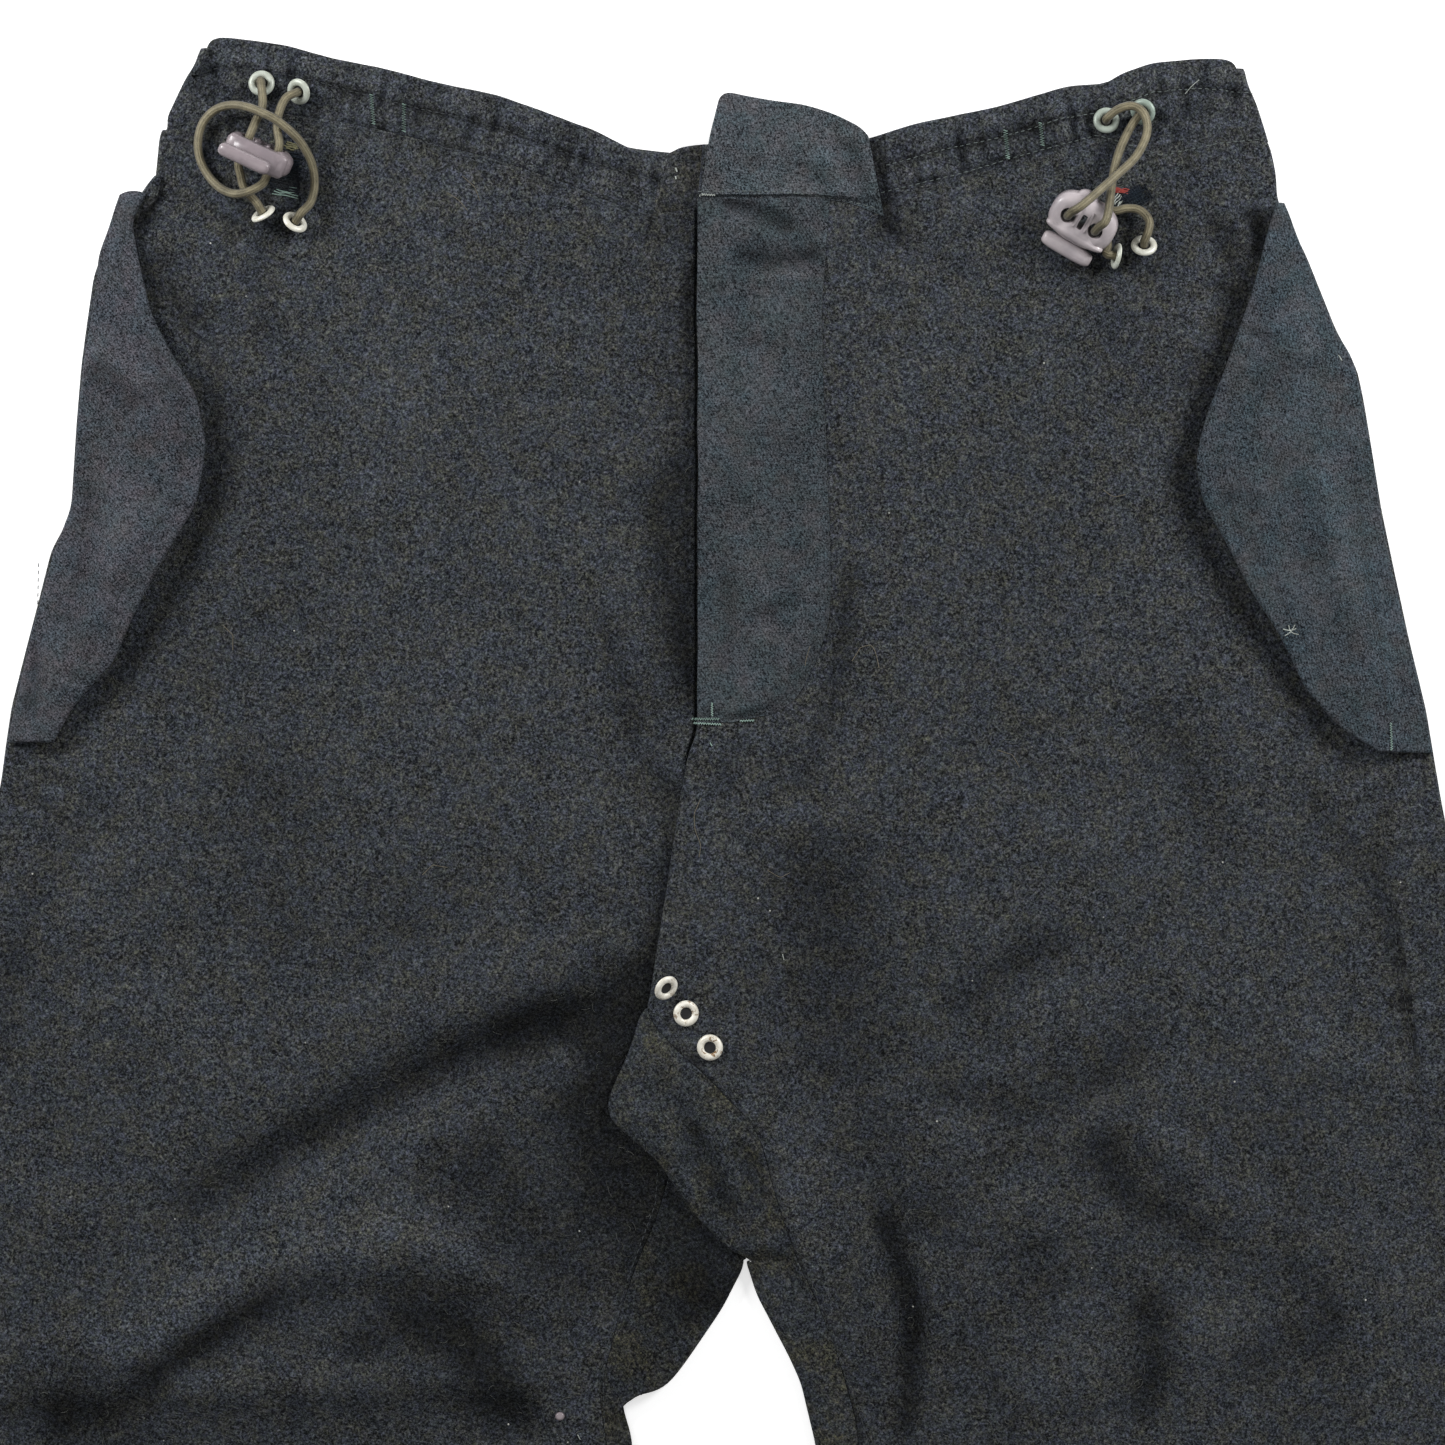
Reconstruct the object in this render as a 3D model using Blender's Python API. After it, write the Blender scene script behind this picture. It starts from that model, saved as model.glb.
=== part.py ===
"""Wool trousers laid flat, front up, with the waist towards +Y.

Across is measured from the centre front (the wearer's left is +X) and down
from a level a little above the waist, both in millimetres.
"""
import math
from collections import namedtuple

import bmesh
import bpy
from mathutils import Matrix, Vector

# Cloth and seams, in millimetres
MM = 0.001
WALL = 2.2
BAND_WALL = 3.0
SEAM = 0.3
BACK_TOP = WALL
FRONT_LOW = BACK_TOP + SEAM
SIDE_TOP = FRONT_LOW + WALL
ROLL = SIDE_TOP / 2
LOFT = 2.0
PLATEAU = 2.8
CENTRE_DOWN = 524.2
HEM_DOWN = 1034.0
HEM_DEPTH = 30.0
LEG_END = HEM_DOWN - HEM_DEPTH
LEG_STATION = LEG_END - SEAM
BAND_LOW_DOWN = 66.0
TOP_STATION = BAND_LOW_DOWN + SEAM
WARP_END = 200.0
CROTCH_DOWN = 505.0
UNDER_GUSSET_DOWN = 380.0
UNDER_GUSSET_ACROSS = -75.0
FREE_RING = 0.72

# Front casings and the fly, in millimetres
BAND_START = {"right": -21.3, "left": -8.0}
BAND_END = {"right": (209, 224), "left": (208, 218)}
BAND_WAVES = 15
BAND_WAVE_HEIGHT = 0.7
BAND_END_STEP = 0.6
BAND_LOFT = 1.2
TAB_DROP = 2.4
UNDERLAP_ROWS = ((0, 34), (95, 34), (190, 34), (270, 34), (280, 30))
UNDERLAP_LEFT = -20.9
UNDERLAP_TOP = (60.0, 57.5)
PLACKET_LEFT = -10.0
HARDWARE_MIDDLE = {"right": -177, "left": 161}

# Gusset: height of its rolled edge, and the trough along it
GUSSET_START = 403
GUSSET_END = 504.6
GUSSET_ROLL = 2.2
INSEAM_START = {"right": 466, "left": CROTCH_DOWN}

# Hardware, in millimetres
CORD_DIAMETER = 3.5
EYELET_RADIUS = 5.2
EYELET_HOLE = 2.5
EYELET_HEIGHT = 1.7
TOGGLE_LENGTH = 28.0
TOGGLE_WIDTH = 20.0
TOGGLE_DEPTH = 9.0
TOGGLE_HOLE = 2.7
TOGGLE_HOLE_SPACING = 12.4
TOGGLE_SLOT = (2.0, 6.0)
BUTTON_SIZE = (22.0, 6.5, 5.4)

Edge = namedtuple("Edge", "down across")
Waist = namedtuple("Waist", "across top low")
Fold = namedtuple("Fold", "across0 down0 across1 down1 half_width height")
Fade = namedtuple("Fade", "start width")
Press = namedtuple("Press", "across down reach_across reach_down")
Leaf = namedtuple("Leaf", "down free outer lift")
Ring = namedtuple("Ring", "name side across down tilt facing")
Toggle = namedtuple("Toggle", "across down height spin tilt")
Through = namedtuple("Through", "x y z")
Out = namedtuple("Out", "ring length")

# Side outline of each leg, then how far the back wraps on to the front
OUTER = {
    "right": [Edge(14, 203), Edge(27, 214), Edge(52, 225), Edge(75, 228), Edge(80, 242), Edge(102, 251),
              Edge(131, 255), Edge(146, 257), Edge(202, 261), Edge(220, 269), Edge(263, 280), Edge(283, 285),
              Edge(308, 289), Edge(350, 297), Edge(400, 306), Edge(505, 318), Edge(600, 324), Edge(800, 328),
              Edge(HEM_DOWN, 331)],
    "left": [Edge(22, 205), Edge(42, 214), Edge(64, 220), Edge(78, 224), Edge(85, 228), Edge(102, 234),
             Edge(132, 246), Edge(146, 254), Edge(160, 257), Edge(203, 264), Edge(227, 269), Edge(255, 275),
             Edge(284, 282), Edge(320, 288), Edge(350, 294), Edge(400, 303), Edge(505, 318), Edge(600, 324),
             Edge(800, 328), Edge(HEM_DOWN, 331)],
}
WRAP = {
    "right": [Edge(45, 6), Edge(78, 8), Edge(120, 12), Edge(300, 14), Edge(323, 18), Edge(345, 6),
              Edge(HEM_DOWN, 6)],
    "left": [Edge(45, 6), Edge(78, 8), Edge(120, 12), Edge(284, 17), Edge(320, 20), Edge(356, 25),
             Edge(500, 30), Edge(600, 24), Edge(HEM_DOWN, 14)],
}
# Inner edge of each front, from the fly down the inner leg
INNER = {
    "right": [Edge(55, -21.3), Edge(292, -21.3), Edge(306, -14), Edge(378, -13), Edge(430, -14), Edge(466, -20.7),
              Edge(480, -23), Edge(502, -33), Edge(532, -43), Edge(560, -49), Edge(576, -46), Edge(700, -52),
              Edge(HEM_DOWN, -66)],
    "left": [Edge(55, -10), Edge(294, -10), Edge(301, -13.8), Edge(340, -20), Edge(378, -26.2), Edge(399, -29),
             Edge(403, -31.4), Edge(410, -27.8), Edge(422, -17.4), Edge(431, -5.8), Edge(439, 1.8), Edge(448, 11),
             Edge(456, 15), Edge(488, 23.8), Edge(505, 30.2), Edge(522, 38.2), Edge(538, 44.6), Edge(555, 49.8),
             Edge(569, 53.4), Edge(700, 62), Edge(HEM_DOWN, 80)],
}
# Inner outline of each leg below the crotch, and the centre back seam above it
LEG_INSIDE = {
    "right": [Edge(466, -1), Edge(505, 7), Edge(510, 5), Edge(522, -0.6), Edge(533, -8.2), Edge(545, -16.2),
              Edge(554, -22.6), Edge(557, -27), Edge(560, -42.6), Edge(569, -40.6), Edge(578, -37.4),
              Edge(700, -46), Edge(HEM_DOWN, -62)],
    "left": [Edge(505, 10), Edge(508, 12), Edge(514, 14.5), Edge(523, 17.4), Edge(533, 22.6), Edge(542, 27.8),
             Edge(550, 31), Edge(556, 34.2), Edge(567, 36.6), Edge(578, 39.4), Edge(700, 54), Edge(HEM_DOWN, 75)],
}
CENTRE_BACK = [Edge(40, 0), Edge(380, 0), Edge(470, 6), Edge(505, 8.5)]

# Waist edge, and the stitched lower edge of its casing
WAIST = {
    "right": [Waist(0, 61.5, 87), Waist(21, 61.2, 87), Waist(35, 60, 85), Waist(52, 51.5, 77.5), Waist(68, 46, 71),
              Waist(89, 38, 64), Waist(107, 34.5, 59), Waist(131, 28.5, 53), Waist(156, 23, 48),
              Waist(173, 18, 45), Waist(190, 16, 43.5), Waist(202, 14.4, 44), Waist(208, 17, 45.5),
              Waist(212, 24, 47), Waist(230, 30, 51), Waist(250, 40, 56)],
    "left": [Waist(0, 58, 78.5), Waist(45, 58, 78.5), Waist(59, 55.2, 79), Waist(77, 49.6, 75), Waist(93, 46, 71),
             Waist(110, 42.8, 67), Waist(138, 34.4, 59.5), Waist(154, 33.2, 55.5), Waist(159, 29.5, 54),
             Waist(172, 24.8, 51), Waist(191, 23.2, 49), Waist(203, 23.4, 49), Waist(208, 27, 50),
             Waist(211, 33, 51), Waist(230, 40, 55), Waist(250, 48, 60)],
}

# Largest folds: ridges are positive, troughs negative
FOLDS = {
    "right": [Fold(-40, 404, -118, 432, 20, -2.6), Fold(-118, 432, -190, 470, 22, -2.6),
              Fold(-190, 470, -217, 495, 20, -2.2), Fold(-30, 380, -140, 408, 22, 3.3),
              Fold(-60, 512, -150, 502, 24, 4.5), Fold(-150, 502, -230, 545, 22, 4.8),
              Fold(-175, 518, -245, 563, 14, -2.6), Fold(-90, 552, -160, 530, 18, 3.6),
              Fold(-62, 553, -285, 557, 9, 5.1), Fold(-70, 574, -285, 575, 10, -2.4),
              Fold(-40, 240, -22, 310, 10, 2.4), Fold(-30, 310, -10, 372, 12, -1.8),
              Fold(-252, 620, -120, 660, 26, 3.6), Fold(-90, 700, -210, 640, 22, -2.0),
              Fold(-260, 780, -130, 740, 26, 3.3), Fold(-110, 850, -240, 880, 24, 3.0),
              Fold(-180, 900, -170, 1000, 20, 2.7)],
    "left": [Fold(35, 300, 12, 345, 12, -1.8), Fold(42, 280, 48, 350, 12, 2.4), Fold(46, 340, 62, 470, 16, 3.0),
             Fold(70, 480, 78, 520, 8, 4.5), Fold(72, 515, 82, 560, 9, -2.6), Fold(90, 515, 98, 570, 16, 4.8),
             Fold(110, 430, 170, 415, 22, -2.0), Fold(90, 460, 160, 455, 18, 3.0),
             Fold(150, 440, 170, 480, 14, -2.4), Fold(172, 478, 235, 500, 18, 3.3),
             Fold(170, 530, 172, 575, 13, -2.6), Fold(120, 560, 200, 535, 20, 3.6),
             Fold(230, 420, 262, 430, 16, 2.7), Fold(170, 270, 190, 330, 14, -1.6),
             Fold(120, 700, 250, 640, 26, 3.6), Fold(110, 660, 210, 720, 22, -2.0),
             Fold(130, 740, 270, 780, 26, 3.3), Fold(120, 880, 250, 850, 24, 3.0),
             Fold(180, 900, 190, 1000, 20, 2.7)],
}
# Where an effect starts, and the width over which it grows to its full share
FADES = {
    "side": Fade(0, 26), "below_fly": Fade(262, 24), "right_inner": Fade(14, 26), "leg": Fade(470, 45),
    "left_inner": Fade(0, 24), "off_centre": Fade(44, 16), "low_centre": Fade(440, 70), "fly_across": Fade(46, 14),
    "fly_down": Fade(292, 16), "overlap_across": Fade(-4, 14), "overlap_down": Fade(440, 40),
    "hardware": Fade(16, 10), "tab_front": Fade(38, 15), "flap": Fade(0, 26), "gusset_roll": Fade(0, 9),
    "gusset_width": Fade(0, 20), "band_free": Fade(0, 0.1), "band_end": Fade(0, 0.06), "band_start": Fade(0, 0.08),
}
GUSSET_TROUGH = Fold(-30, 437, 2, 492, 6, 1.7)
# Places pressed flat by what lies on them
PRESSED = {
    "right": [Press(-10, 440, 62, 78), Press(-184, 75, 45, 60), Press(-225, 180, 55, 140)],
    "left": [Press(163, 72, 45, 62), Press(226, 200, 58, 130)],
}

# Side pocket flaps: free edge, outer edge, and how far the free edge stands off
FLAPS = {
    "right": [Leaf(78, 230, 241, 1.0), Leaf(89, 236, 244.5, 1.5), Leaf(102, 233.8, 249.5, 2.5),
              Leaf(126, 227.8, 252, 4.0), Leaf(141, 220, 255, 5.0), Leaf(159, 209.4, 257, 6.0),
              Leaf(178, 205.4, 258.5, 6.5), Leaf(202, 209.4, 260, 6.5), Leaf(222, 221.8, 268, 6.5),
              Leaf(248, 235.4, 275, 6.0), Leaf(266, 243, 279, 5.0), Leaf(282, 258.6, 283, 4.0),
              Leaf(297, 267, 286, 2.5)],
    "left": [Leaf(81, 221, 224.5, 0.5), Leaf(97, 216.6, 231, 3.0), Leaf(118, 211, 239.5, 4.5),
             Leaf(132, 206, 245, 5.5), Leaf(144, 201.8, 252, 6.0), Leaf(168, 192.2, 257.5, 6.5),
             Leaf(186, 188.2, 260.5, 7.0), Leaf(201, 190.6, 262.5, 7.0), Leaf(214, 198.6, 265, 6.5),
             Leaf(236, 210.6, 269.5, 6.0), Leaf(253, 221.4, 273.5, 5.0), Leaf(274, 231.4, 279, 4.0),
             Leaf(291, 246.2, 282, 3.0), Leaf(301, 262, 284, 1.5)],
}

# Folded-over part of the gusset: its left outline
GUSSET_EDGE = [Edge(403, -32.4), Edge(412, -34.6), Edge(426, -39.4), Edge(436, -45), Edge(442, -46.4),
               Edge(448, -44.6), Edge(456, -35.4), Edge(464, -26.2), Edge(472, -21.4), Edge(483, -13.4),
               Edge(492, -4.6), Edge(503, 6), Edge(504.6, 7.4)]

# Wide placket of the fly, and the tab at its top
PLACKET_EDGE = [Edge(79.8, 43), Edge(103, 41), Edge(125, 39.4), Edge(198, 42.2), Edge(240, 43.4), Edge(250, 42.2),
                Edge(265, 37.5), Edge(279, 30), Edge(285, 22), Edge(289, 4)]
TAB_TOP = [Edge(56, -5.5), Edge(46, -3), Edge(37.5, 0.5), Edge(38, 7), Edge(40.4, 21), Edge(42, 32),
           Edge(46, 45), Edge(51, 55), Edge(55, 58)]
TAB_LOW = [Edge(77.5, -9), Edge(77.5, 1), Edge(77.3, 12), Edge(77.6, 22), Edge(78, 32), Edge(79, 43),
           Edge(81, 52), Edge(84, 59), Edge(86.5, 64.5)]

# Eyelets: place, tilt from flat, and the way they face, counter-clockwise from +X
EYELETS = [
    Ring("eyelet_right_1", "right", -184.2, 33.6, 6, 90), Ring("eyelet_right_2", "right", -169.0, 37.2, 35, 215),
    Ring("eyelet_right_3", "right", -183.0, 86.4, 62, 120), Ring("eyelet_right_4", "right", -170.6, 89.6, 50, 50),
    Ring("eyelet_left_1", "left", 153.4, 48.4, 6, 90), Ring("eyelet_left_2", "left", 167.8, 45.2, 30, 215),
    Ring("eyelet_left_3", "left", 157.4, 103.2, 78, 170), Ring("eyelet_left_4", "left", 168.2, 98.8, 35, 90),
    Ring("eyelet_crotch_1", "left", -22.6, 394.8, 40, 215), Ring("eyelet_crotch_2", "left", -14.6, 405.2, 8, 200),
    Ring("eyelet_crotch_3", "left", -5.0, 418.8, 8, 200),
]

# Cord locks: centre of the body, then its turn about the vertical and its tilt
TOGGLES = {
    "right": Toggle(-184.2, 63.2, 17.9, -25, -75),
    "left": Toggle(143.4, 89.3, 16.8, -30, 26),
}
HALF_SPACING = TOGGLE_HOLE_SPACING / 2
# Cord routes: hand-laid points as (across, down, height), points in the cord lock's own
# frame as Through(along the body, across the body, along the hole), and points on an
# eyelet's axis as Out(eyelet, length out of it)
CORDS = {
    "cord_right_a": ("right", [
        Out("eyelet_right_1", 0.4), Out("eyelet_right_1", 4.4), (-183.3, 38, 14.2), (-183.2, 44, 14.8),
        (-185.6, 50, 16.8), Through(-HALF_SPACING, 0, 6.5), Through(-HALF_SPACING, 0, 0),
        Through(-HALF_SPACING, 0, -6.5), (-191.9, 71, 14.4), (-190.4, 76.5, 13.6),
        Out("eyelet_right_3", 6), Out("eyelet_right_3", 3.2), Out("eyelet_right_3", 0.6)]),
    "cord_right_b": ("right", [
        Out("eyelet_right_2", 0.6), Out("eyelet_right_2", 3), (-174, 40.4, 13.6), (-176.4, 46, 15),
        (-177, 52.4, 17.6), Through(HALF_SPACING, 0, 6.5), Through(HALF_SPACING, 0, 0),
        Through(HALF_SPACING, 0, -6.5), (-183, 75, 17.2), (-188.6, 78.2, 18.2), (-194.2, 78.8, 16.8),
        (-200.2, 76, 13.4), (-205.4, 70.4, 10.4), (-208.6, 64, 9.3), (-209.4, 56.8, 9.3), (-207.4, 49.6, 9.6),
        (-202.2, 44.6, 11.4), (-195.4, 43.2, 14.6), (-189, 44.4, 17.8), (-183, 46.8, 19.6), (-177, 50, 20.6),
        (-171.4, 54.4, 19), (-167.4, 58.8, 15.6), (-163.8, 66, 11.4), (-162.8, 74, 9.7), (-164.2, 81.4, 11.2),
        Out("eyelet_right_4", 6), Out("eyelet_right_4", 3.2), Out("eyelet_right_4", 0.6)]),
    "cord_left_a": ("left", [
        Out("eyelet_left_1", 0.4), Out("eyelet_left_1", 4.2), (157.6, 44.8, 14.4), (163, 43.6, 15),
        (167.4, 46.4, 16), (169, 52.4, 16.2), (167.4, 58.6, 17.2), (163.4, 65.2, 19.6), (156.6, 71.8, 23),
        Through(-HALF_SPACING + 3, 9.5, 11), Through(-HALF_SPACING + 0.6, 4.2, 10.2),
        Through(-HALF_SPACING, 0.6, 6.6), Through(-HALF_SPACING, 0, 3), Through(-HALF_SPACING, 0, -3),
        Through(-HALF_SPACING + 0.2, 0.6, -6.6), (142.4, 81.2, 9.4), (147, 80.8, 9.1), (152, 83.2, 9.3),
        (156.4, 84.8, 9.7), (161.4, 83.8, 10), (166.6, 84.6, 10.4), (170, 88.8, 12.2), (169.6, 93.2, 14),
        Out("eyelet_left_4", 3.4), Out("eyelet_left_4", 0.6)]),
    "cord_left_b": ("left", [
        Out("eyelet_left_2", 0.6), Out("eyelet_left_2", 2.8), (162.4, 52.2, 12.8), (158.6, 60, 13.8),
        (156.4, 66.8, 15.6), (155, 73, 17.8), Through(HALF_SPACING + 1.2, 9.5, 10.6),
        Through(HALF_SPACING + 0.4, 4.2, 9.8), Through(HALF_SPACING, 0.6, 6.6), Through(HALF_SPACING, 0, 3),
        Through(HALF_SPACING, 0, -3), Through(HALF_SPACING + 0.2, 0, -6.4), Through(9.2, -1.4, -8.2),
        Through(12.4, -4.4, -7.1), (153.8, 99.8, 10.2), Out("eyelet_left_3", 4.6), Out("eyelet_left_3", 2.6),
        Out("eyelet_left_3", 0.4)]),
}
STOP_PLACE = (-65, 566.4)
STOP_SIZE = (4.2, 3.6, 2.4)

COLOURS = {
    "wool": ((0.040, 0.043, 0.048), 0.95, 0.0),
    "twill": ((0.060, 0.068, 0.076), 0.90, 0.0),
    "nickel": ((0.60, 0.62, 0.60), 0.35, 0.8),
    "plastic": ((0.36, 0.31, 0.33), 0.45, 0.0),
    "cord": ((0.30, 0.27, 0.18), 0.85, 0.0),
}


def smooth(value):
    """Ease from 0 to 1."""
    value = min(max(value, 0.0), 1.0)
    return value * value * (3 - 2 * value)


def grown(name, value):
    """Share of an effect at a value, from 0 at its start to 1 past its width."""
    fade = FADES[name]
    return smooth((value - fade.start) / fade.width)


def read(table, down):
    """Across at a distance down, between the rows of an edge table."""
    if down <= table[0].down:
        return table[0].across
    for upper, lower in zip(table, table[1:]):
        if down <= lower.down:
            part = (down - upper.down) / (lower.down - upper.down)
            return upper.across + (lower.across - upper.across) * part
    return table[-1].across


def waist(side, across, column):
    """Top or lower edge of the waist casing at a distance from the centre."""
    distance = across if side == "left" else -across
    rows = WAIST[side]
    if distance <= rows[0].across:
        return getattr(rows[0], column)
    for near, far in zip(rows, rows[1:]):
        if distance <= far.across:
            part = (distance - near.across) / (far.across - near.across)
            return getattr(near, column) + (getattr(far, column) - getattr(near, column)) * part
    return getattr(rows[-1], column)


def sign(side):
    return 1 if side == "left" else -1


def warped(side, across, station):
    """Real distance down of a row that follows the waist near the top and is level below."""
    fade = 1 - smooth((station - BAND_LOW_DOWN) / (WARP_END - BAND_LOW_DOWN))
    return station + (waist(side, across, "low") - BAND_LOW_DOWN) * fade


def settled(side, edge, station):
    """Point where a row meets an edge that is given by the real distance down."""
    down = station
    for _ in range(4):
        across = edge(down)
        down = warped(side, across, station)
    return across, down


def side_edge(side, inset=0.0):
    return lambda down: sign(side) * (read(OUTER[side], down) - inset)


def seam_edge(side, gap=0.0):
    return lambda down: sign(side) * (read(OUTER[side], down) - read(WRAP[side], down) - gap)


def inner_edge(side):
    return lambda down: read(INNER[side], down)


def fold_height(fold, across, down):
    """Rounded ridge or trough along a line, dying out at both ends."""
    along = Vector((fold.across1 - fold.across0, fold.down1 - fold.down0))
    offset = Vector((across - fold.across0, down - fold.down0))
    place = offset.dot(along) / along.length_squared
    nearest = min(max(place, 0.0), 1.0)
    distance = (offset - along * nearest).length
    if distance >= fold.half_width:
        return 0.0
    return fold.height * (0.5 + 0.5 * math.cos(math.pi * distance / fold.half_width))


def clear_of(spot, across, down):
    """1 outside a pressed place, 0 well inside it."""
    reach = math.hypot((across - spot.across) / spot.reach_across, (down - spot.down) / spot.reach_down)
    return smooth((reach - FREE_RING) / (1 - FREE_RING))


def pressed(side, across, down):
    """1 where the cloth is free, 0 where something presses it flat."""
    return math.prod(clear_of(spot, across, down) for spot in PRESSED[side])


def front_low(side, across, down):
    """Height of the underside of a front."""
    inner = abs(inner_edge(side)(down) - across)
    edge = grown("side", abs(seam_edge(side)(down) - across))
    free = pressed(side, across, down)
    if side == "right":
        edge *= 1 - grown("below_fly", down) * (1 - grown("right_inner", inner))
        rise = LOFT * edge
        if down > UNDER_GUSSET_DOWN and across > UNDER_GUSSET_ACROSS:
            rise *= clear_of(PRESSED["right"][0], across, down)
    else:
        edge *= 1 - grown("leg", down) * (1 - grown("left_inner", inner))
        high = (1 - grown("low_centre", down)) * (1 - grown("off_centre", across))
        rise = LOFT * edge * (1 - high) + PLATEAU * high
        free *= 1 - fly_quiet(across, down)
    folds = sum(fold_height(fold, across, down) for fold in FOLDS[side])
    return FRONT_LOW + max(rise + folds * free * edge, 0.0)


def fly_quiet(across, down):
    """1 under the placket and where the left front overlaps the right one."""
    fly = (1 - grown("fly_across", across)) * (1 - grown("fly_down", down))
    overlap = (1 - grown("overlap_across", across)) * (1 - grown("overlap_down", down))
    return max(fly, overlap)


def stations(start, end):
    """Rows down the leg: closer in the upper half and at each bend of the inner edges."""
    rows = {start, end}
    down = start
    while down < 580:
        rows.add(round(down, 1))
        down += 13.5
    down = 600.0
    while down < end - 20:
        rows.add(down)
        down += 58.0
    for table in (INNER["left"], LEG_INSIDE["right"]):
        rows.update(float(edge.down) for edge in table if 290 < edge.down < 580)
    rows = sorted(row for row in rows if start <= row <= end)
    kept = [rows[0]]
    bends = {float(edge.down) for table in (INNER["left"], LEG_INSIDE["right"]) for edge in table}
    for row in rows[1:]:
        if row - kept[-1] > 5 or row in bends or row == end:
            kept.append(row)
    return kept


def world(across, down, height):
    return Vector((across * MM, (CENTRE_DOWN - down) * MM, height * MM))


def paint(thing, finish):
    colour, roughness, metallic = COLOURS[finish]
    material = bpy.data.materials.new(thing.name)
    material.use_nodes = True
    shader = material.node_tree.nodes["Principled BSDF"]
    shader.inputs["Base Color"].default_value = (*colour, 1)
    shader.inputs["Roughness"].default_value = roughness
    shader.inputs["Metallic"].default_value = metallic
    thing.data.materials.append(material)


def add(name, mesh, finish, round_angle=50):
    thing = bpy.data.objects.new(name, mesh)
    bpy.context.collection.objects.link(thing)
    mesh.shade_smooth()
    mesh.set_sharp_from_angle(angle=math.radians(round_angle))
    paint(thing, finish)
    return thing


def wall(name, rows, finish, closed=False):
    """Closed wall from rows of (outer point, inner point) pairs; closed rows make a tube."""
    build = bmesh.new()
    outer = [[build.verts.new(pair[0]) for pair in row] for row in rows]
    inner = [[build.verts.new(pair[1]) for pair in row] for row in rows]
    count = len(rows[0])
    spans = count if closed else count - 1
    for i in range(len(rows) - 1):
        for j in range(spans):
            k = (j + 1) % count
            build.faces.new((outer[i][j], outer[i][k], outer[i + 1][k], outer[i + 1][j]))
            build.faces.new((inner[i][j], inner[i + 1][j], inner[i + 1][k], inner[i][k]))
    for i, flip in ((0, False), (len(rows) - 1, True)):
        for j in range(spans):
            k = (j + 1) % count
            face = (outer[i][k], outer[i][j], inner[i][j], inner[i][k])
            build.faces.new(face[::-1] if flip else face)
    if not closed:
        for j, flip in ((0, False), (count - 1, True)):
            for i in range(len(rows) - 1):
                face = (outer[i][j], outer[i + 1][j], inner[i + 1][j], inner[i][j])
                build.faces.new(face[::-1] if flip else face)
    bmesh.ops.recalc_face_normals(build, faces=build.faces)
    mesh = bpy.data.meshes.new(name)
    build.to_mesh(mesh)
    build.free()
    return add(name, mesh, finish)


def slab(name, rows, thickness, finish):
    """Wall from rows of (across, down, underside height)."""
    pairs = [[(world(x, y, z + thickness), world(x, y, z)) for x, y, z in row] for row in rows]
    return wall(name, pairs, finish)


def back_flat(side, station, columns=6):
    """Flat stretch of a row of the back, from the inner edge to where the side rolls."""
    way = sign(side)
    x_side, _ = settled(side, side_edge(side, ROLL), station)
    if station < CROTCH_DOWN:
        x_in = read(CENTRE_BACK, station) + way * SEAM / 2
    else:
        x_in = read(LEG_INSIDE[side], station) + way * (WALL + 2 * SEAM)
    places = [x_in + (x_side - x_in) * step / (columns - 1) for step in range(columns)]
    return [(across, warped(side, across, station)) for across in places]


def back(side):
    """Back panel, flat underneath, rolled round the side on to the front."""
    way = sign(side)
    rows = []
    for station in stations(TOP_STATION, LEG_STATION):
        x_seam, y_seam = settled(side, seam_edge(side), station)
        flat = back_flat(side, station)
        row = [(world(across, down, 0), world(across, down, WALL)) for across, down in flat]
        x_side, y_side = flat[-1]
        for degrees in (-45, 0, 45):
            turn = math.radians(degrees)
            reach = way * ROLL * math.cos(turn)
            slot = way * SEAM / 2 * math.cos(turn)
            row.append((world(x_side + reach, y_side, ROLL + ROLL * math.sin(turn)),
                        world(x_side + slot, y_side, ROLL + SEAM / 2 * math.sin(turn))))
        row.append((world(x_side, y_side, SIDE_TOP), world(x_side, y_side, FRONT_LOW)))
        row.append((world(x_seam, y_seam, SIDE_TOP), world(x_seam, y_seam, FRONT_LOW)))
        rows.append(row)
    return wall(f"back_{side}", rows, "wool")


def front_row(side, station, columns=14):
    """Row of a front, from its inner edge to the side seam, closer towards the centre."""
    x_in, _ = settled(side, inner_edge(side), station)
    x_out, _ = settled(side, seam_edge(side, SEAM), station)
    places = [x_in + (x_out - x_in) * (step / (columns - 1)) ** 1.25 for step in range(columns)]
    return [(across, warped(side, across, station)) for across in places]


def front(side):
    """Front panel with its largest folds."""
    rows = []
    for station in stations(TOP_STATION, LEG_STATION):
        rows.append([(across, down, front_low(side, across, down)) for across, down in front_row(side, station)])
    return slab(f"front_{side}", rows, WALL, "wool")


def along(points, across):
    """Distance down at a place on a line of points, carried on level past its ends."""
    points = sorted(points)
    if across <= points[0][0]:
        return points[0][1]
    for (x0, y0), (x1, y1) in zip(points, points[1:]):
        if across <= x1:
            return y0 + (y1 - y0) * (across - x0) / (x1 - x0)
    return points[-1][1]


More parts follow.
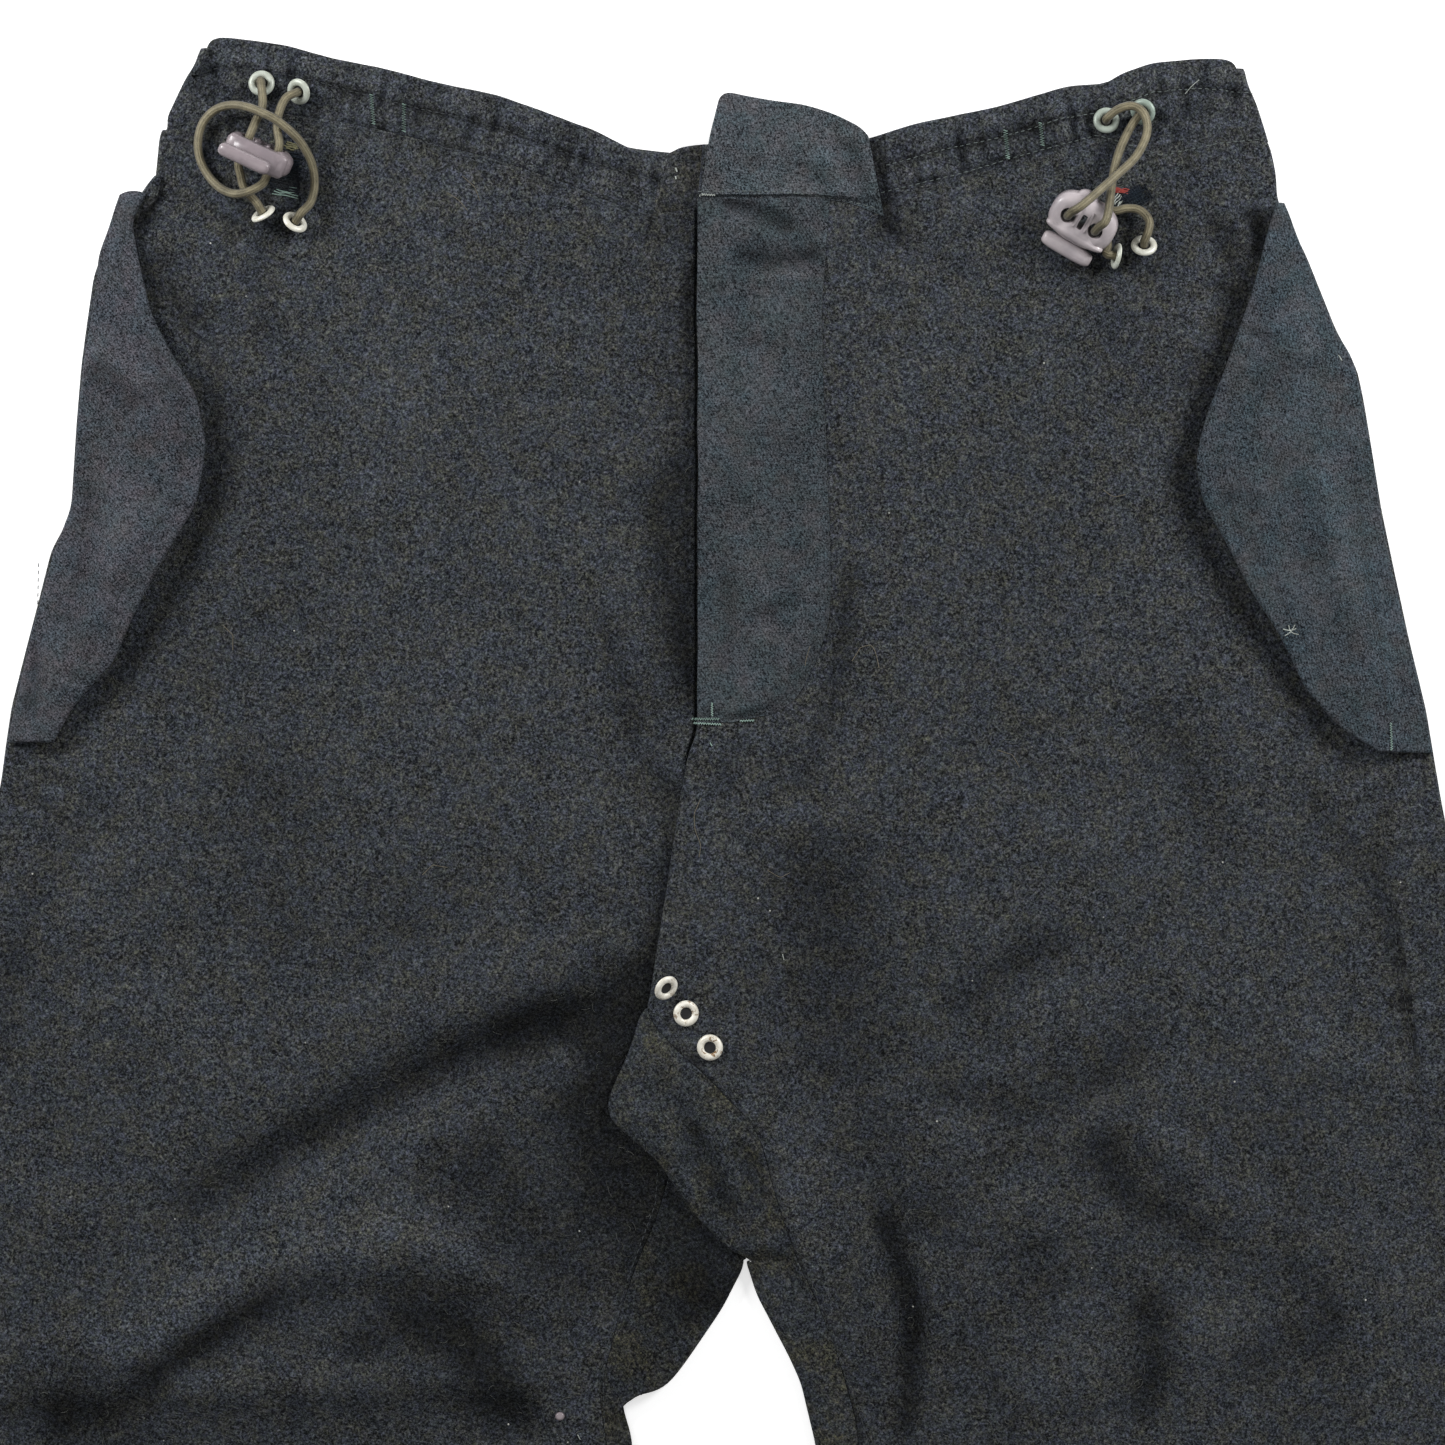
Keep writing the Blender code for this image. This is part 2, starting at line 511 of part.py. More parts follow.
def band_front(side, samples=4):
    """Front casing: lightly gathered on its elastic, rolled round the side to the surface."""
    way = sign(side)
    start = BAND_START[side]
    top_end, low_end = BAND_END[side]
    count = BAND_WAVES * samples
    seam = front_row(side, TOP_STATION)
    rows = []
    for depth in (0.0, 0.5, 1.0):
        row = []
        for step in range(count + 1):
            part = step / count
            x_top = start + (way * top_end - start) * part
            x_low = start + (way * low_end - start) * part
            across = x_top + (x_low - x_top) * depth
            y_top = waist(side, x_top, "top")
            y_low = along(seam, x_low) - 1.5 * SEAM
            down = y_top + (y_low - y_top) * depth
            wave = BAND_WAVE_HEIGHT * band_free(side, across, part) * math.sin(2 * math.pi * BAND_WAVES * part)
            height = FRONT_LOW + band_rise(side, across, part) + wave * (1 - 0.6 * abs(depth - 0.5))
            row.append((world(across, down, height + BAND_WALL), world(across, down, height)))
        across += way * BAND_END_STEP
        for degrees, low in ((60, FRONT_LOW), (25, FRONT_LOW), (0, FRONT_LOW - 0.1)):
            turn = math.radians(degrees)
            reach = BAND_WALL * math.cos(turn)
            lift = BAND_WALL * math.sin(turn)
            row.append((world(across + way * reach, down, FRONT_LOW + lift), world(across, down, low)))
        row.append((world(across + way * BAND_WALL, down, 0), world(across, down, 0)))
        rows.append(row)
    return wall(f"waistband_front_{side}", rows, "wool")


def band_free(side, across, part):
    """1 where the casing may gather, 0 at its ends, under the tab and at the hardware."""
    calm = 0.05 if side == "right" else 0.34
    return grown("band_free", part - calm) * grown("band_end", 1 - part) * (1 - spot_fade(side, across))


def band_rise(side, across, part):
    """Casing height over the back: raised by the underlap at the centre, lofted between."""
    rise = BAND_LOFT * grown("band_free", 1 - part)
    if side == "left":
        centre = 1 - grown("off_centre", across)
        return rise * (1 - centre) + PLATEAU * centre
    return rise * grown("band_start", part)


def cloth_top(side, across, down):
    """Upper surface of the casing or the front at a place that is pressed flat."""
    if down < waist(side, across, "low"):
        return FRONT_LOW + band_rise(side, across, 0.8) + BAND_WALL
    return front_low(side, across, down) + WALL


def spot_fade(side, across):
    """1 where the drawcord hardware holds the casing flat."""
    return 1 - grown("hardware", abs(across - HARDWARE_MIDDLE[side]))


def band_back():
    """Back casing, flat on the surface, inside the rolled ends of the front casings."""
    seam = [(x, y) for x, y in back_flat("right", TOP_STATION)[::-1] + back_flat("left", TOP_STATION)]
    rows = []
    for depth in (0.0, 1.0):
        row = []
        for low_across, low_down in seam:
            side = "left" if low_across >= 0 else "right"
            across = low_across * (1 - 0.055 * (1 - depth))
            top = waist(side, across, "top") + 1.5
            row.append((across, top + (low_down - SEAM - top) * depth, 0.0))
        rows.append(row)
    return slab("waistband_back", rows, WALL, "wool")


def underlap():
    """Fly extension of the right front, under the left front."""
    rows = []
    for down, right in UNDERLAP_ROWS:
        row = []
        for step in range(5):
            across = UNDERLAP_LEFT + (right - UNDERLAP_LEFT) * step / 4
            top = UNDERLAP_TOP[1 if step else 0]
            row.append((across, max(down, top), FRONT_LOW))
        rows.append(row)
    return slab("fly_underlap", rows, WALL, "wool")


def placket():
    """Wide fly placket on the left front, rounded into the centre at its lower end."""
    rows = []
    for edge in PLACKET_EDGE:
        row = []
        for step in range(6):
            across = PLACKET_LEFT + (edge.across - PLACKET_LEFT) * step / 5
            height = front_low("left", across, edge.down) + WALL + SEAM
            row.append((across, edge.down, height))
        rows.append(row)
    return slab("fly_placket", rows, WALL, "twill")


def tab():
    """End of the fly at the waist, standing a little above the casing."""
    rows = []
    over_band = FRONT_LOW + PLATEAU + BAND_WALL + SEAM
    for depth in (0.0, 0.25, 0.5, 0.75, 1.0):
        row = []
        for top, low in zip(TAB_TOP, TAB_LOW):
            across = top.across + (low.across - top.across) * depth
            down = top.down + (low.down - top.down) * depth
            height = over_band - TAB_DROP * (1 - grown("tab_front", down))
            row.append((across, down, height))
        rows.append(row)
    return slab("fly_tab", rows, WALL, "twill")


def flap(side, columns=7):
    """Leaf-shaped pocket flap: sewn down along the side, its free edge standing off the front."""
    way = sign(side)
    rows = []
    for leaf in FLAPS[side]:
        row = []
        for step in range(columns):
            part = step / (columns - 1)
            across = leaf.outer + (leaf.free - leaf.outer) * part
            height = SIDE_TOP + SEAM + LOFT * grown("flap", part * (leaf.outer - leaf.free))
            height += leaf.lift * math.sin(part * math.pi * 0.62) ** 1.4
            row.append((way * across, leaf.down, height))
        rows.append(row)
    return slab(f"pocket_flap_{side}", rows, WALL, "twill")


def gusset(columns=8):
    """Part of the gusset that is folded over the right leg, with its rolled left edge."""
    rows = []
    low = FRONT_LOW + WALL + SEAM + 0.2
    shared = [row for row in stations(TOP_STATION, LEG_STATION) if GUSSET_START <= row < CROTCH_DOWN]
    for down in shared + [GUSSET_END]:
        left = read(GUSSET_EDGE, down)
        right = read(INNER["left"], down) - 1.6 * SEAM
        width = right - left
        row = []
        for step in range(columns):
            part = step / (columns - 1)
            across = left + width * part
            roll = grown("gusset_roll", part * width)
            trough = fold_height(GUSSET_TROUGH, across, down)
            rise = GUSSET_ROLL * grown("gusset_width", width) * (1 - 0.5 * part) - trough
            row.append((across, down, low + max(rise * roll, 0.0)))
        rows.append(row)
    return slab("gusset_fold", rows, WALL, "wool")


def inseam(side):
    """Tail of the gusset, rolled round the inner leg down to the surface."""
    way = sign(side)
    rows = []
    shared = [row for row in stations(TOP_STATION, LEG_STATION) if row >= INSEAM_START[side]]
    for down in shared:
        seam = read(INNER[side], down) - way * SEAM * 1.3
        edge = read(LEG_INSIDE[side], down)
        turn = edge + way * WALL
        floor = 0.0 if down >= CROTCH_DOWN + 0.5 or side == "left" else BACK_TOP + SEAM
        row = [(world(seam, down, SIDE_TOP), world(seam, down, FRONT_LOW)),
               (world(turn, down, SIDE_TOP), world(turn, down, FRONT_LOW)),
               (world(turn - way * WALL * 0.7, down, SIDE_TOP - WALL * 0.3), world(turn, down, FRONT_LOW - 0.05)),
               (world(edge, down, FRONT_LOW - 0.1), world(turn, down, FRONT_LOW - 0.1)),
               (world(edge, down, min(floor, FRONT_LOW - 0.2)), world(turn, down, min(floor, FRONT_LOW - 0.2)))]
        rows.append(row)
    return wall(f"inseam_{side}", rows, "wool")


def hem(side):
    """Turned hem: a flat tube that closes round the end of the leg."""
    rows = []
    for down in (LEG_END, LEG_END + HEM_DEPTH * 0.5, HEM_DOWN):
        inside = read(LEG_INSIDE[side], down)
        outside = sign(side) * read(OUTER[side], down)
        low, high = sorted((inside, outside))
        row = []
        corners = [(low + ROLL, 0, 0), (low + ROLL * 0.3, ROLL * 0.4, 0), (low, ROLL, 0)]
        corners += [(low + ROLL * 0.3, ROLL * 1.8, 1), (low + ROLL, SIDE_TOP + 0.3, 1)]
        for step in (0.2, 0.5, 0.8):
            corners.append((low + (high - low) * step, SIDE_TOP + LOFT, 1))
        corners += [(high - ROLL, SIDE_TOP + 0.3, 1), (high - ROLL * 0.3, ROLL * 1.8, 1), (high, ROLL, 0)]
        corners += [(high - ROLL * 0.3, ROLL * 0.4, 0), (high - ROLL, 0, 0)]
        for across, height, upper in corners:
            inner_x = min(max(across, low + WALL), high - WALL)
            inner_z = max(height - WALL, BACK_TOP + 0.2) if upper else WALL
            row.append((world(across, down, height), world(inner_x, down, inner_z)))
        rows.append(row)
    return wall(f"hem_{side}", rows, "wool", closed=True)


def eyelet_frame(ring):
    """Place and tilt of an eyelet, its lowest rim just clear of the cloth."""
    tilt = Matrix.Rotation(math.radians(ring.tilt), 4, "Y")
    face = Matrix.Rotation(math.radians(ring.facing), 4, "Z")
    height = cloth_top(ring.side, ring.across, ring.down) + 1.5 * SEAM
    height += EYELET_RADIUS * math.sin(math.radians(ring.tilt))
    return Matrix.Translation(world(ring.across, ring.down, height)) @ face @ tilt


def eyelet(ring, segments=12):
    """Rolled metal ring, turned from a small profile."""
    middle = (EYELET_RADIUS + EYELET_HOLE) / 2
    profile = [(EYELET_HOLE, 0.0), (EYELET_HOLE, EYELET_HEIGHT * 0.6), (middle, EYELET_HEIGHT),
               (EYELET_RADIUS, EYELET_HEIGHT * 0.4), (EYELET_RADIUS, 0.0)]
    build = bmesh.new()
    loops = []
    for step in range(segments):
        turn = 2 * math.pi * step / segments
        loops.append([build.verts.new(Vector((r * math.cos(turn), r * math.sin(turn), z)) * MM) for r, z in profile])
    for step in range(segments):
        here, there = loops[step], loops[(step + 1) % segments]
        for point in range(len(profile)):
            follow = (point + 1) % len(profile)
            build.faces.new((here[point], there[point], there[follow], here[follow]))
    bmesh.ops.recalc_face_normals(build, faces=build.faces)
    mesh = bpy.data.meshes.new(ring.name)
    build.to_mesh(mesh)
    build.free()
    thing = add(ring.name, mesh, "nickel")
    thing.matrix_world = eyelet_frame(ring)


def pebble(name, length, width, depth, finish, sides=20, power=2.6):
    """Rounded plate: superellipse outlines stacked through its depth."""
    layers = ((0.0, 0.86), (0.14, 0.97), (0.5, 1.0), (0.86, 0.97), (1.0, 0.86))
    build = bmesh.new()
    loops = []
    for level, scale in layers:
        loop = []
        for step in range(sides):
            turn = 2 * math.pi * step / sides
            cosine, sine = math.cos(turn), math.sin(turn)
            x = math.copysign(abs(cosine) ** (2 / power), cosine) * length / 2 * scale
            y = math.copysign(abs(sine) ** (2 / power), sine) * width / 2 * scale
            loop.append(build.verts.new(Vector((x, y, (level - 0.5) * depth)) * MM))
        loops.append(loop)
    for lower, upper in zip(loops, loops[1:]):
        for step in range(sides):
            follow = (step + 1) % sides
            build.faces.new((lower[step], lower[follow], upper[follow], upper[step]))
    build.faces.new(loops[0][::-1])
    build.faces.new(loops[-1])
    bmesh.ops.recalc_face_normals(build, faces=build.faces)
    mesh = bpy.data.meshes.new(name)
    build.to_mesh(mesh)
    build.free()
    return add(name, mesh, finish)


def cutter(name, radius, depth, x, y, size=None):
    """Guide that cuts a round hole, or a slot where a size is given."""
    build = bmesh.new()
    if size:
        bmesh.ops.create_cube(build, size=1, matrix=Matrix.Diagonal((size[0] * MM, size[1] * MM, depth * MM, 1)))
    else:
        bmesh.ops.create_cone(build, cap_ends=True, segments=12, radius1=radius * MM, radius2=radius * MM,
                              depth=depth * MM)
    mesh = bpy.data.meshes.new(name)
    build.to_mesh(mesh)
    build.free()
    guide = bpy.data.objects.new(name, mesh)
    bpy.context.collection.objects.link(guide)
    guide.location = (x * MM, y * MM, 0)
    guide.hide_render = True
    guide.display_type = "WIRE"
    return guide


def toggle_frame(side):
    """Place and turn of a cord lock."""
    place = TOGGLES[side]
    turn = Matrix.Rotation(math.radians(place.spin), 4, "Z") @ Matrix.Rotation(math.radians(place.tilt), 4, "X")
    return Matrix.Translation(world(place.across, place.down, place.height)) @ turn


def toggle(side):
    """Cord lock: a pebble-shaped body with two cord holes and a slot, and its push button."""
    body = pebble(f"toggle_{side}", TOGGLE_LENGTH, TOGGLE_WIDTH, TOGGLE_DEPTH, "plastic")
    button = pebble(f"toggle_button_{side}", *BUTTON_SIZE, "plastic", sides=16, power=4)
    holder = bpy.data.objects.new(f"toggle_place_{side}", None)
    bpy.context.collection.objects.link(holder)
    button.location = (0, -(TOGGLE_WIDTH / 2 + BUTTON_SIZE[1] / 2 + SEAM) * MM, 0)
    guides = [cutter(f"hole_{side}_{end}", TOGGLE_HOLE, TOGGLE_DEPTH * 2, end * HALF_SPACING, 0) for end in (-1, 1)]
    guides.append(cutter(f"slot_{side}", 0, TOGGLE_DEPTH * 2, 0, 0, TOGGLE_SLOT))
    for guide in guides:
        cut = body.modifiers.new(guide.name, "BOOLEAN")
        cut.operation = "DIFFERENCE"
        cut.object = guide
    for piece in (body, button, *guides):
        piece.parent = holder
    holder.matrix_world = toggle_frame(side)


def cord_points(side, route):
    """Route of a cord, with its points in the cord lock and the eyelets turned into the common frame."""
    rings = {ring.name: ring for ring in EYELETS}
    points = []
    for point in route:
        if isinstance(point, Through):
            place = toggle_frame(side) @ (Vector((point.x, point.y, point.z)) * MM) / MM
            point = (place.x, CENTRE_DOWN - place.y, place.z)
        elif isinstance(point, Out):
            place = eyelet_frame(rings[point.ring]) @ (Vector((0, 0, point.length)) * MM) / MM
            point = (place.x, CENTRE_DOWN - place.y, place.z)
        points.append(point)
    return points


def leg_cord_stop():
    """Small plastic stop in the cross fold of the right leg."""
    stop = pebble("leg_cord_stop", *STOP_SIZE, "plastic", sides=10, power=2)
    height = cloth_top("right", *STOP_PLACE) + SEAM * 2 + STOP_SIZE[2] / 2
    stop.matrix_world = Matrix.Translation(world(*STOP_PLACE, height))


def smooth_route(points, spacing):
    """Even points on a smooth curve through a cord's own points."""
    places = [Vector(point) for point in points]
    places = [2 * places[0] - places[1]] + places + [2 * places[-1] - places[-2]]
    fine = []
    for i in range(1, len(places) - 2):
        before, start, end, after = places[i - 1:i + 3]
        for step in range(12):
            t = step / 12
            fine.append(0.5 * (2 * start + (end - before) * t + (2 * before - 5 * start + 4 * end - after) * t * t
                               + (3 * start - before - 3 * end + after) * t ** 3))
    fine.append(places[-2])
    total = sum((b - a).length for a, b in zip(fine, fine[1:]))
    count = max(4, round(total / spacing))
    result = [fine[0]]
    walked = 0.0
    target = total / count
    for a, b in zip(fine, fine[1:]):
        step = (b - a).length
        while walked + step >= target - 1e-9 and len(result) < count:
            result.append(a.lerp(b, (target - walked) / step))
            target += total / count
        walked += step
    result.append(fine[-1])
    return result


def cord(name, route):
    """Round braided drawcord along its route of (across, down, height)."""
    curve = bpy.data.curves.new(name, "CURVE")
    curve.dimensions = "3D"
    curve.bevel_depth = CORD_DIAMETER / 2 * MM
    curve.bevel_resolution = 2
    curve.use_fill_caps = True
    side, places = route
    points = smooth_route(cord_points(side, places), CORD_DIAMETER * 2)
    spline = curve.splines.new("POLY")
    spline.points.add(len(points) - 1)
    for point, (across, down, height) in zip(spline.points, points):
        point.co = (*world(across, down, height), 1)
    thing = bpy.data.objects.new(name, curve)
    bpy.context.collection.objects.link(thing)
    paint(thing, "cord")
    return thing


def make_trousers():
    for thing in list(bpy.data.objects):
        bpy.data.objects.remove(thing)
    for side in ("right", "left"):
        back(side)
        front(side)
        band_front(side)
        flap(side)
        inseam(side)
        hem(side)
    band_back()
    underlap()
    placket()
    tab()
    gusset()
    leg_cord_stop()
    for ring in EYELETS:
        eyelet(ring)
    for side in ("right", "left"):
        toggle(side)
    for name, route in CORDS.items():
        cord(name, route)


make_trousers()
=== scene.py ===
import math
import random

import bmesh
import bpy
import numpy as np
from mathutils import Matrix, Vector
from mathutils.bvhtree import BVHTree


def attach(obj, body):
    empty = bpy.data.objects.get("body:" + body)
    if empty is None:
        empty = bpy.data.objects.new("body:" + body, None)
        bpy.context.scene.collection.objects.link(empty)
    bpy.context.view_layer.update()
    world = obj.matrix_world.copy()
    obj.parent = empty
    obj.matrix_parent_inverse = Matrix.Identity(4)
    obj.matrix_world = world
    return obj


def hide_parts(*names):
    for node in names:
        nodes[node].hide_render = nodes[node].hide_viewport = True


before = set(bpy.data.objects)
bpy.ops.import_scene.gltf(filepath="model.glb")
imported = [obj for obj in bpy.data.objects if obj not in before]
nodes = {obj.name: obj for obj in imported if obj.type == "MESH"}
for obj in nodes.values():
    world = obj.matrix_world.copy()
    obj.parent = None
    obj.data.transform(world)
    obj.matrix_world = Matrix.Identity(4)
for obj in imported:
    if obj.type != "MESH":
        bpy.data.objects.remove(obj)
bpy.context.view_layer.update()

scene = bpy.context.scene
mm = 0.001
centreDown = 524.2   # the part's middle, measured down from a level just above the waist


def place(across, down, height=0.0):   # across from the centre front, down the trousers, all in mm
    return Vector((across * mm, (centreDown - down) * mm, height * mm))


def addObject(name, data):
    thing = bpy.data.objects.new(name, data)
    scene.collection.objects.link(thing)
    return thing


# Camera, floor and light

view = {"across": 0.0, "down": 289.0, "width": 578.0, "clothHeight": 6.0, "lens": 110.0}
light = {
    "left": {"at": (-0.88, 0.60, 0.60), "size": 0.38, "power": 10.7},
    "right": {"at": (0.88, 0.60, 0.60), "size": 0.38, "power": 10.7},
    "above": {"at": (0.0, -0.6, 1.9), "size": 1.4, "power": 6.4},
}
studio = {"sky": 0.22, "floor": (0.86, 0.86, 0.86), "glow": 0.5, "drop": 0.4, "half": 4.0}


def makeCamera():
    camera = addObject("camera", bpy.data.cameras.new("camera"))
    camera.data.lens = view["lens"]
    camera.data.sensor_width = 36
    distance = view["width"] * view["lens"] / camera.data.sensor_width
    camera.location = place(view["across"], view["down"], view["clothHeight"] + distance)
    scene.camera = camera


def makeStudio():
    middle = place(view["across"], view["down"])
    for name, lamp in light.items():
        data = bpy.data.lights.new(name, "AREA")
        data.energy = lamp["power"]
        data.size = lamp["size"]
        thing = addObject("light_" + name, data)
        thing.location = middle + Vector(lamp["at"])
        thing.rotation_euler = (middle - thing.location).to_track_quat("-Z", "Y").to_euler()
    world = bpy.data.worlds.new("studio")
    world.use_nodes = True
    world.node_tree.nodes["Background"].inputs["Color"].default_value = (1, 1, 1, 1)
    world.node_tree.nodes["Background"].inputs["Strength"].default_value = studio["sky"]
    scene.world = world
    scene.view_settings.view_transform = "Standard"
    mesh = bpy.data.meshes.new("floor")
    half, level = studio["half"], -studio["drop"] * mm
    mesh.from_pydata([(-half, -half, level), (half, -half, level), (half, half, level),
                      (-half, half, level)],
                     [], [(0, 1, 2, 3)])
    floor = addObject("floor", mesh)
    material = bpy.data.materials.new("floor")
    material.use_nodes = True
    shader = material.node_tree.nodes["Principled BSDF"]
    shader.inputs["Base Color"].default_value = (*studio["floor"], 1)
    shader.inputs["Roughness"].default_value = 0.9
    shader.inputs["Emission Color"].default_value = (1, 1, 1, 1)
    shader.inputs["Emission Strength"].default_value = studio["glow"]
    mesh.materials.append(material)


makeCamera()
makeStudio()
print("camera, floor and light ready")


# Node helpers

def addNode(tree, kind, inputs=None, **settings):
    made = tree.nodes.new(kind)
    for name, value in settings.items():
        setattr(made, name, value)
    for name, value in (inputs or {}).items():
        if isinstance(value, bpy.types.NodeSocket):
            tree.links.new(value, made.inputs[name])
        else:
            made.inputs[name].default_value = value
    return made


def maths(tree, operation, first, second=0.0, clamp=False):
    return addNode(tree, "ShaderNodeMath", {0: first, 1: second}, operation=operation,
                   use_clamp=clamp).outputs[0]


def plus(tree, first, second):
    return maths(tree, "ADD", first, second)


def times(tree, first, second, clamp=False):
    return maths(tree, "MULTIPLY", first, second, clamp)


def mapRange(tree, value, low, high, toLow=0.0, toHigh=1.0):
    made = addNode(tree, "ShaderNodeMapRange", {"Value": value, "From Min": low, "From Max": high,
                                                "To Min": toLow, "To Max": toHigh})
    return made.outputs[0]


def blendColour(tree, amount, first, second, mode="MIX"):
    made = tree.nodes.new("ShaderNodeMix")
    made.data_type = "RGBA"
    made.blend_type = mode
    for index, value in ((0, amount), (6, first), (7, second)):
        if isinstance(value, bpy.types.NodeSocket):
            tree.links.new(value, made.inputs[index])
        elif index:
            made.inputs[index].default_value = (*value, 1)
        else:
            made.inputs[index].default_value = value
    return made.outputs[2]


def noiseAt(tree, vector, perMetre, detail=2.0, roughness=0.5):
    made = addNode(tree, "ShaderNodeTexNoise", {"Vector": vector, "Scale": perMetre, "Detail": detail,
                                                "Roughness": roughness})
    return made.outputs[0]


def newGroup(name, inputs, outputs):
    tree = bpy.data.node_groups.new(name, "ShaderNodeTree")
    for label, kind, value in inputs:
        socket = tree.interface.new_socket(label, in_out="INPUT", socket_type=kind)
        if value is not None:
            socket.default_value = value
    for label, kind in outputs:
        tree.interface.new_socket(label, in_out="OUTPUT", socket_type=kind)
    return tree, tree.nodes.new("NodeGroupInput"), tree.nodes.new("NodeGroupOutput")


def attribute(tree, name):
    return addNode(tree, "ShaderNodeAttribute", attribute_name=name).outputs["Fac"]


def paint(tree, shader, colour, height, strength, relief):   # colour and bump, the relief in mm
    tree.links.new(colour, shader.inputs["Base Color"])
    bump = addNode(tree, "ShaderNodeBump",
                   {"Height": height, "Strength": strength, "Distance": relief * mm})
    tree.links.new(bump.outputs[0], shader.inputs["Normal"])


def makeFibreGroup():
    # Felted fibres that lie every way: fine streaks in three directions, in mm
    tree, given, out = newGroup(
        "feltedFibres",
        [("Vector", "NodeSocketVector", None), ("Fibre Width", "NodeSocketFloat", 0.8),
         ("Fibre Length", "NodeSocketFloat", 2.4)],
        [("Melange", "NodeSocketFloat"), ("Height", "NodeSocketFloat")])
    across = maths(tree, "DIVIDE", 1000.0, given.outputs["Fibre Width"])
    along = maths(tree, "DIVIDE", 1000.0, given.outputs["Fibre Length"])
    scale = addNode(tree, "ShaderNodeCombineXYZ", {0: along, 1: across, 2: across})
    bend = addNode(tree, "ShaderNodeTexNoise",
                   {"Vector": given.outputs["Vector"], "Scale": 160.0, "Detail": 1.0})
    shift = addNode(tree, "ShaderNodeVectorMath", {0: bend.outputs["Color"], 1: (0.0016, 0.0016, 0.0016)},
                    operation="MULTIPLY")
    bent = addNode(tree, "ShaderNodeVectorMath", {0: given.outputs["Vector"], 1: shift.outputs[0]},
                   operation="ADD")
    streaks = []
    for degrees in (14.0, 73.0, 131.0):
        turned = addNode(tree, "ShaderNodeVectorRotate",
                         {"Vector": bent.outputs[0], "Angle": math.radians(degrees)},
                         rotation_type="Z_AXIS")
        scaled = addNode(tree, "ShaderNodeVectorMath", {0: turned.outputs[0], 1: scale.outputs[0]},
                         operation="MULTIPLY")
        streaks.append(noiseAt(tree, scaled.outputs[0], 1.0, 2.0, 0.6))
    total = plus(tree, plus(tree, streaks[0], streaks[1]), streaks[2])
    highest = maths(tree, "MAXIMUM", maths(tree, "MAXIMUM", streaks[0], streaks[1]), streaks[2])
    tree.links.new(mapRange(tree, total, 1.24, 1.82), out.inputs["Melange"])
    tree.links.new(mapRange(tree, highest, 0.42, 0.78), out.inputs["Height"])
    return tree


def makePatchGroup():
    # Broad, cloudy change of tone and hue, as in much washed cloth
    tree, given, out = newGroup(
        "cloudyTone", [("Vector", "NodeSocketVector", None), ("Size", "NodeSocketFloat", 14.0)],
        [("Tone", "NodeSocketFloat"), ("Hue", "NodeSocketFloat")])
    often = maths(tree, "DIVIDE", 1000.0, given.outputs["Size"])
    tone = noiseAt(tree, given.outputs["Vector"], often, 3.0, 0.6)
    moved = addNode(tree, "ShaderNodeVectorMath", {0: given.outputs["Vector"], 1: (0.7, 0.4, 0.2)},
                    operation="ADD")
    hue = noiseAt(tree, moved.outputs[0], times(tree, often, 1.7), 3.0, 0.65)
    tree.links.new(mapRange(tree, tone, 0.3, 0.7), out.inputs["Tone"])
    tree.links.new(mapRange(tree, hue, 0.42, 0.64), out.inputs["Hue"])
    return tree


def makeSpeckGroup():
    # Rare pale specks of lint
    tree, given, out = newGroup("lintSpecks", [("Vector", "NodeSocketVector", None)],
                                [("Mask", "NodeSocketFloat")])
    cells = addNode(tree, "ShaderNodeTexVoronoi", {"Vector": given.outputs["Vector"], "Scale": 210.0})
    near = mapRange(tree, cells.outputs["Distance"], 0.10, 0.05)
    pick = addNode(tree, "ShaderNodeSeparateColor", {0: cells.outputs["Color"]})
    rare = maths(tree, "GREATER_THAN", pick.outputs[0], 0.988)
    tree.links.new(times(tree, near, rare), out.inputs["Mask"])
    return tree


groups = {"fibre": makeFibreGroup(), "patch": makePatchGroup(), "speck": makeSpeckGroup()}


def useGroup(tree, name, **inputs):
    made = tree.nodes.new("ShaderNodeGroup")
    made.node_tree = groups[name]
    for label, value in inputs.items():
        label = label.replace("_", " ")
        if isinstance(value, bpy.types.NodeSocket):
            tree.links.new(value, made.inputs[label])
        else:
            made.inputs[label].default_value = value
    return made


def newMaterial(name, roughness, metallic=0.0, sheen=0.0, gloss=0.5):
    material = bpy.data.materials.new(name)
    material.use_nodes = True
    tree = material.node_tree
    shader = tree.nodes["Principled BSDF"]
    shader.inputs["Roughness"].default_value = roughness
    shader.inputs["Metallic"].default_value = metallic
    shader.inputs["Sheen Weight"].default_value = sheen
    shader.inputs["Specular IOR Level"].default_value = gloss
    return material, tree, shader


woolLook = {
    "dark": (0.0020, 0.0025, 0.0036), "light": (0.148, 0.168, 0.200),
    "brown": (0.156, 0.150, 0.082), "blue": (0.092, 0.120, 0.150), "lint": (0.5, 0.5, 0.46),
    "roughness": 0.92, "sheen": 0.02, "gloss": 0.1, "relief": 0.7,
}


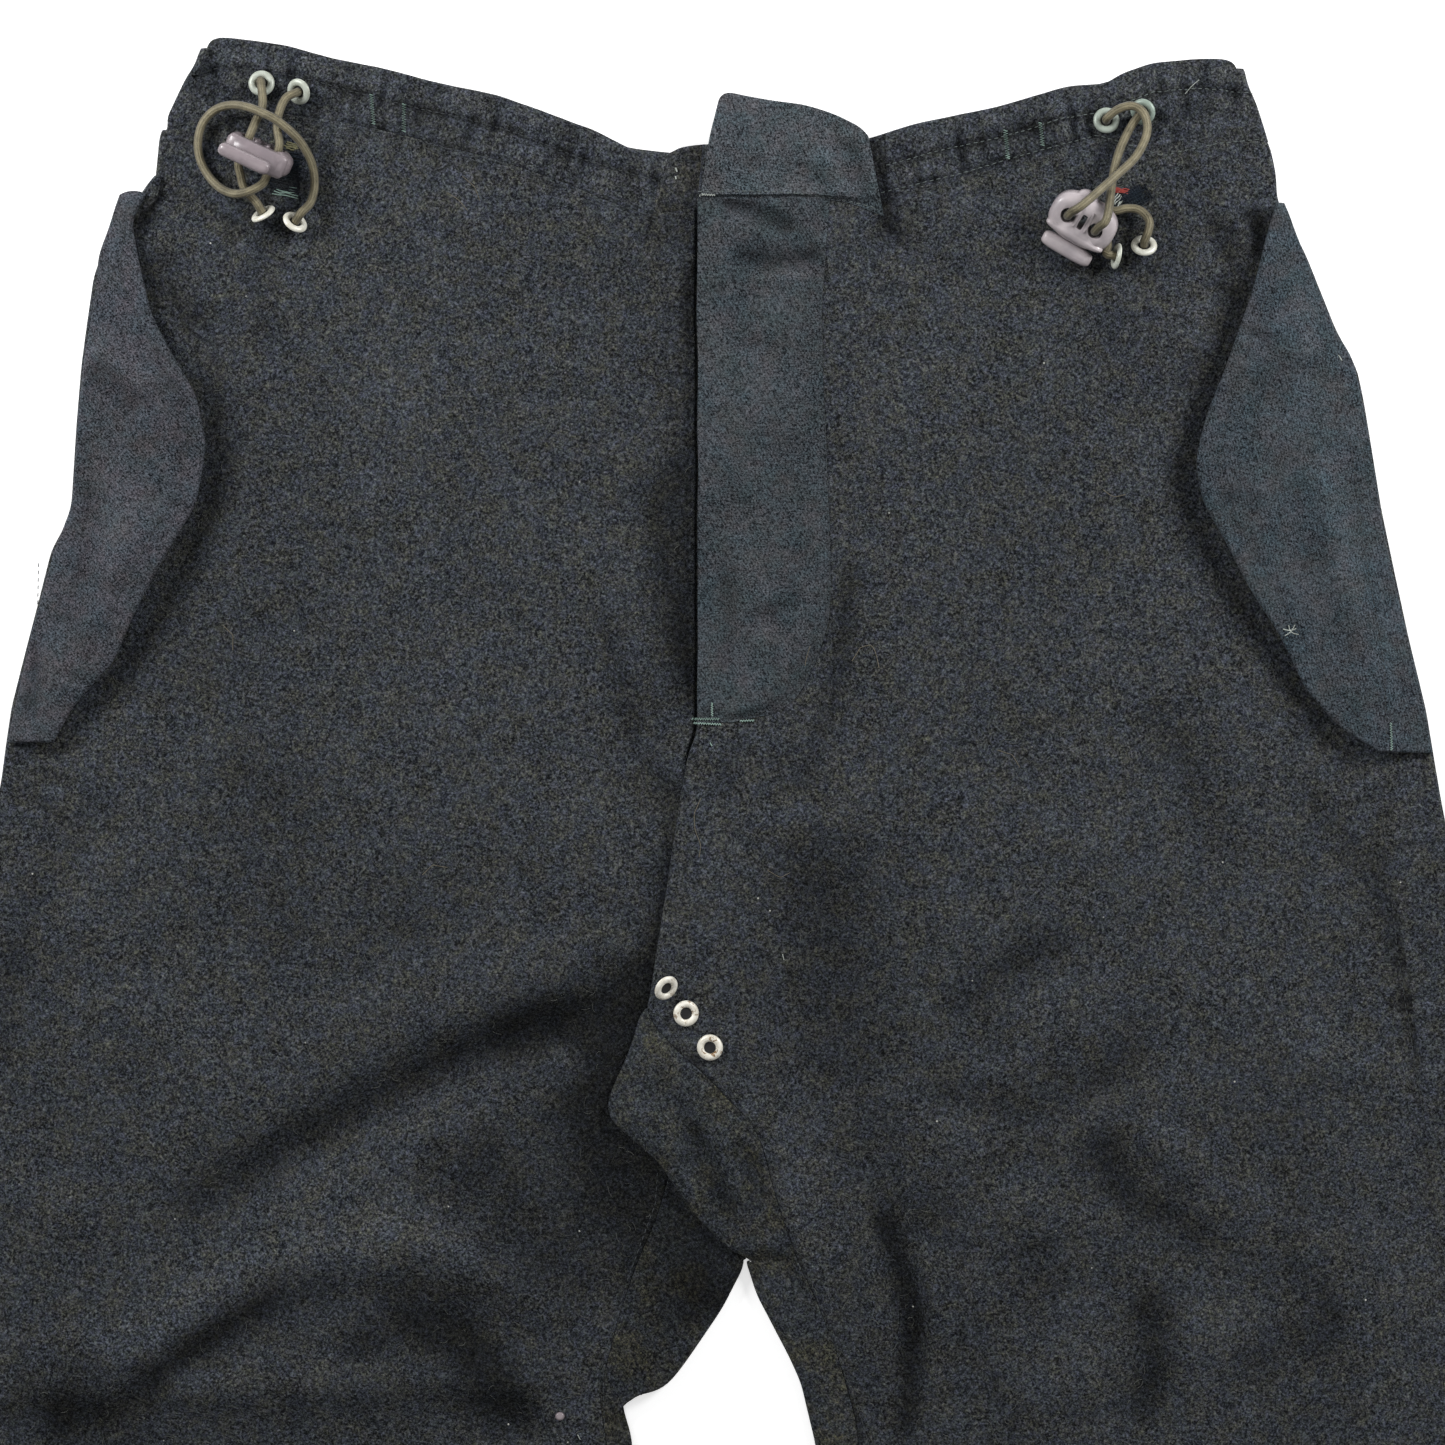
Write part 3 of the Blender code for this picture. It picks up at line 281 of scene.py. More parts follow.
def makeWool(name, look, turn=0.0, patchSize=16.0, brownShare=0.55):
    material, tree, shader = newMaterial(name, look["roughness"], sheen=look["sheen"], gloss=look["gloss"])
    where = tree.nodes.new("ShaderNodeTexCoord").outputs["Object"]
    turned = addNode(tree, "ShaderNodeMapping", {"Vector": where, "Rotation": (0, 0, math.radians(turn))})
    fibres = useGroup(tree, "fibre", Vector=turned.outputs[0])
    clouds = useGroup(tree, "patch", Vector=turned.outputs[0], Size=patchSize)
    specks = useGroup(tree, "speck", Vector=turned.outputs[0])
    grain = noiseAt(tree, turned.outputs[0], 1150.0, 2.0, 0.8)
    mottle = plus(tree, times(tree, fibres.outputs["Melange"], 0.5),
                   times(tree, mapRange(tree, grain, 0.38, 0.68), 0.5))
    mottle = maths(tree, "POWER", mottle, 1.75)
    tone = plus(tree, mottle, times(tree, maths(tree, "SUBTRACT", clouds.outputs["Tone"], 0.5), 0.07))
    colour = blendColour(tree, tone, look["dark"], look["light"])
    brown = times(tree, clouds.outputs["Hue"], brownShare)
    brown = times(tree, brown, mapRange(tree, fibres.outputs["Height"], 0.2, 0.8, 0.35, 1.0))
    colour = blendColour(tree, brown, colour, blendColour(tree, tone, (0.012, 0.011, 0.008), look["brown"]))
    blue = mapRange(tree, clouds.outputs["Hue"], 0.5, 0.0, 0.0, 0.25)
    colour = blendColour(tree, blue, colour, blendColour(tree, tone, (0.009, 0.012, 0.016), look["blue"]))
    dyed = mapRange(tree, noiseAt(tree, turned.outputs[0], 520.0, 3.0, 0.75), 0.38, 0.62)
    colour = blendColour(tree, 1.0, colour, blendColour(tree, dyed, (1.05, 1.05, 0.88), (1.01, 0.96, 1.08)),
                         "MULTIPLY")
    # the tone attribute: random tone, with painted shade and light from creases, seams and streaks
    colour = blendColour(tree, 1.0, colour, plus(tree, attribute(tree, "tone"), 1.0), "MULTIPLY")
    colour = blendColour(tree, specks.outputs["Mask"], colour, look["lint"])
    height = plus(tree, times(tree, fibres.outputs["Height"], 0.7), times(tree, grain, 0.3))
    paint(tree, shader, colour, height, 0.7, look["relief"])
    return material


twillLook = {
    "dark": (0.003, 0.004, 0.006), "light": (0.112, 0.126, 0.142), "brown": (0.082, 0.082, 0.064),
    "roughness": 0.9, "sheen": 0.02, "gloss": 0.1, "relief": 0.42, "rib": 1.3,
}


def makeTwill(name, look, turn=0.0):
    # Worn smooth facing: fine slanting ribs under a thin nap
    material, tree, shader = newMaterial(name, look["roughness"], sheen=look["sheen"], gloss=look["gloss"])
    where = tree.nodes.new("ShaderNodeTexCoord").outputs["Object"]
    turned = addNode(tree, "ShaderNodeMapping", {"Vector": where, "Rotation": (0, 0, math.radians(turn))})
    fibres = useGroup(tree, "fibre", Vector=turned.outputs[0], Fibre_Width=0.4, Fibre_Length=1.6)
    clouds = useGroup(tree, "patch", Vector=turned.outputs[0], Size=22.0)
    apart = addNode(tree, "ShaderNodeSeparateXYZ", {0: turned.outputs[0]})
    slant = plus(tree, apart.outputs[0], times(tree, apart.outputs[1], 0.6))
    rib = maths(tree, "SINE", times(tree, slant, 2000 * math.pi / look["rib"]))
    rib = mapRange(tree, rib, -1.0, 1.0)
    thread = addNode(tree, "ShaderNodeVectorMath", {0: turned.outputs[0], 1: (2300.0, 260.0, 900.0)},
                     operation="MULTIPLY")
    warp = noiseAt(tree, thread.outputs[0], 1.0, 2.0, 0.6)
    thread = addNode(tree, "ShaderNodeVectorMath", {0: turned.outputs[0], 1: (260.0, 2300.0, 900.0)},
                     operation="MULTIPLY")
    weft = noiseAt(tree, thread.outputs[0], 1.0, 2.0, 0.6)
    threads = mapRange(tree, plus(tree, warp, weft), 0.72, 1.28)
    mottle = plus(tree, times(tree, fibres.outputs["Melange"], 0.42),
                   times(tree, threads, 0.42))
    mottle = plus(tree, mottle, times(tree, rib, 0.16))
    grain = noiseAt(tree, turned.outputs[0], 1250.0, 2.0, 0.8)
    mottle = plus(tree, times(tree, mottle, 0.55), times(tree, mapRange(tree, grain, 0.38, 0.66), 0.45))
    mottle = mapRange(tree, mottle, 0.22, 0.80)
    tone = plus(tree, mottle, times(tree, maths(tree, "SUBTRACT", clouds.outputs["Tone"], 0.5), 0.2))
    colour = blendColour(tree, tone, look["dark"], look["light"])
    brown = times(tree, clouds.outputs["Hue"], 0.3)
    colour = blendColour(tree, brown, colour, blendColour(tree, tone, (0.014, 0.014, 0.012), look["brown"]))
    dyed = mapRange(tree, noiseAt(tree, turned.outputs[0], 90.0, 4.0, 0.75), 0.36, 0.64)
    colour = blendColour(tree, 1.0, colour, blendColour(tree, dyed, (0.87, 1.04, 1.07), (1.09, 0.98, 0.98)),
                         "MULTIPLY")
    # the tone attribute: random tone, with painted shade and light from creases, seams and streaks
    colour = blendColour(tree, 1.0, colour, plus(tree, attribute(tree, "tone"), 1.0), "MULTIPLY")
    height = plus(tree, times(tree, threads, 0.6), times(tree, rib, 0.4))
    paint(tree, shader, colour, height, 0.6, look["relief"])
    return material


def makeThread(name, colour):
    material, tree, shader = newMaterial(name, 0.7, sheen=0.1)
    where = tree.nodes.new("ShaderNodeTexCoord").outputs["Object"]
    uneven = noiseAt(tree, where, 900.0, 3.0, 0.6)
    darker = tuple(channel * 0.55 for channel in colour)
    tree.links.new(blendColour(tree, mapRange(tree, uneven, 0.3, 0.65), darker, colour),
                   shader.inputs["Base Color"])
    bump = addNode(tree, "ShaderNodeBump", {"Height": uneven, "Strength": 0.6, "Distance": 0.1 * mm})
    tree.links.new(bump.outputs[0], shader.inputs["Normal"])
    return material


def makeMetal():
    material, tree, shader = newMaterial("eyeletNickel", 0.5, metallic=0.12)
    where = tree.nodes.new("ShaderNodeTexCoord").outputs["Object"]
    dull = noiseAt(tree, where, 320.0, 4.0, 0.6)
    rust = mapRange(tree, noiseAt(tree, where, 430.0, 3.0, 0.7), 0.56, 0.64)
    colour = blendColour(tree, mapRange(tree, dull, 0.35, 0.65), (0.74, 0.70, 0.59), (0.93, 0.91, 0.82))
    colour = blendColour(tree, attribute(tree, "patina"), colour, (0.22, 0.30, 0.26))
    colour = blendColour(tree, times(tree, rust, attribute(tree, "stain")), colour, (0.20, 0.11, 0.035))
    tree.links.new(mapRange(tree, dull, 0.3, 0.7, 0.32, 0.55), shader.inputs["Roughness"])
    paint(tree, shader, colour, dull, 0.25, 0.15)
    return material


def makePlastic(name, dark, light):
    material, tree, shader = newMaterial(name, 0.36)
    shader.inputs["Coat Weight"].default_value = 0.15
    where = tree.nodes.new("ShaderNodeTexCoord").outputs["Object"]
    cloudy = noiseAt(tree, where, 90.0, 3.0, 0.6)
    scuff = mapRange(tree, noiseAt(tree, where, 900.0, 3.0, 0.7), 0.62, 0.75)
    colour = blendColour(tree, mapRange(tree, cloudy, 0.35, 0.65), dark, light)
    colour = blendColour(tree, times(tree, scuff, 0.35), colour, (0.42, 0.36, 0.35))
    # painted shade: darker where the surface turns away from the eye
    grazingShade = addNode(tree, "ShaderNodeLayerWeight", {"Blend": 0.42}).outputs["Facing"]
    colour = blendColour(tree, times(tree, grazingShade, 0.6, True), colour, (0.085, 0.070, 0.082))
    tree.links.new(mapRange(tree, scuff, 0.0, 1.0, 0.34, 0.6), shader.inputs["Roughness"])
    paint(tree, shader, colour, cloudy, 0.15, 0.2)
    return material


def makeCordCover():
    # Braided elastic: two crossing sets of strands, on the cord's own UV map in mm
    material, tree, shader = newMaterial("drawcordBraid", 0.62, sheen=0.15)
    uv = tree.nodes.new("ShaderNodeUVMap")
    uv.uv_map = "UVMap"
    apart = addNode(tree, "ShaderNodeSeparateXYZ", {0: uv.outputs[0]})
    strands = []
    for lean in (1.0, -1.0):
        slant = plus(tree, times(tree, apart.outputs[0], 0.5), times(tree, apart.outputs[1], lean))
        wave = maths(tree, "SINE", times(tree, slant, 2 * math.pi / 0.84))
        strands.append(mapRange(tree, wave, -1.0, 1.0))
    weave = maths(tree, "MAXIMUM", strands[0], strands[1])
    ply = maths(tree, "SINE", times(tree, apart.outputs[1], 2 * math.pi / 1.1))
    weave = plus(tree, times(tree, weave, 0.4), times(tree, mapRange(tree, ply, -1.0, 1.0), 0.6))
    where = tree.nodes.new("ShaderNodeTexCoord").outputs["Object"]
    uneven = noiseAt(tree, where, 260.0, 3.0, 0.6)
    tone = plus(tree, times(tree, weave, 0.5), times(tree, mapRange(tree, uneven, 0.3, 0.7), 0.5))
    colour = blendColour(tree, tone, (0.052, 0.045, 0.022), (0.300, 0.262, 0.160))
    # painted shade: darker towards the cord's sides, where they turn away from the eye
    grazingShade = addNode(tree, "ShaderNodeLayerWeight", {"Blend": 0.5}).outputs["Facing"]
    colour = blendColour(tree, times(tree, grazingShade, 1.0, True), colour, (0.030, 0.025, 0.012))
    paint(tree, shader, colour, weave, 0.7, 0.25)
    return material


finish = {
    "wool": makeWool("wool", woolLook),
    "woolGusset": makeWool("woolGusset", {**woolLook, "light": (0.122, 0.138, 0.156)}, turn=38.0,
                           patchSize=20.0, brownShare=0.8),
    "woolCasing": makeWool("woolCasing", woolLook, turn=12.0, brownShare=0.35),
    "underlap": makeWool("underlapFacing", {**woolLook, "light": (0.132, 0.142, 0.155)}, turn=50.0,
                         brownShare=0.5),
    "twill": makeTwill("facingTwill", twillLook),
    "twillRight": makeTwill("facingTwillRight", {**twillLook, "light": (0.125, 0.130, 0.152)}, turn=-14.0),
    "twillTab": makeTwill("facingTwillTab", {**twillLook, "light": (0.146, 0.164, 0.184)}, turn=6.0),
    "twillLeft": makeTwill("facingTwillLeft", {**twillLook, "light": (0.102, 0.122, 0.143)}, turn=17.0),
    "threadDark": makeThread("threadDark", (0.034, 0.042, 0.046)),
    "threadGreen": makeThread("threadGreen", (0.26, 0.38, 0.33)),
    "threadGrey": makeThread("threadGrey", (0.115, 0.140, 0.136)),
    "threadPale": makeThread("threadPale", (0.46, 0.50, 0.46)),
    "threadRed": makeThread("threadRed", (0.33, 0.04, 0.03)),
    "hair": makeThread("looseHair", (0.16, 0.14, 0.10)),
    "fuzz": makeThread("looseFuzz", (0.095, 0.10, 0.09)),
    "patch": makeTwill("frayedPatch", {**twillLook, "dark": (0.005, 0.007, 0.012),
                                       "light": (0.022, 0.027, 0.036)}),
    # near black for the discs inside the eyelets: painted shadow
    "hole": makeThread("eyeletHoleShadow", (0.006, 0.006, 0.006)),
    "threadKhaki": makeThread("threadKhaki", (0.20, 0.19, 0.10)),
    "metal": makeMetal(),
    # one plastic in two copies: the left lock's is lighter and the right one's darker, as painted light and
    # shade; the leg's stop takes the darker copy
    "plasticRight": makePlastic("plasticRight", (0.225, 0.190, 0.205), (0.315, 0.265, 0.280)),
    "plasticLeft": makePlastic("plasticLeft", (0.43, 0.385, 0.405), (0.58, 0.52, 0.53)),
    "cord": makeCordCover(),
}
print("materials ready")


# Drawcords: the same routes as the solids have, in mm

hardware = {
    "cordDiameter": 3.5, "holeSpacing": 12.4, "eyeletHeight": 1.7,
    "rings": {   # tilt from flat and the way it faces, in degrees
        "eyelet_right_1": (6, 90), "eyelet_right_2": (35, 215), "eyelet_right_3": (62, 120),
        "eyelet_right_4": (50, 50), "eyelet_left_1": (6, 90), "eyelet_left_2": (30, 215),
        "eyelet_left_3": (78, 170), "eyelet_left_4": (35, 90), "eyelet_crotch_1": (40, 215),
        "eyelet_crotch_2": (8, 200), "eyelet_crotch_3": (8, 200),
    },
    "toggles": {   # place across, down and high, then spin and tilt in degrees
        "right": (-184.2, 63.2, 17.9, -25, -75), "left": (143.4, 89.3, 16.8, -30, 26),
    },
    "body": {"length": 28.0, "width": 20.0, "depth": 9.0, "hole": 2.7, "slot": (2.0, 6.0)},
    "button": {"length": 22.0, "width": 6.5, "depth": 5.4, "gap": 0.3,
               "shift": {"right": (-2.6, -1.4), "left": (0, 0)}},   # how far it is pressed aside
}
half = hardware["holeSpacing"] / 2


def tilted(tilt, facing):
    return Matrix.Rotation(math.radians(facing), 4, "Z") @ Matrix.Rotation(math.radians(tilt), 4, "Y")


def ringFrame(name):   # a ring's base, from its solid and its tilt
    turn = tilted(*hardware["rings"][name])
    points = {tuple(round(c, 6) for c in v.co) for v in nodes[name].data.vertices}
    centre = sum((Vector(point) for point in points), Vector()) / len(points)
    meanHeight = hardware["eyeletHeight"] * (0.6 + 1.0 + 0.4) / 5 * mm
    return Matrix.Translation(centre - turn.to_3x3() @ Vector((0, 0, meanHeight))) @ turn


def toggleFrame(side):
    across, down, height, spin, tilt = hardware["toggles"][side]
    turn = Matrix.Rotation(math.radians(spin), 4, "Z") @ Matrix.Rotation(math.radians(tilt), 4, "X")
    return Matrix.Translation(place(across, down, height)) @ turn


def throughToggle(side, x, y, z):
    return toggleFrame(side) @ (Vector((x, y, z)) * mm)


def outOfRing(name, length):
    return ringFrame(name) @ Vector((0, 0, length * mm))


cords = {
    "cord_right_a": {
        "from": "eyelet_right_1", "to": "eyelet_right_3",
        "route": [outOfRing("eyelet_right_1", 0.4), outOfRing("eyelet_right_1", 4.4),
                  place(-183.3, 38, 14.2),
                  place(-183.2, 44, 14.8), place(-185.6, 50, 16.8), throughToggle("right", -half, 0, 6.5),
                  throughToggle("right", -half, 0, 0), throughToggle("right", -half, 0, -6.5),
                  place(-191.9, 71, 14.4), place(-190.4, 76.5, 13.6), outOfRing("eyelet_right_3", 6),
                  outOfRing("eyelet_right_3", 3.2), outOfRing("eyelet_right_3", 0.6)]},
    "cord_right_b": {
        "from": "eyelet_right_2", "to": "eyelet_right_4",
        "route": [outOfRing("eyelet_right_2", 0.6), outOfRing("eyelet_right_2", 3), place(-174, 40.4, 13.6),
                  place(-176.4, 46, 15), place(-177, 52.4, 17.6), throughToggle("right", half, 0, 6.5),
                  throughToggle("right", half, 0, 0), throughToggle("right", half, 0, -6.5),
                  place(-183, 75, 17.2), place(-188.6, 78.2, 18.2), place(-194.2, 78.8, 16.8),
                  place(-200.2, 76, 13.4), place(-205.4, 70.4, 10.4), place(-208.6, 64, 9.3),
                  place(-209.4, 56.8, 9.3), place(-207.4, 49.6, 9.6), place(-202.2, 44.6, 11.4),
                  place(-195.4, 43.2, 14.6), place(-189, 44.4, 17.8), place(-183, 46.8, 19.6),
                  place(-177, 50, 20.6), place(-171.4, 54.4, 19), place(-167.4, 58.8, 15.6),
                  place(-163.8, 66, 11.4), place(-162.8, 74, 9.7), place(-164.2, 81.4, 11.2),
                  outOfRing("eyelet_right_4", 6), outOfRing("eyelet_right_4", 3.2),
                  outOfRing("eyelet_right_4", 0.6)]},
    "cord_left_a": {
        "from": "eyelet_left_1", "to": "eyelet_left_4",
        "route": [outOfRing("eyelet_left_1", 0.4), outOfRing("eyelet_left_1", 4.2),
                  place(157.6, 44.8, 14.4),
                  place(163, 43.6, 15), place(167.4, 46.4, 16), place(169, 52.4, 16.2),
                  place(167.4, 58.6, 17.2),
                  place(163.4, 65.2, 19.6), place(156.6, 71.8, 23),
                  throughToggle("left", -half + 3, 9.5, 11),
                  throughToggle("left", -half + 0.6, 4.2, 10.2), throughToggle("left", -half, 0.6, 6.6),
                  throughToggle("left", -half, 0, 3), throughToggle("left", -half, 0, -3),
                  throughToggle("left", -half + 0.2, 0.6, -6.6), place(142.4, 81.2, 9.4),
                  place(147, 80.8, 9.1),
                  place(152, 83.2, 9.3), place(156.4, 84.8, 9.7), place(161.4, 83.8, 10),
                  place(166.6, 84.6, 10.4),
                  place(170, 88.8, 12.2), place(169.6, 93.2, 14), outOfRing("eyelet_left_4", 3.4),
                  outOfRing("eyelet_left_4", 0.6)]},
    "cord_left_b": {
        "from": "eyelet_left_2", "to": "eyelet_left_3",
        "route": [outOfRing("eyelet_left_2", 0.6), outOfRing("eyelet_left_2", 2.8),
                  place(162.4, 52.2, 12.8),
                  place(158.6, 60, 13.8), place(156.4, 66.8, 15.6), place(155, 73, 17.8),
                  throughToggle("left", half + 1.2, 9.5, 10.6), throughToggle("left", half + 0.4, 4.2, 9.8),
                  throughToggle("left", half, 0.6, 6.6), throughToggle("left", half, 0, 3),
                  throughToggle("left", half, 0, -3), throughToggle("left", half + 0.2, 0, -6.4),
                  throughToggle("left", 9.2, -1.4, -8.2), throughToggle("left", 12.4, -4.4, -7.1),
                  place(153.8, 99.8, 10.2), outOfRing("eyelet_left_3", 4.6),
                  outOfRing("eyelet_left_3", 2.6),
                  outOfRing("eyelet_left_3", 0.4)]},
}


def smoothRoute(points, spacing):   # even points on a smooth curve through the route's own
    places = [2 * points[0] - points[1]] + list(points) + [2 * points[-1] - points[-2]]
    fine = []
    for i in range(1, len(places) - 2):
        before, start, end, after = places[i - 1:i + 3]
        for step in range(12):
            t = step / 12
            bend = (2 * before - 5 * start + 4 * end - after) * t * t
            twist = (3 * start - before - 3 * end + after) * t ** 3
            fine.append(0.5 * (2 * start + (end - before) * t + bend + twist))
    fine.append(places[-2])
    line = np.array(fine)
    long = np.linalg.norm(np.diff(line, axis=0), axis=1).sum()
    count = max(4, round(long / spacing))
    return resample(line, np.linspace(0, 1, count + 1)), long


def resample(line, shares):   # points at these shares of a line's length
    steps = np.linalg.norm(np.diff(line, axis=0), axis=1)
    walked = np.concatenate(([0.0], np.cumsum(steps))) / steps.sum()
    return np.stack([np.interp(shares, walked, line[:, axis]) for axis in range(3)], axis=-1)


def tube(line, radius, sides, vertices, faces, uvs=None):   # adds a capped round tube along a line
    line = np.asarray(line, float)
    ahead = np.gradient(line, axis=0)
    ahead /= np.linalg.norm(ahead, axis=1)[:, None]
    up = np.array((0.0, 0.0, 1.0)) if abs(ahead[0][2]) < 0.8 else np.array((1.0, 0.0, 0.0))
    start = len(vertices)
    walked = 0.0
    for i, (centre, way) in enumerate(zip(line, ahead)):
        up = up - way * up.dot(way)
        up /= np.linalg.norm(up)
        across = np.cross(way, up)
        if i:
            walked += np.linalg.norm(centre - line[i - 1])
        for side in range(sides):
            turn = 2 * math.pi * side / sides
            vertices.append(tuple(centre + (up * math.cos(turn) + across * math.sin(turn)) * radius))
            if i:
                last = start + (i - 1) * sides
                follow = (side + 1) % sides
                faces.append((last + side, last + sides + side, last + sides + follow, last + follow))
                if uvs is not None:
                    step = walked - np.linalg.norm(centre - line[i - 1])
                    around = 2 * math.pi * radius / sides
                    uvs.append([(step, side * around), (walked, side * around),
                                (walked, (side + 1) * around), (step, (side + 1) * around)])
    first = tuple(range(start, start + sides))
    last = tuple(range(len(vertices) - sides, len(vertices)))[::-1]
    for cap in (first, last):
        faces.append(cap)
        if uvs is not None:
            uvs.append([(0, 0)] * sides)


def meshObject(name, vertices, faces, material, uvs=None):
    mesh = bpy.data.meshes.new(name)
    mesh.from_pydata([tuple(v) for v in vertices], [], faces)
    if uvs is not None:
        layer = mesh.uv_layers.new(name="UVMap")
        flat = [coordinate / mm for face in uvs for corner in face for coordinate in corner]
        layer.data.foreach_set("uv", flat)
    mesh.materials.append(material)
    mesh.shade_smooth()
    mesh.set_sharp_from_angle(angle=math.radians(60))
    return addObject(name, mesh)


def makeCords():
    radius = hardware["cordDiameter"] / 2 * mm
    for name, cord in cords.items():
        line, long = smoothRoute(cord["route"], 1.2 * mm)
        vertices, faces, uvs = [], [], []
        tube(line, radius, 14, vertices, faces, uvs)
        piece = meshObject("drawcord" + name[4:], vertices, faces, finish["cord"], uvs)
        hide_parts(name)
        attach(piece, "root")
        print(f"{name}: {long * 1000:.0f} mm")


makeCords()


# Cloth tools: every sheet is read off its solid, smoothed, then creased along listed lines

def smoothStep(value):
    value = np.clip(value, 0.0, 1.0)
    return value * value * (3 - 2 * value)


def grown(value, start, width):   # 0 before a start, 1 past its width
    return smoothStep((value - start) / width)


def readSolid(node, lean=0.35, facing=1, low=-1.0, high=99.0):   # a solid's faces that look up, or down
    build = bmesh.new()
    build.from_mesh(nodes[node].data)
    bmesh.ops.remove_doubles(build, verts=build.verts, dist=0.02 * mm)
    build.normal_update()
    faces = {f for f in build.faces
             if f.normal.z * facing > lean and low * mm < f.calc_center_median().z < high * mm}
    return build, faces


def fourSides(node, corners, lean=0.35, facing=1, low=-1.0, high=99.0):   # a sheet's edges and its surface
    build, faces = readSolid(node, lean, facing, low, high)
    sides = splitSides(outline(faces), corners)
    for face in list(build.faces):
        if face not in faces:
            build.faces.remove(face)
    tree = BVHTree.FromBMesh(build)
    build.free()
    return sides, tree


def outline(faces):   # the longest edge loop of some faces, anticlockwise from above
    follow = {}
    for face in faces:
        for corner in face.loops:
            if not any(other in faces for other in corner.edge.link_faces if other is not face):
                follow[corner.vert] = corner.link_loop_next.vert
    loops = []
    while follow:
        start, here = follow.popitem()
        loop = [start.co.copy()]
        while here is not start and here in follow:
            loop.append(here.co.copy())
            here = follow.pop(here)
        loops.append(loop)
    loop = np.array(max(loops, key=len))
    x, y = loop[:, 0], loop[:, 1]
    area = (x * np.roll(y, -1) - np.roll(x, -1) * y).sum()
    return loop if area > 0 else loop[::-1]


def splitSides(loop, corners):   # left, bottom, right and top edges, between the corners
    at = []
    for corner in corners:
        spot = np.array(place(*corner))[:2]
        at.append(int(np.argmin(np.linalg.norm(loop[:, :2] - spot, axis=1))))
    sides = []
    for start, end in zip(at, at[1:] + at[:1]):
        count = (end - start) % len(loop)
        sides.append(loop[[(start + step) % len(loop) for step in range(count + 1)]])
    return sides


def lengthOf(line):
    return np.linalg.norm(np.diff(line, axis=0), axis=1).sum() / mm


def spread(length, step, rim, coarse=None, change=1.0):   # shares of a length, closer at both rims
    inner = np.arange(rim, length * change, step)
    if coarse:
        inner = np.concatenate((inner, np.arange(length * change, length, coarse)))
    inner = inner[inner < length - rim * 1.2]
    rims = rim * np.array([0.0, 0.08, 0.3, 0.62])
    return np.concatenate((rims, inner, [length - rim], length - rims[::-1])) / length


def relaxLine(line, passes):
    line = line.copy()
    for _ in range(passes):
        line[1:-1] = (line[:-2] + 2 * line[1:-1] + line[2:]) / 4
    return line


def relaxGrid(height, passes):
    for _ in range(passes):
        wide = np.pad(height, 1, mode="edge")
        height = (wide[:-2, 1:-1] + wide[2:, 1:-1] + wide[1:-1, :-2] + wide[1:-1, 2:] + 4 * height) / 8
    return height


def patch(sides, u, v, passes):   # a sheet stretched between four edges
    left, bottom, right, top = sides
    left = relaxLine(resample(left, v), passes)
    right = relaxLine(resample(right[::-1], v), passes)
    top = relaxLine(resample(top[::-1], u), passes)
    bottom = relaxLine(resample(bottom, u), passes)
    u, v = u[None, :, None], v[:, None, None]
    grid = (1 - v) * top[None] + v * bottom[None] + (1 - u) * left[:, None] + u * right[:, None]
    corners = (1 - v) * ((1 - u) * top[0] + u * top[-1]) + v * ((1 - u) * bottom[0] + u * bottom[-1])
    return grid - corners


def layOn(grid, tree, up=1):   # heights where each point of a grid meets the solid
    heights = np.empty(grid.shape[:2])
    for spot in np.ndindex(*heights.shape):
        x, y, z = (float(value) for value in grid[spot])
        hit = tree.ray_cast(Vector((x, y, up)), Vector((0, 0, -up)))[0]
        heights[spot] = hit.z if hit else tree.find_nearest(Vector((x, y, z)))[0].z
    return heights


def acrossDown(grid):
    return grid[..., 0] / mm, centreDown - grid[..., 1] / mm


def alongLine(line, x, y):   # distance to a line of points and the share of the way along it
    best = np.full(x.shape, 1e9)
    share = np.zeros(x.shape)
    walked = 0.0
    for (x0, y0), (x1, y1) in zip(line, line[1:]):
        way, down = x1 - x0, y1 - y0
        long = math.hypot(way, down)
        part = np.clip(((x - x0) * way + (y - y0) * down) / long ** 2, 0, 1)
        distance = np.hypot(x - x0 - part * way, y - y0 - part * down)
        closer = distance < best
        best[closer] = distance[closer]
        share[closer] = (walked + part * long)[closer]
        walked += long
    return best, share / walked


def crease(depth, width, *line, ends=0.22,
           uneven=0.35):   # a ridge, or with a negative depth a trough, in mm
    return {"line": line, "width": width, "depth": depth, "ends": ends, "uneven": uneven}


def creaseHeight(x, y, creases):   # soft ridges and troughs that die out at both ends
    total = np.zeros(x.shape)
    for number, fold in enumerate(creases):
        distance, share = alongLine(fold["line"], x, y)
        ends = smoothStep(share / fold["ends"]) * smoothStep((1 - share) / fold["ends"])
        wander = 1 + fold["uneven"] * np.sin(share * 9.0 + number * 1.7) * np.sin(share * 4.0 + number)
        total += fold["depth"] * ends * wander * np.exp(-(distance / fold["width"]) ** 2)
    return total


def ripples(x, y, seed, shortest, longest, count=12):   # gentle irregular waves, about -1 to 1
    draw = random.Random(seed)
    total = np.zeros(np.shape(x))
    for _ in range(count):
        wave = draw.uniform(shortest, longest)
        angle = draw.uniform(0, math.pi)
        phase = draw.uniform(0, 2 * math.pi)
        travel = x * math.cos(angle) + y * math.sin(angle)
        total += wave / longest * np.sin(2 * math.pi * travel / wave + phase)
    return total / math.sqrt(count)


def seam(*line, groove=0.5, pucker=0.3, reach=5.0, wave=9.0, thread="threadDark"):   # sizes in mm
    return {"line": line, "groove": groove, "pucker": pucker, "reach": reach, "wave": wave,
            "thread": thread}


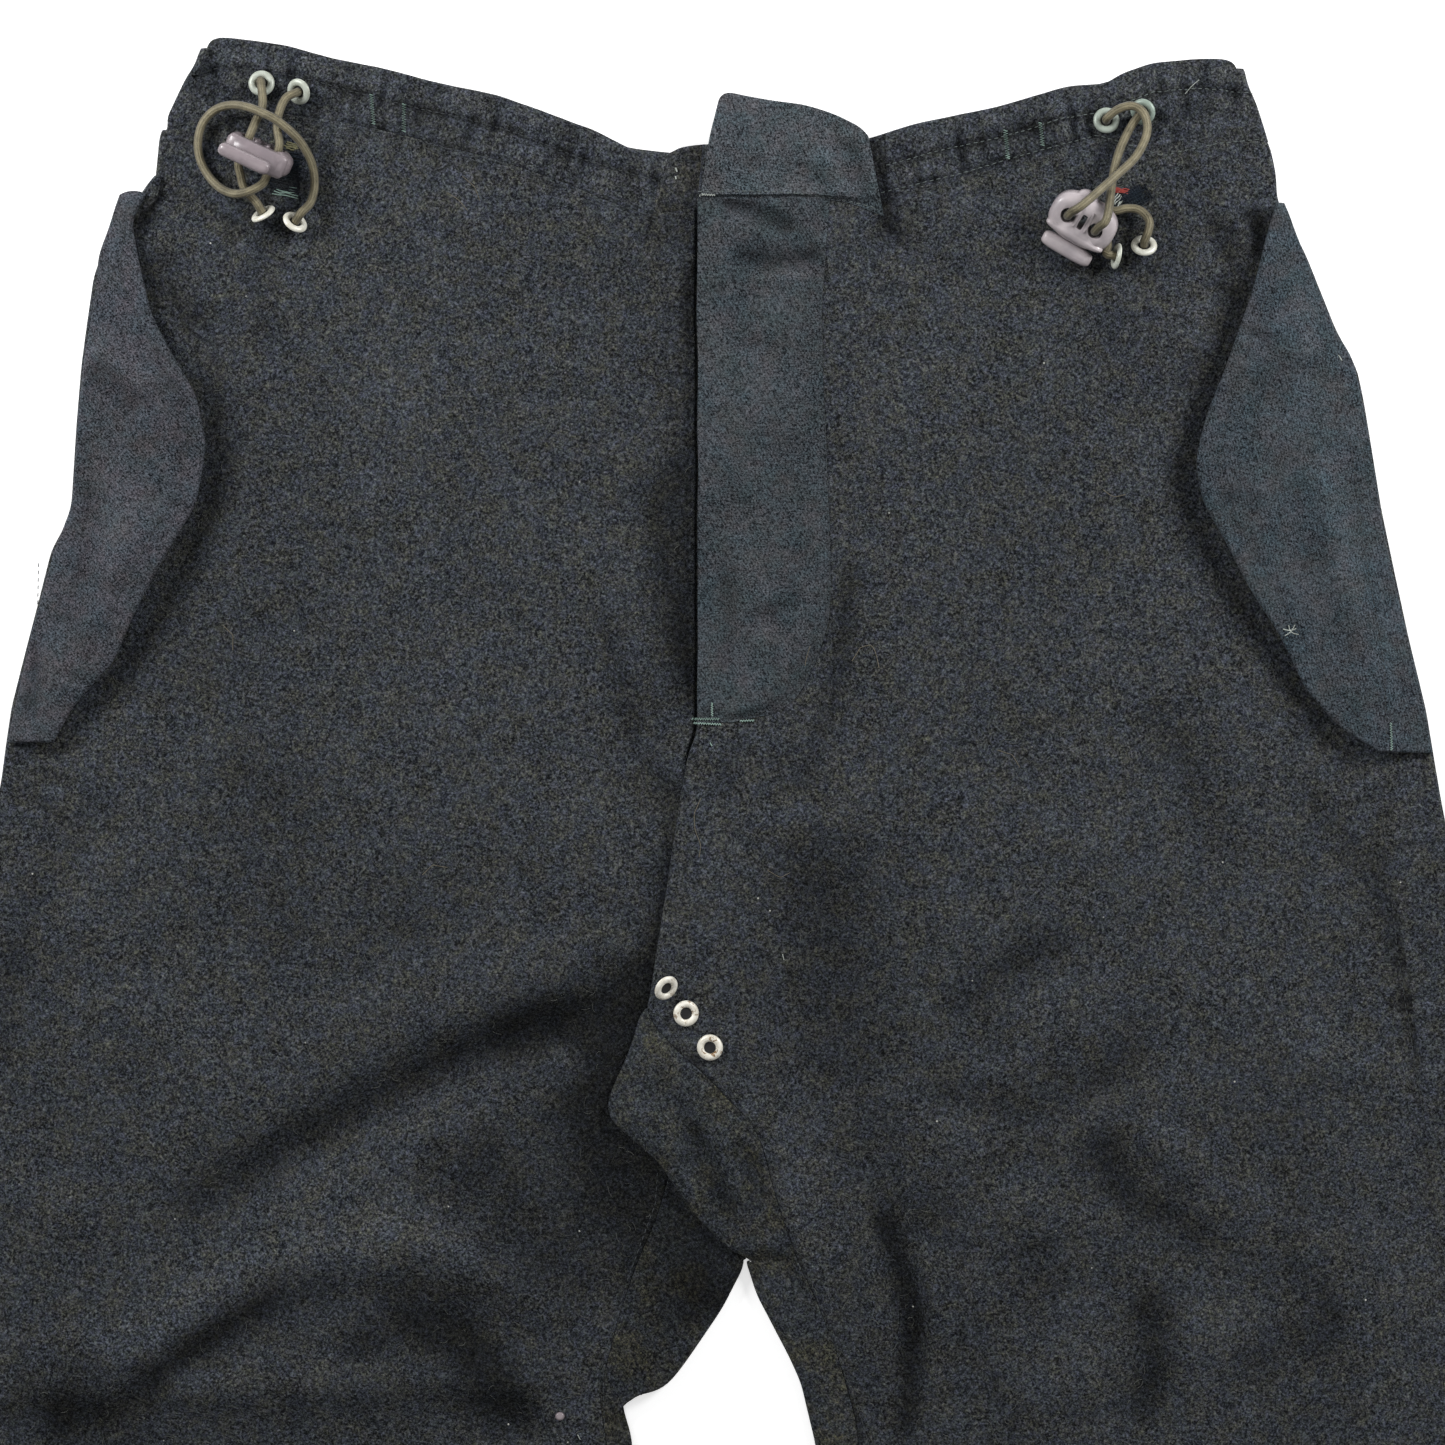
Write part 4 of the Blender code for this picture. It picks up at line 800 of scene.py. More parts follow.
def seamHeight(x, y, seams):   # a groove along each seam, and puckers across it
    total = np.zeros(x.shape)
    for number, sewn in enumerate(seams):
        distance, share = alongLine(sewn["line"], x, y)
        travel = share * sum(math.dist(a, b) for a, b in zip(sewn["line"], sewn["line"][1:]))
        draw = random.Random(number + 31)
        waves = np.zeros(x.shape)
        for _ in range(5):
            wave = sewn["wave"] * draw.uniform(0.6, 1.9)
            waves += np.sin(2 * math.pi * travel / wave + draw.uniform(0, 6.28))
        swell = 0.5 * np.sin(travel / (sewn["wave"] * 0.9) + draw.uniform(0, 6.28))
        swell = 0.55 + swell * np.sin(travel / 41.0 + number)
        reach = sewn["reach"] * (1 + 0.45 * np.sin(travel / (sewn["wave"] * 0.6) + draw.uniform(0, 6.28)))
        total += sewn["pucker"] / 2.0 * swell * waves * np.exp(-(distance / reach) ** 2)
        total -= sewn["groove"] * np.exp(-(distance / 1.4) ** 2)
    return total


def fromSide(grid, side):   # distance over the sheet from one of its sides, in mm
    axis = 0 if side in ("top", "bottom") else 1
    steps = np.linalg.norm(np.diff(grid, axis=axis), axis=2) / mm
    zero = np.zeros_like(np.take(steps, [0], axis=axis))
    walked = np.concatenate((zero, np.cumsum(steps, axis=axis)), axis=axis)
    return np.take(walked, [-1], axis=axis) - walked if side in ("bottom", "right") else walked


def seenFrom(array, side):   # its lines along a side, the side itself first
    turned = array if side in ("top", "bottom") else array.swapaxes(0, 1)
    return turned[::-1] if side in ("bottom", "right") else turned


def rimDrop(grid, radii):   # how far a rounded rim falls, in mm
    drop = np.zeros(grid.shape[:2])
    for side, radius in radii.items():
        near = np.clip(fromSide(grid, side), 0, radius)
        drop = np.maximum(drop, radius - np.sqrt(np.maximum(radius ** 2 - (radius - near) ** 2, 0)))
    return drop


def gridFaces(rows, columns, number):   # quads over a numbered grid
    return [(number(r, c), number(r + 1, c), number(r + 1, c + 1), number(r, c + 1))
            for r in range(rows - 1) for c in range(columns - 1)]


def normalsOf(grid):
    normal = np.cross(np.gradient(grid, axis=0), np.gradient(grid, axis=1))
    length = np.linalg.norm(normal, axis=2, keepdims=True)
    return np.where(length > 1e-15, normal / np.maximum(length, 1e-15), (0.0, 0.0, 1.0))


def closedSheet(name, outer, inner, material):   # two skins that meet along the rims of the outer one
    rows, columns = outer.shape[:2]
    vertices = outer.reshape(-1, 3).tolist() + inner[1:-1, 1:-1].reshape(-1, 3).tolist()

    def above(r, c):
        return r * columns + c

    def below(r, c):
        if r in (0, rows - 1) or c in (0, columns - 1):
            return above(r, c)
        return rows * columns + (r - 1) * (columns - 2) + c - 1

    faces = gridFaces(rows, columns, above) + [face[::-1] for face in gridFaces(rows, columns, below)]
    thing = meshObject(name, vertices, faces, material)
    turnOutwards(thing.data)
    return thing


def turnOutwards(mesh):
    build = bmesh.new()
    build.from_mesh(mesh)
    bmesh.ops.recalc_face_normals(build, faces=build.faces)
    build.to_mesh(mesh)
    build.free()


def settle(thing, slot, smooth=None, *replaced):
    if smooth is not None:
        thing.data.polygons.foreach_set("use_smooth", [True] * len(thing.data.polygons))
        thing.data.set_sharp_from_angle(angle=math.radians(smooth))
    turnOutwards(thing.data)
    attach(thing, "root")
    if replaced:
        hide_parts(*replaced)


def settleTubes(prefix, made):   # one piece for each material
    for material, (vertices, faces) in made.items():
        settle(meshObject(prefix + material, vertices, faces, finish[material]), "wool")


def skirtColumns(edge, skirt):   # a side that rolls down to what it lies on
    way = 1 if skirt["side"] == "right" else -1
    middle = skirt["middle"] * mm
    floor = np.where(centreDown - edge[:, 1] / mm < skirt.get("until", -1e3), skirt.get("lies", 0.0),
                     0.02) * mm
    columns = []
    for degrees in (15, 30, 45, 60, 75, 90):
        turn = math.radians(degrees)
        column = edge.copy()
        column[:, 0] += way * skirt["reach"] * mm * math.sin(turn)
        column[:, 2] = middle + (edge[:, 2] - middle) * math.cos(turn)
        columns.append(column)
    for share, tuck in ((0.6, 0.0), (0.25, 0.15), (0.08, 0.4), (0.0, 0.9)):
        column = columns[5].copy()
        column[:, 0] -= way * tuck * mm
        column[:, 2] = floor + (np.minimum(middle, edge[:, 2]) - floor) * share
        columns.append(column)
    return np.stack(columns if way > 0 else columns[::-1], axis=1), floor


def sheetObject(name, grid, settings):   # gives a sheet its thickness and its rounded rims
    thick = settings.get("thick", 2.2)
    rims = {side: settings.get("rims", {}).get(side, thick / 2) for side in ("top", "bottom", "left",
                                                                             "right")}
    wall = np.full(grid.shape[:2], thick)
    for side, (edge, reach) in settings.get("thin", {}).items():
        wall = np.minimum(wall, edge + (thick - edge) * smoothStep(fromSide(grid, side) / reach))
    skirt = settings.get("skirt")
    if skirt:
        rims.pop(skirt["side"])
    drop = rimDrop(grid, rims)
    upper, lower = grid.copy(), grid.copy()
    upper[..., 2] -= drop * mm
    if not skirt:
        lower[..., 2] -= np.maximum(wall - drop, 0.05) * mm
        return closedSheet(name, upper, lower, finish[settings["finish"]])
    right = skirt["side"] == "right"
    added, floor = skirtColumns(upper[:, -1] if right else upper[:, 0], skirt)
    outer = np.concatenate((upper, added) if right else (added, upper), axis=1)
    depth = np.full(outer.shape[:2], thick * 0.7 * mm)
    main = slice(0, grid.shape[1]) if right else slice(outer.shape[1] - grid.shape[1], None)
    depth[:, main] = np.minimum((thick - 2 * drop) * mm, depth[:, main])
    inner = outer - normalsOf(outer) * depth[..., None]
    inner[..., 2] = np.maximum(inner[..., 2], floor[:, None] + 0.01 * mm)
    return closedSheet(name, outer, inner, finish[settings["finish"]])


shading = {"clouds": 0.07, "streaks": 0.74, "ends": 0.14, "darkest": -0.72}


def addTone(thing, settings):   # paler and darker places: random clouds of tone, painted light on crease ridges, painted shade in crease hollows and seam grooves, and listed streaks of painted shade and light
    mesh = thing.data
    points = np.empty(len(mesh.vertices) * 3)
    mesh.vertices.foreach_get("co", points)
    x, y = acrossDown(points.reshape(-1, 3))
    tone = shading["clouds"] * ripples(x, y, settings.get("seed", 1), 40, 220)
    # painted shading from the folds: crease hollows darker, crease ridges lighter
    tone += np.clip(creaseHeight(x, y, settings.get("creases", [])), -4, 2.5) * settings.get("creaseShading", 0.05)
    fade = shading["ends"]
    # listed streaks of painted shadow where the depth is negative and painted light where it is positive
    for depth, width, *line in settings.get("streaks", []):
        distance, share = alongLine(line, x, y)
        ends = smoothStep(share / fade) * smoothStep((1 - share) / fade)
        tone += shading["streaks"] * depth * np.exp(-(distance / width) ** 2) * ends
    # painted shade in the seams' grooves and pucker troughs, painted light on pucker crests
    tone += np.clip(seamHeight(x, y, settings.get("seams", [])), -1.2, 0.8) * settings.get("seamShading", 0.4)
    layer = mesh.attributes.new("tone", "FLOAT", "POINT")
    layer.data.foreach_set("value", np.maximum(tone, shading["darkest"]).astype(np.float32))


overlap = 0.12   # how far a piece runs under the one that it is sewn to, in mm
pieces, edges, surfaces = {}, {}, {}


def nearestOn(line, points):   # how far some points are from a line, and its nearest spots, seen from above
    best = np.full(len(points), 1e9)
    found = np.zeros((len(points), 3))
    for start, end in zip(line[:-1], line[1:]):
        way = end[:2] - start[:2]
        part = np.clip((points[:, :2] - start[:2]) @ way / max(way @ way, 1e-18), 0, 1)
        spot = start + part[:, None] * (end - start)
        distance = np.linalg.norm(points[:, :2] - spot[:, :2], axis=1)
        closer = distance < best
        best[closer], found[closer] = distance[closer], spot[closer]
    return best / mm, found


def meet(grid, settings):   # ends just where the piece it is sewn to begins, at the same height
    for side, other, otherSide, reach in settings.get("meets", []):
        share = 1 - smoothStep(seenFrom(fromSide(grid, side), side) / reach)
        lines = seenFrom(grid, side)
        distance, target = nearestOn(edges[other][otherSide], lines[0])
        inward = lines[3, :, :2] - lines[0, :, :2]
        target[:, :2] -= inward / np.linalg.norm(inward, axis=1)[:, None] * overlap * mm
        share *= 1 - smoothStep((distance - 4) / 3)
        lines += (target - lines[0]) * share[..., None]


def heightsUnder(grid, names):   # how high the pieces named lie, at each point of a grid
    level = np.full(grid.shape[:2], np.nan)
    for name in names:
        mesh = pieces[name].data
        if name not in surfaces:
            surfaces[name] = BVHTree.FromPolygons([v.co for v in mesh.vertices],
                                                  [p.vertices for p in mesh.polygons])
        tree = surfaces[name]
        for spot in np.ndindex(*level.shape):
            x, y = float(grid[spot][0]), float(grid[spot][1])
            hit = tree.ray_cast(Vector((x, y, 1.0)), Vector((0, 0, -1)))[0]
            if hit:
                level[spot] = hit.z if np.isnan(level[spot]) else max(level[spot], hit.z)
    return level


def lieDown(grid, settings):   # comes down to the cloth below it along some of its sides
    for side, names, reach, gap in settings.get("lies", []):
        under = heightsUnder(grid, names)
        share = np.where(np.isnan(under), 0, 1 - smoothStep(fromSide(grid, side) / reach))
        grid[..., 2] += (np.nan_to_num(under) + gap * mm - grid[..., 2]) * share


def cloth(name, settings):
    sides, tree = fourSides(name, settings["corners"], settings.get("lean", 0.35))
    if "reshape" in settings:
        sides = settings["reshape"](sides)
    thick = settings.get("thick", 2.2)
    high = (lengthOf(sides[0]) + lengthOf(sides[2])) / 2
    wide = settings.get("wide", (lengthOf(sides[1]) + lengthOf(sides[3])) / 2)
    step = settings.get("step", 2.2)
    u = spread(wide, step, thick / 2)
    v = spread(high, step, thick / 2, settings.get("coarse"), settings.get("change", 1.0))
    grid = patch(sides, u, v, settings.get("round", 6))
    grid[..., 2] = relaxGrid(layOn(grid, tree), settings.get("soften", 6))
    for side in settings.get("flush", []):   # no rounded rim where it is sewn on
        lines = seenFrom(grid, side)
        lines[:6, :, 2] = lines[6, :, 2]
    x, y = acrossDown(grid)
    calm = settings.get("calm", 12)
    inside = np.ones(x.shape)
    for side in settings.get("held", ("top", "bottom", "left", "right")):
        inside *= smoothStep(fromSide(grid, side) / calm)
    relief = settings.get("ripple", 0.35) * ripples(x, y, settings.get("seed", 1), 14, 70)
    relief += creaseHeight(x, y, settings.get("creases", [])) * settings.get("press", 1.0)
    relief = relief * inside + seamHeight(x, y, settings.get("seams", []))
    lowest = settings.get("lowest", 9.0)   # the layer below stops a hollow
    relief = np.where(relief < 0, -lowest * np.tanh(-relief / lowest), relief)
    grid[..., 2] += relief * mm
    if "shape" in settings:
        settings["shape"](grid, x, y)
    lieDown(grid, settings)
    meet(grid, settings)
    sway = settings.get("sway", 0.3) * mm
    edges[name] = {"top": grid[0].copy(), "bottom": grid[-1].copy(), "left": grid[:, 0].copy(),
                   "right": grid[:, -1].copy()}
    grid[..., 0] += sway * ripples(x, y, 8, 20, 60)
    grid[..., 1] += sway * ripples(x, y, 9, 20, 60)
    piece = sheetObject("cloth_" + name, grid, settings)
    finishSheet(piece, name, settings)


def finishSheet(piece, node, settings):
    addTone(piece, settings)
    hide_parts(node)
    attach(piece, "root")
    pieces[node] = piece


# Fronts. The fly's edge, the crotch and the lower legs carry most of the folds

foldsRight = [
    crease(-2.6, 8, (-36, 401), (-60, 409), (-90, 420), (-113, 431), (-149, 450), (-190, 471), (-214, 494)),
    crease(1.6, 15, (-60, 388), (-100, 406), (-140, 424), (-186, 448)),
    crease(1.5, 13, (-70, 440), (-110, 452), (-150, 474), (-188, 498)),
    crease(2.2, 11, (-157, 492), (-129, 489), (-89, 512), (-49, 538)),
    crease(-2.6, 8, (-178, 515), (-193, 536), (-213, 546), (-246, 563)),
    crease(-0.5, 13, (-60, 430), (-46, 455), (-38, 480), (-42, 505)),
    crease(-2.0, 11, (-130, 505), (-108, 530), (-92, 560)),
    crease(-2.2, 9, (-290, 548), (-262, 566), (-232, 580), (-210, 596)),
    crease(-2.0, 9, (-128, 552), (-104, 556), (-84, 568), (-72, 584)),
    crease(1.8, 9, (-275, 536), (-240, 540), (-205, 560)),
    crease(-1.8, 10, (-241, 318), (-262, 342), (-279, 372), (-289, 410)),
    crease(1.2, 10, (-225, 330), (-246, 352), (-262, 380)),
    crease(-1.5, 16, (-152, 238), (-196, 262), (-240, 290)),
    crease(-1.2, 9, (-80, 340), (-108, 360), (-133, 380)),
    crease(-1.3, 8, (-222, 415), (-236, 430), (-250, 440)),
    crease(-1.1, 7, (-215, 368), (-228, 384), (-236, 394)),
    crease(-1.8, 6, (-22, 100), (-20, 150), (-18, 215), (-15, 280), ends=0.15),
    crease(-1.6, 7, (-34, 190), (-28, 215), (-21, 250), (-16, 286)),
    crease(1.8, 6, (-50, 228), (-40, 262), (-28, 300), (-8, 322)),
    crease(-1.9, 7, (-44, 280), (-34, 310), (-20, 334), (-14, 345)),
    crease(1.1, 9, (-62, 300), (-52, 335), (-40, 365)),
    crease(-1.1, 7, (-26, 78), (-26, 120), (-30, 165)),
    crease(1.0, 6, (-42, 66), (-44, 92), (-40, 112)),
    crease(0.9, 14, (-122, 150), (-140, 190), (-150, 222)),
    crease(-1.1, 9, (-170, 112), (-160, 150), (-166, 190)),
    crease(-1.4, 8, (-202, 118), (-206, 150), (-196, 176)),
    crease(-1.5, 5, (-216, 98), (-210, 122), (-196, 138)),
    crease(0.9, 8, (-146, 60), (-150, 84), (-146, 110)),
    crease(0.9, 7, (-98, 66), (-102, 82), (-98, 104)),
    crease(-0.9, 6, (-84, 60), (-86, 80), (-80, 100)),
    crease(1.2, 8, (-290, 470), (-268, 486), (-250, 488)),
    crease(-1.2, 22, (-230, 200), (-180, 320), (-200, 420)),
    crease(1.2, 24, (-110, 130), (-120, 230), (-90, 320)),
    crease(-1.6, 14, (-300, 620), (-240, 650), (-150, 640), (-90, 660)),
    crease(1.8, 16, (-280, 720), (-200, 700), (-120, 730)),
    crease(-1.5, 15, (-260, 800), (-190, 820), (-110, 800)),
    crease(1.4, 16, (-290, 900), (-210, 890), (-130, 920)),
]
foldsLeft = [
    crease(-2.0, 6, (54, 224), (50, 248), (42, 280), (28, 308), (16, 338)),
    crease(1.8, 6, (44, 292), (32, 318), (20, 346), (12, 362)),
    crease(-1.0, 26, (32, 330), (38, 372), (44, 410), (54, 460)),
    crease(1.9, 9, (14, 398), (20, 440), (28, 488), (40, 530)),
    crease(-3.8, 5, (62, 482), (70, 505), (76, 530), (74, 560)),
    crease(1.7, 7, (54, 470), (62, 512), (66, 556)),
    crease(1.6, 9, (82, 500), (88, 530), (88, 562)),
    crease(-2.4, 8, (156, 442), (158, 462), (166, 476), (196, 486)),
    crease(1.4, 9, (168, 452), (184, 464), (214, 472)),
    crease(-1.8, 7, (124, 494), (128, 506), (136, 520)),
    crease(-2.4, 10, (164, 522), (172, 540), (168, 566)),
    crease(-1.5, 9, (100, 404), (118, 390), (142, 378)),
    crease(-1.3, 9, (92, 398), (108, 418), (118, 428)),
    crease(-1.6, 10, (130, 438), (152, 428), (176, 420)),
    crease(1.6, 12, (98, 476), (140, 486), (176, 504)),
    crease(-1.4, 10, (172, 276), (184, 300), (192, 328)),
    crease(1.1, 10, (120, 330), (136, 340), (158, 336)),
    crease(-1.2, 9, (232, 286), (250, 308), (262, 326)),
    crease(1.2, 12, (226, 420), (246, 428), (262, 452)),
    crease(-1.3, 8, (150, 96), (158, 118), (156, 150)),
    crease(1.0, 7, (136, 100), (140, 120), (136, 140)),
    crease(1.3, 8, (186, 92), (190, 120), (186, 150)),
    crease(-1.8, 7, (200, 88), (206, 112), (200, 140)),
    crease(-1.6, 4, (62, 84), (64, 94), (72, 100), (84, 102)),
    crease(-1.0, 6, (62, 90), (64, 104), (60, 120)),
    crease(0.8, 7, (90, 80), (94, 96), (92, 112)),
    crease(-1.7, 11, (200, 560), (236, 540), (262, 556)),
    crease(-1.2, 20, (110, 150), (130, 240), (110, 330)),
    crease(1.1, 22, (170, 160), (150, 240), (160, 300)),
    crease(-1.6, 15, (110, 640), (180, 620), (270, 650)),
    crease(1.8, 16, (120, 720), (200, 740), (280, 720)),
    crease(-1.5, 15, (110, 810), (190, 800), (280, 830)),
    crease(1.4, 16, (130, 900), (210, 920), (290, 900)),
]


shadesRight = [   # painted shadow in hollows, in folds and beside raised edges, and painted light on ridges: amount, half width and course
    (-0.6, 26, (-60, 420), (-44, 446), (-32, 476), (-30, 530)),
    (-0.3, 34, (-110, 470), (-80, 480), (-56, 500)),
    (-0.6, 14, (-30, 382), (-40, 404), (-52, 430)),
    (-0.45, 6, (-236, 556), (-206, 534), (-182, 520), (-170, 502)),
    (-0.4, 6, (-268, 580), (-262, 560), (-252, 540)),
    (-0.5, 9, (-160, 544), (-130, 530), (-106, 534), (-86, 552), (-72, 580)),
    (0.14, 8, (-246, 540), (-192, 500), (-138, 487), (-88, 510), (-58, 540)),
    (-0.16, 12, (-136, 344), (-128, 362), (-120, 384)), (0.12, 12, (-286, 320), (-276, 350), (-262, 376)),
    (-0.2, 14, (-206, 300), (-176, 320), (-150, 330)), (-0.4, 3, (-13, 104), (-14, 124), (-13, 140)),
    (-0.16, 7, (-186, 340), (-176, 366), (-184, 400)), (0.1, 18, (-150, 400), (-176, 420), (-210, 436)),
    (-0.22, 40, (-250, 590), (-180, 585), (-110, 590)), (0.14, 10, (-300, 360), (-304, 420), (-312, 500)),
    (-0.675, 6, (-224, 96), (-226, 110), (-216, 124), (-209, 136)),
    (-0.675, 5, (-228, 80), (-233, 85), (-231, 92)),
    (-0.54, 6, (-208, 134), (-202, 157), (-198, 180), (-204, 203), (-216, 232), (-230, 256), (-245, 276),
     (-258, 294)),
    (-0.36, 4.5, (-12, 84), (-13, 116), (-14, 150), (-14, 200), (-14, 260), (-11, 286)),
    (-0.62, 8, (-15, 176), (-24, 200), (-23, 232), (-18, 262), (-12, 288)),
    (-0.378, 7, (-50, 232), (-43, 256), (-36, 280), (-28, 302), (-18, 320), (-11, 336)),
    (-0.81, 9, (-12, 330), (-18, 348), (-25, 374), (-33, 396), (-43, 420), (-50, 440)),
    (-0.675, 10, (-40, 398), (-74, 407), (-115, 424), (-150, 442), (-179, 459), (-208, 476), (-230, 496)),
    (-0.405, 18, (-34, 402), (-62, 408), (-96, 418)),
    (-0.7425, 22, (-48, 424), (-38, 455), (-24, 484), (-8, 512)),
    (-0.3375, 20, (-84, 458), (-104, 468), (-124, 462)), (-0.405, 24, (-100, 492), (-74, 506), (-48, 512)),
    (0.192, 9, (-256, 556), (-202, 511), (-146, 494), (-97, 517), (-66, 542)),
    (-0.459, 7, (-262, 572), (-234, 556), (-196, 526), (-158, 512), (-138, 510)),
    (-0.459, 15, (-144, 508), (-118, 524), (-97, 546), (-86, 582)),
    (-0.4725, 16, (-292, 560), (-270, 566), (-240, 590)),
    (-0.405, 8, (-282, 372), (-287, 400), (-290, 430)), (0.144, 26, (-262, 380), (-226, 396), (-176, 400)),
    (-0.189, 12, (-260, 322), (-272, 346), (-280, 366)), (-0.27, 6, (-186, 96), (-184, 116), (-180, 142)),
    (-0.4725, 3, (-26, 78), (-28, 88), (-29, 100)), (-0.216, 6, (-44, 84), (-43, 100), (-44, 116)),
    (-0.405, 12, (-200, 84), (-184, 88), (-170, 94)), (0.144, 14, (-108, 64), (-96, 72), (-80, 80)),
]
# the same for the left front: painted shadow and painted light
shadesLeft = [
    (-0.6, 5, (60, 60), (64, 72), (68, 86), (70, 98)), (-0.2, 20, (60, 500), (50, 540), (66, 580)),
    (-0.26, 24, (34, 322), (46, 380), (56, 440)), (0.16, 9, (270, 340), (284, 420), (294, 520)),
    (-0.2, 9, (80, 436), (104, 438), (141, 431), (176, 417)),
    (-0.16, 11, (80, 424), (104, 404), (118, 394), (136, 366)),
    (-0.3, 8, (205, 548), (222, 536), (252, 522)),
    (-0.4, 5, (224, 304), (250, 336), (268, 372), (279, 430)),
    (-0.24, 22, (100, 450), (140, 462), (176, 500)), (-0.3, 14, (84, 470), (90, 500), (88, 530)),
    (0.14, 10, (200, 380), (230, 400), (250, 440)), (-0.22, 9, (222, 440), (232, 470), (230, 500)),
    (0.12, 14, (186, 520), (204, 560), (216, 580)), (-0.24, 10, (108, 546), (116, 566), (112, 590)),
    (-0.4725, 5, (52, 216), (50, 244), (47, 274), (40, 299), (26, 324)),
    (-0.2, 26, (26, 320), (34, 348), (42, 384), (50, 418), (62, 460)),
    (-0.405, 4, (8, 292), (2, 308), (0, 322)), (0.168, 12, (-6, 326), (8, 352), (14, 384)),
    (-0.85, 5, (58, 476), (70, 502), (77, 531), (75, 558), (72, 584)),
    (-0.405, 14, (56, 440), (66, 470), (78, 500)),
    (-0.351, 6, (72, 430), (98, 438), (118, 444), (152, 433), (172, 412)),
    (-0.324, 6, (82, 405), (112, 386), (142, 374)),
    (-0.513, 7, (148, 448), (156, 470), (164, 482), (180, 486), (200, 498)),
    (-0.378, 10, (122, 496), (126, 512), (134, 524)),
    (-0.675, 9, (168, 512), (173, 530), (172, 548), (165, 572)),
    (-0.378, 6, (220, 500), (240, 516), (246, 528), (232, 550)),
    (-0.27, 14, (90, 530), (102, 542), (116, 546)), (0.144, 14, (112, 410), (140, 404), (164, 396)),
    (0.144, 12, (92, 470), (110, 478), (136, 474)),
    (-1.3, 3.6, (209, 82), (213.5, 87), (215.5, 94), (213.5, 104)),
    (-0.3, 3, (194, 82), (197, 92), (200, 104)), (-0.5, 2.6, (197, 112), (202, 116), (208, 116)),
    (-0.6075, 6, (213, 98), (203, 126), (190, 161), (183, 190), (190, 218), (212, 252), (232, 280),
     (252, 300)),
    (-0.324, 8, (168, 276), (184, 302), (200, 334), (204, 350)),
    (-0.378, 4, (256, 322), (270, 368), (278, 418), (283, 466), (290, 520)),
    (-0.405, 4, (195, 84), (203, 98), (206, 112)), (-0.405, 12, (132, 100), (144, 106), (156, 104)),
    (-0.675, 3, (59, 64), (63, 76), (66, 88), (66, 94)), (-0.27, 16, (190, 560), (226, 566), (262, 560)),
    (-0.189, 9, (90, 84), (92, 98), (90, 112)), (-0.216, 7, (158, 70), (160, 90), (156, 112)),
    (-0.5, 1.5, (-30, 404), (-8, 428), (14, 457.5), (24, 488), (39, 528), (55, 572), (66, 620)),
]


def toPlacket(sides):   # the right front runs on under the edge of the placket
    left, bottom, right, top = sides
    right = resample(right, np.linspace(0, 1, 700))
    down = centreDown - right[:, 1] / mm
    reach = smoothStep((312 - down) / 22)
    target = np.where(down < 296, -10.8, -10.8 - (down - 296) * 0.25) * mm
    right[:, 0] += (np.maximum(target, right[:, 0]) - right[:, 0]) * reach
    right = np.concatenate((right, [[-10.8 * mm, place(0, 83.2).y, right[-1, 2]]]))
    top = np.concatenate(([right[-1]], [[-16 * mm, place(0, 84).y, right[-1, 2]]], top[1:]))
    return [left, bottom, right, top]


def furrow(grid, x, y):   # the right front dips beside the placket and lies over the underlap
    beside = grown(x, -27, 9) * grown(y, 96, 40) * (1 - grown(y, 286, 22))
    grid[..., 2] -= 0.9 * mm * beside
    grid[..., 2] = np.where(beside > 0.02, np.maximum(grid[..., 2], 5.75 * mm), grid[..., 2])


def underFly(grid, x, y):   # the left front lies lower below the placket
    covered = (1 - grown(x, 34, 9)) * (1 - grown(y, 276, 14))
    grid[..., 2] -= 0.7 * mm * covered
    hole = np.exp(-(((x - 214.5) / 3.6) ** 2 + ((y - 91) / 8) ** 2))   # the pocket's mouth, and a ridge
    ridge = np.exp(-(((x - 206 - (y - 92) * 0.4) / 3) ** 2 + ((y - 92) / 10) ** 2))
    lower = np.exp(-(((x - 203 - (y - 112) * 0.3) / 3.4) ** 2 + ((y - 110) / 6) ** 2))
    grid[..., 2] += (1.9 * ridge + 1.3 * lower - 2.4 * hole) * mm


frontCloth = {
    "finish": "wool", "step": 2.2, "coarse": 7.0, "change": 0.56, "soften": 14, "ripple": 0.5, "calm": 7,
    "press": 1.5, "lowest": 2.1,
}
fronts = {
    "front_right": {
        **frontCloth, "corners": [(-217, 52), (-325, 1003.7), (-64.9, 1003.7), (-21.3, 87)], "seed": 3,
        "rims": {"top": 0.1, "left": 0.15}, "creases": foldsRight, "rests": ["back_right"],
        "reshape": toPlacket, "shape": furrow, "held": ("left", "bottom"),
        "seams": [seam((-325, 1003), (-318, 600), (-312, 505), (-300, 400), (-291, 350), (-272, 315),
                       (-267, 302),
                       groove=0.2, pucker=0.5, reach=9, wave=15),
                  seam((-212, 53), (-180, 47), (-131, 56), (-89, 67), (-52, 81), (-22, 90), groove=0.35,
                       pucker=0.7,
                       reach=9, wave=9.5)],
        "streaks": shadesRight,
    },
    "front_left": {
        **frontCloth, "corners": [(-10, 78.5), (78, 1003.7), (316, 1003.7), (212, 56)], "seed": 7,
        "rims": {"top": 0.1, "right": 0.15}, "creases": foldsLeft, "rests": ["back_left", "front_right"],
        "shape": underFly, "held": ("right", "bottom"),
        "seams": [seam((212, 57), (172, 54), (138, 62), (93, 73), (62, 80), groove=0.35, pucker=0.7,
                       reach=9, wave=9),
                  seam((250, 300), (264, 325), (270, 380), (281, 450), (289, 505), (298, 600), (314, 1003),
                       groove=0.2,
                       pucker=0.6, reach=8, wave=12),
                  seam((104, 76.5), (124, 72), (144, 68.4), groove=0.4, pucker=0.2, reach=4, wave=8),
                  seam((-26, 405), (-5, 427.5), (16, 457), (26, 488), (41, 528), (57, 572), (68, 620),
                       groove=0.2, pucker=0.45,
                       reach=5, wave=10)],
        "streaks": shadesLeft,
    },
}
for name, settings in fronts.items():
    cloth(name, settings)


# Backs: flat underneath, rolled round the side on to the front

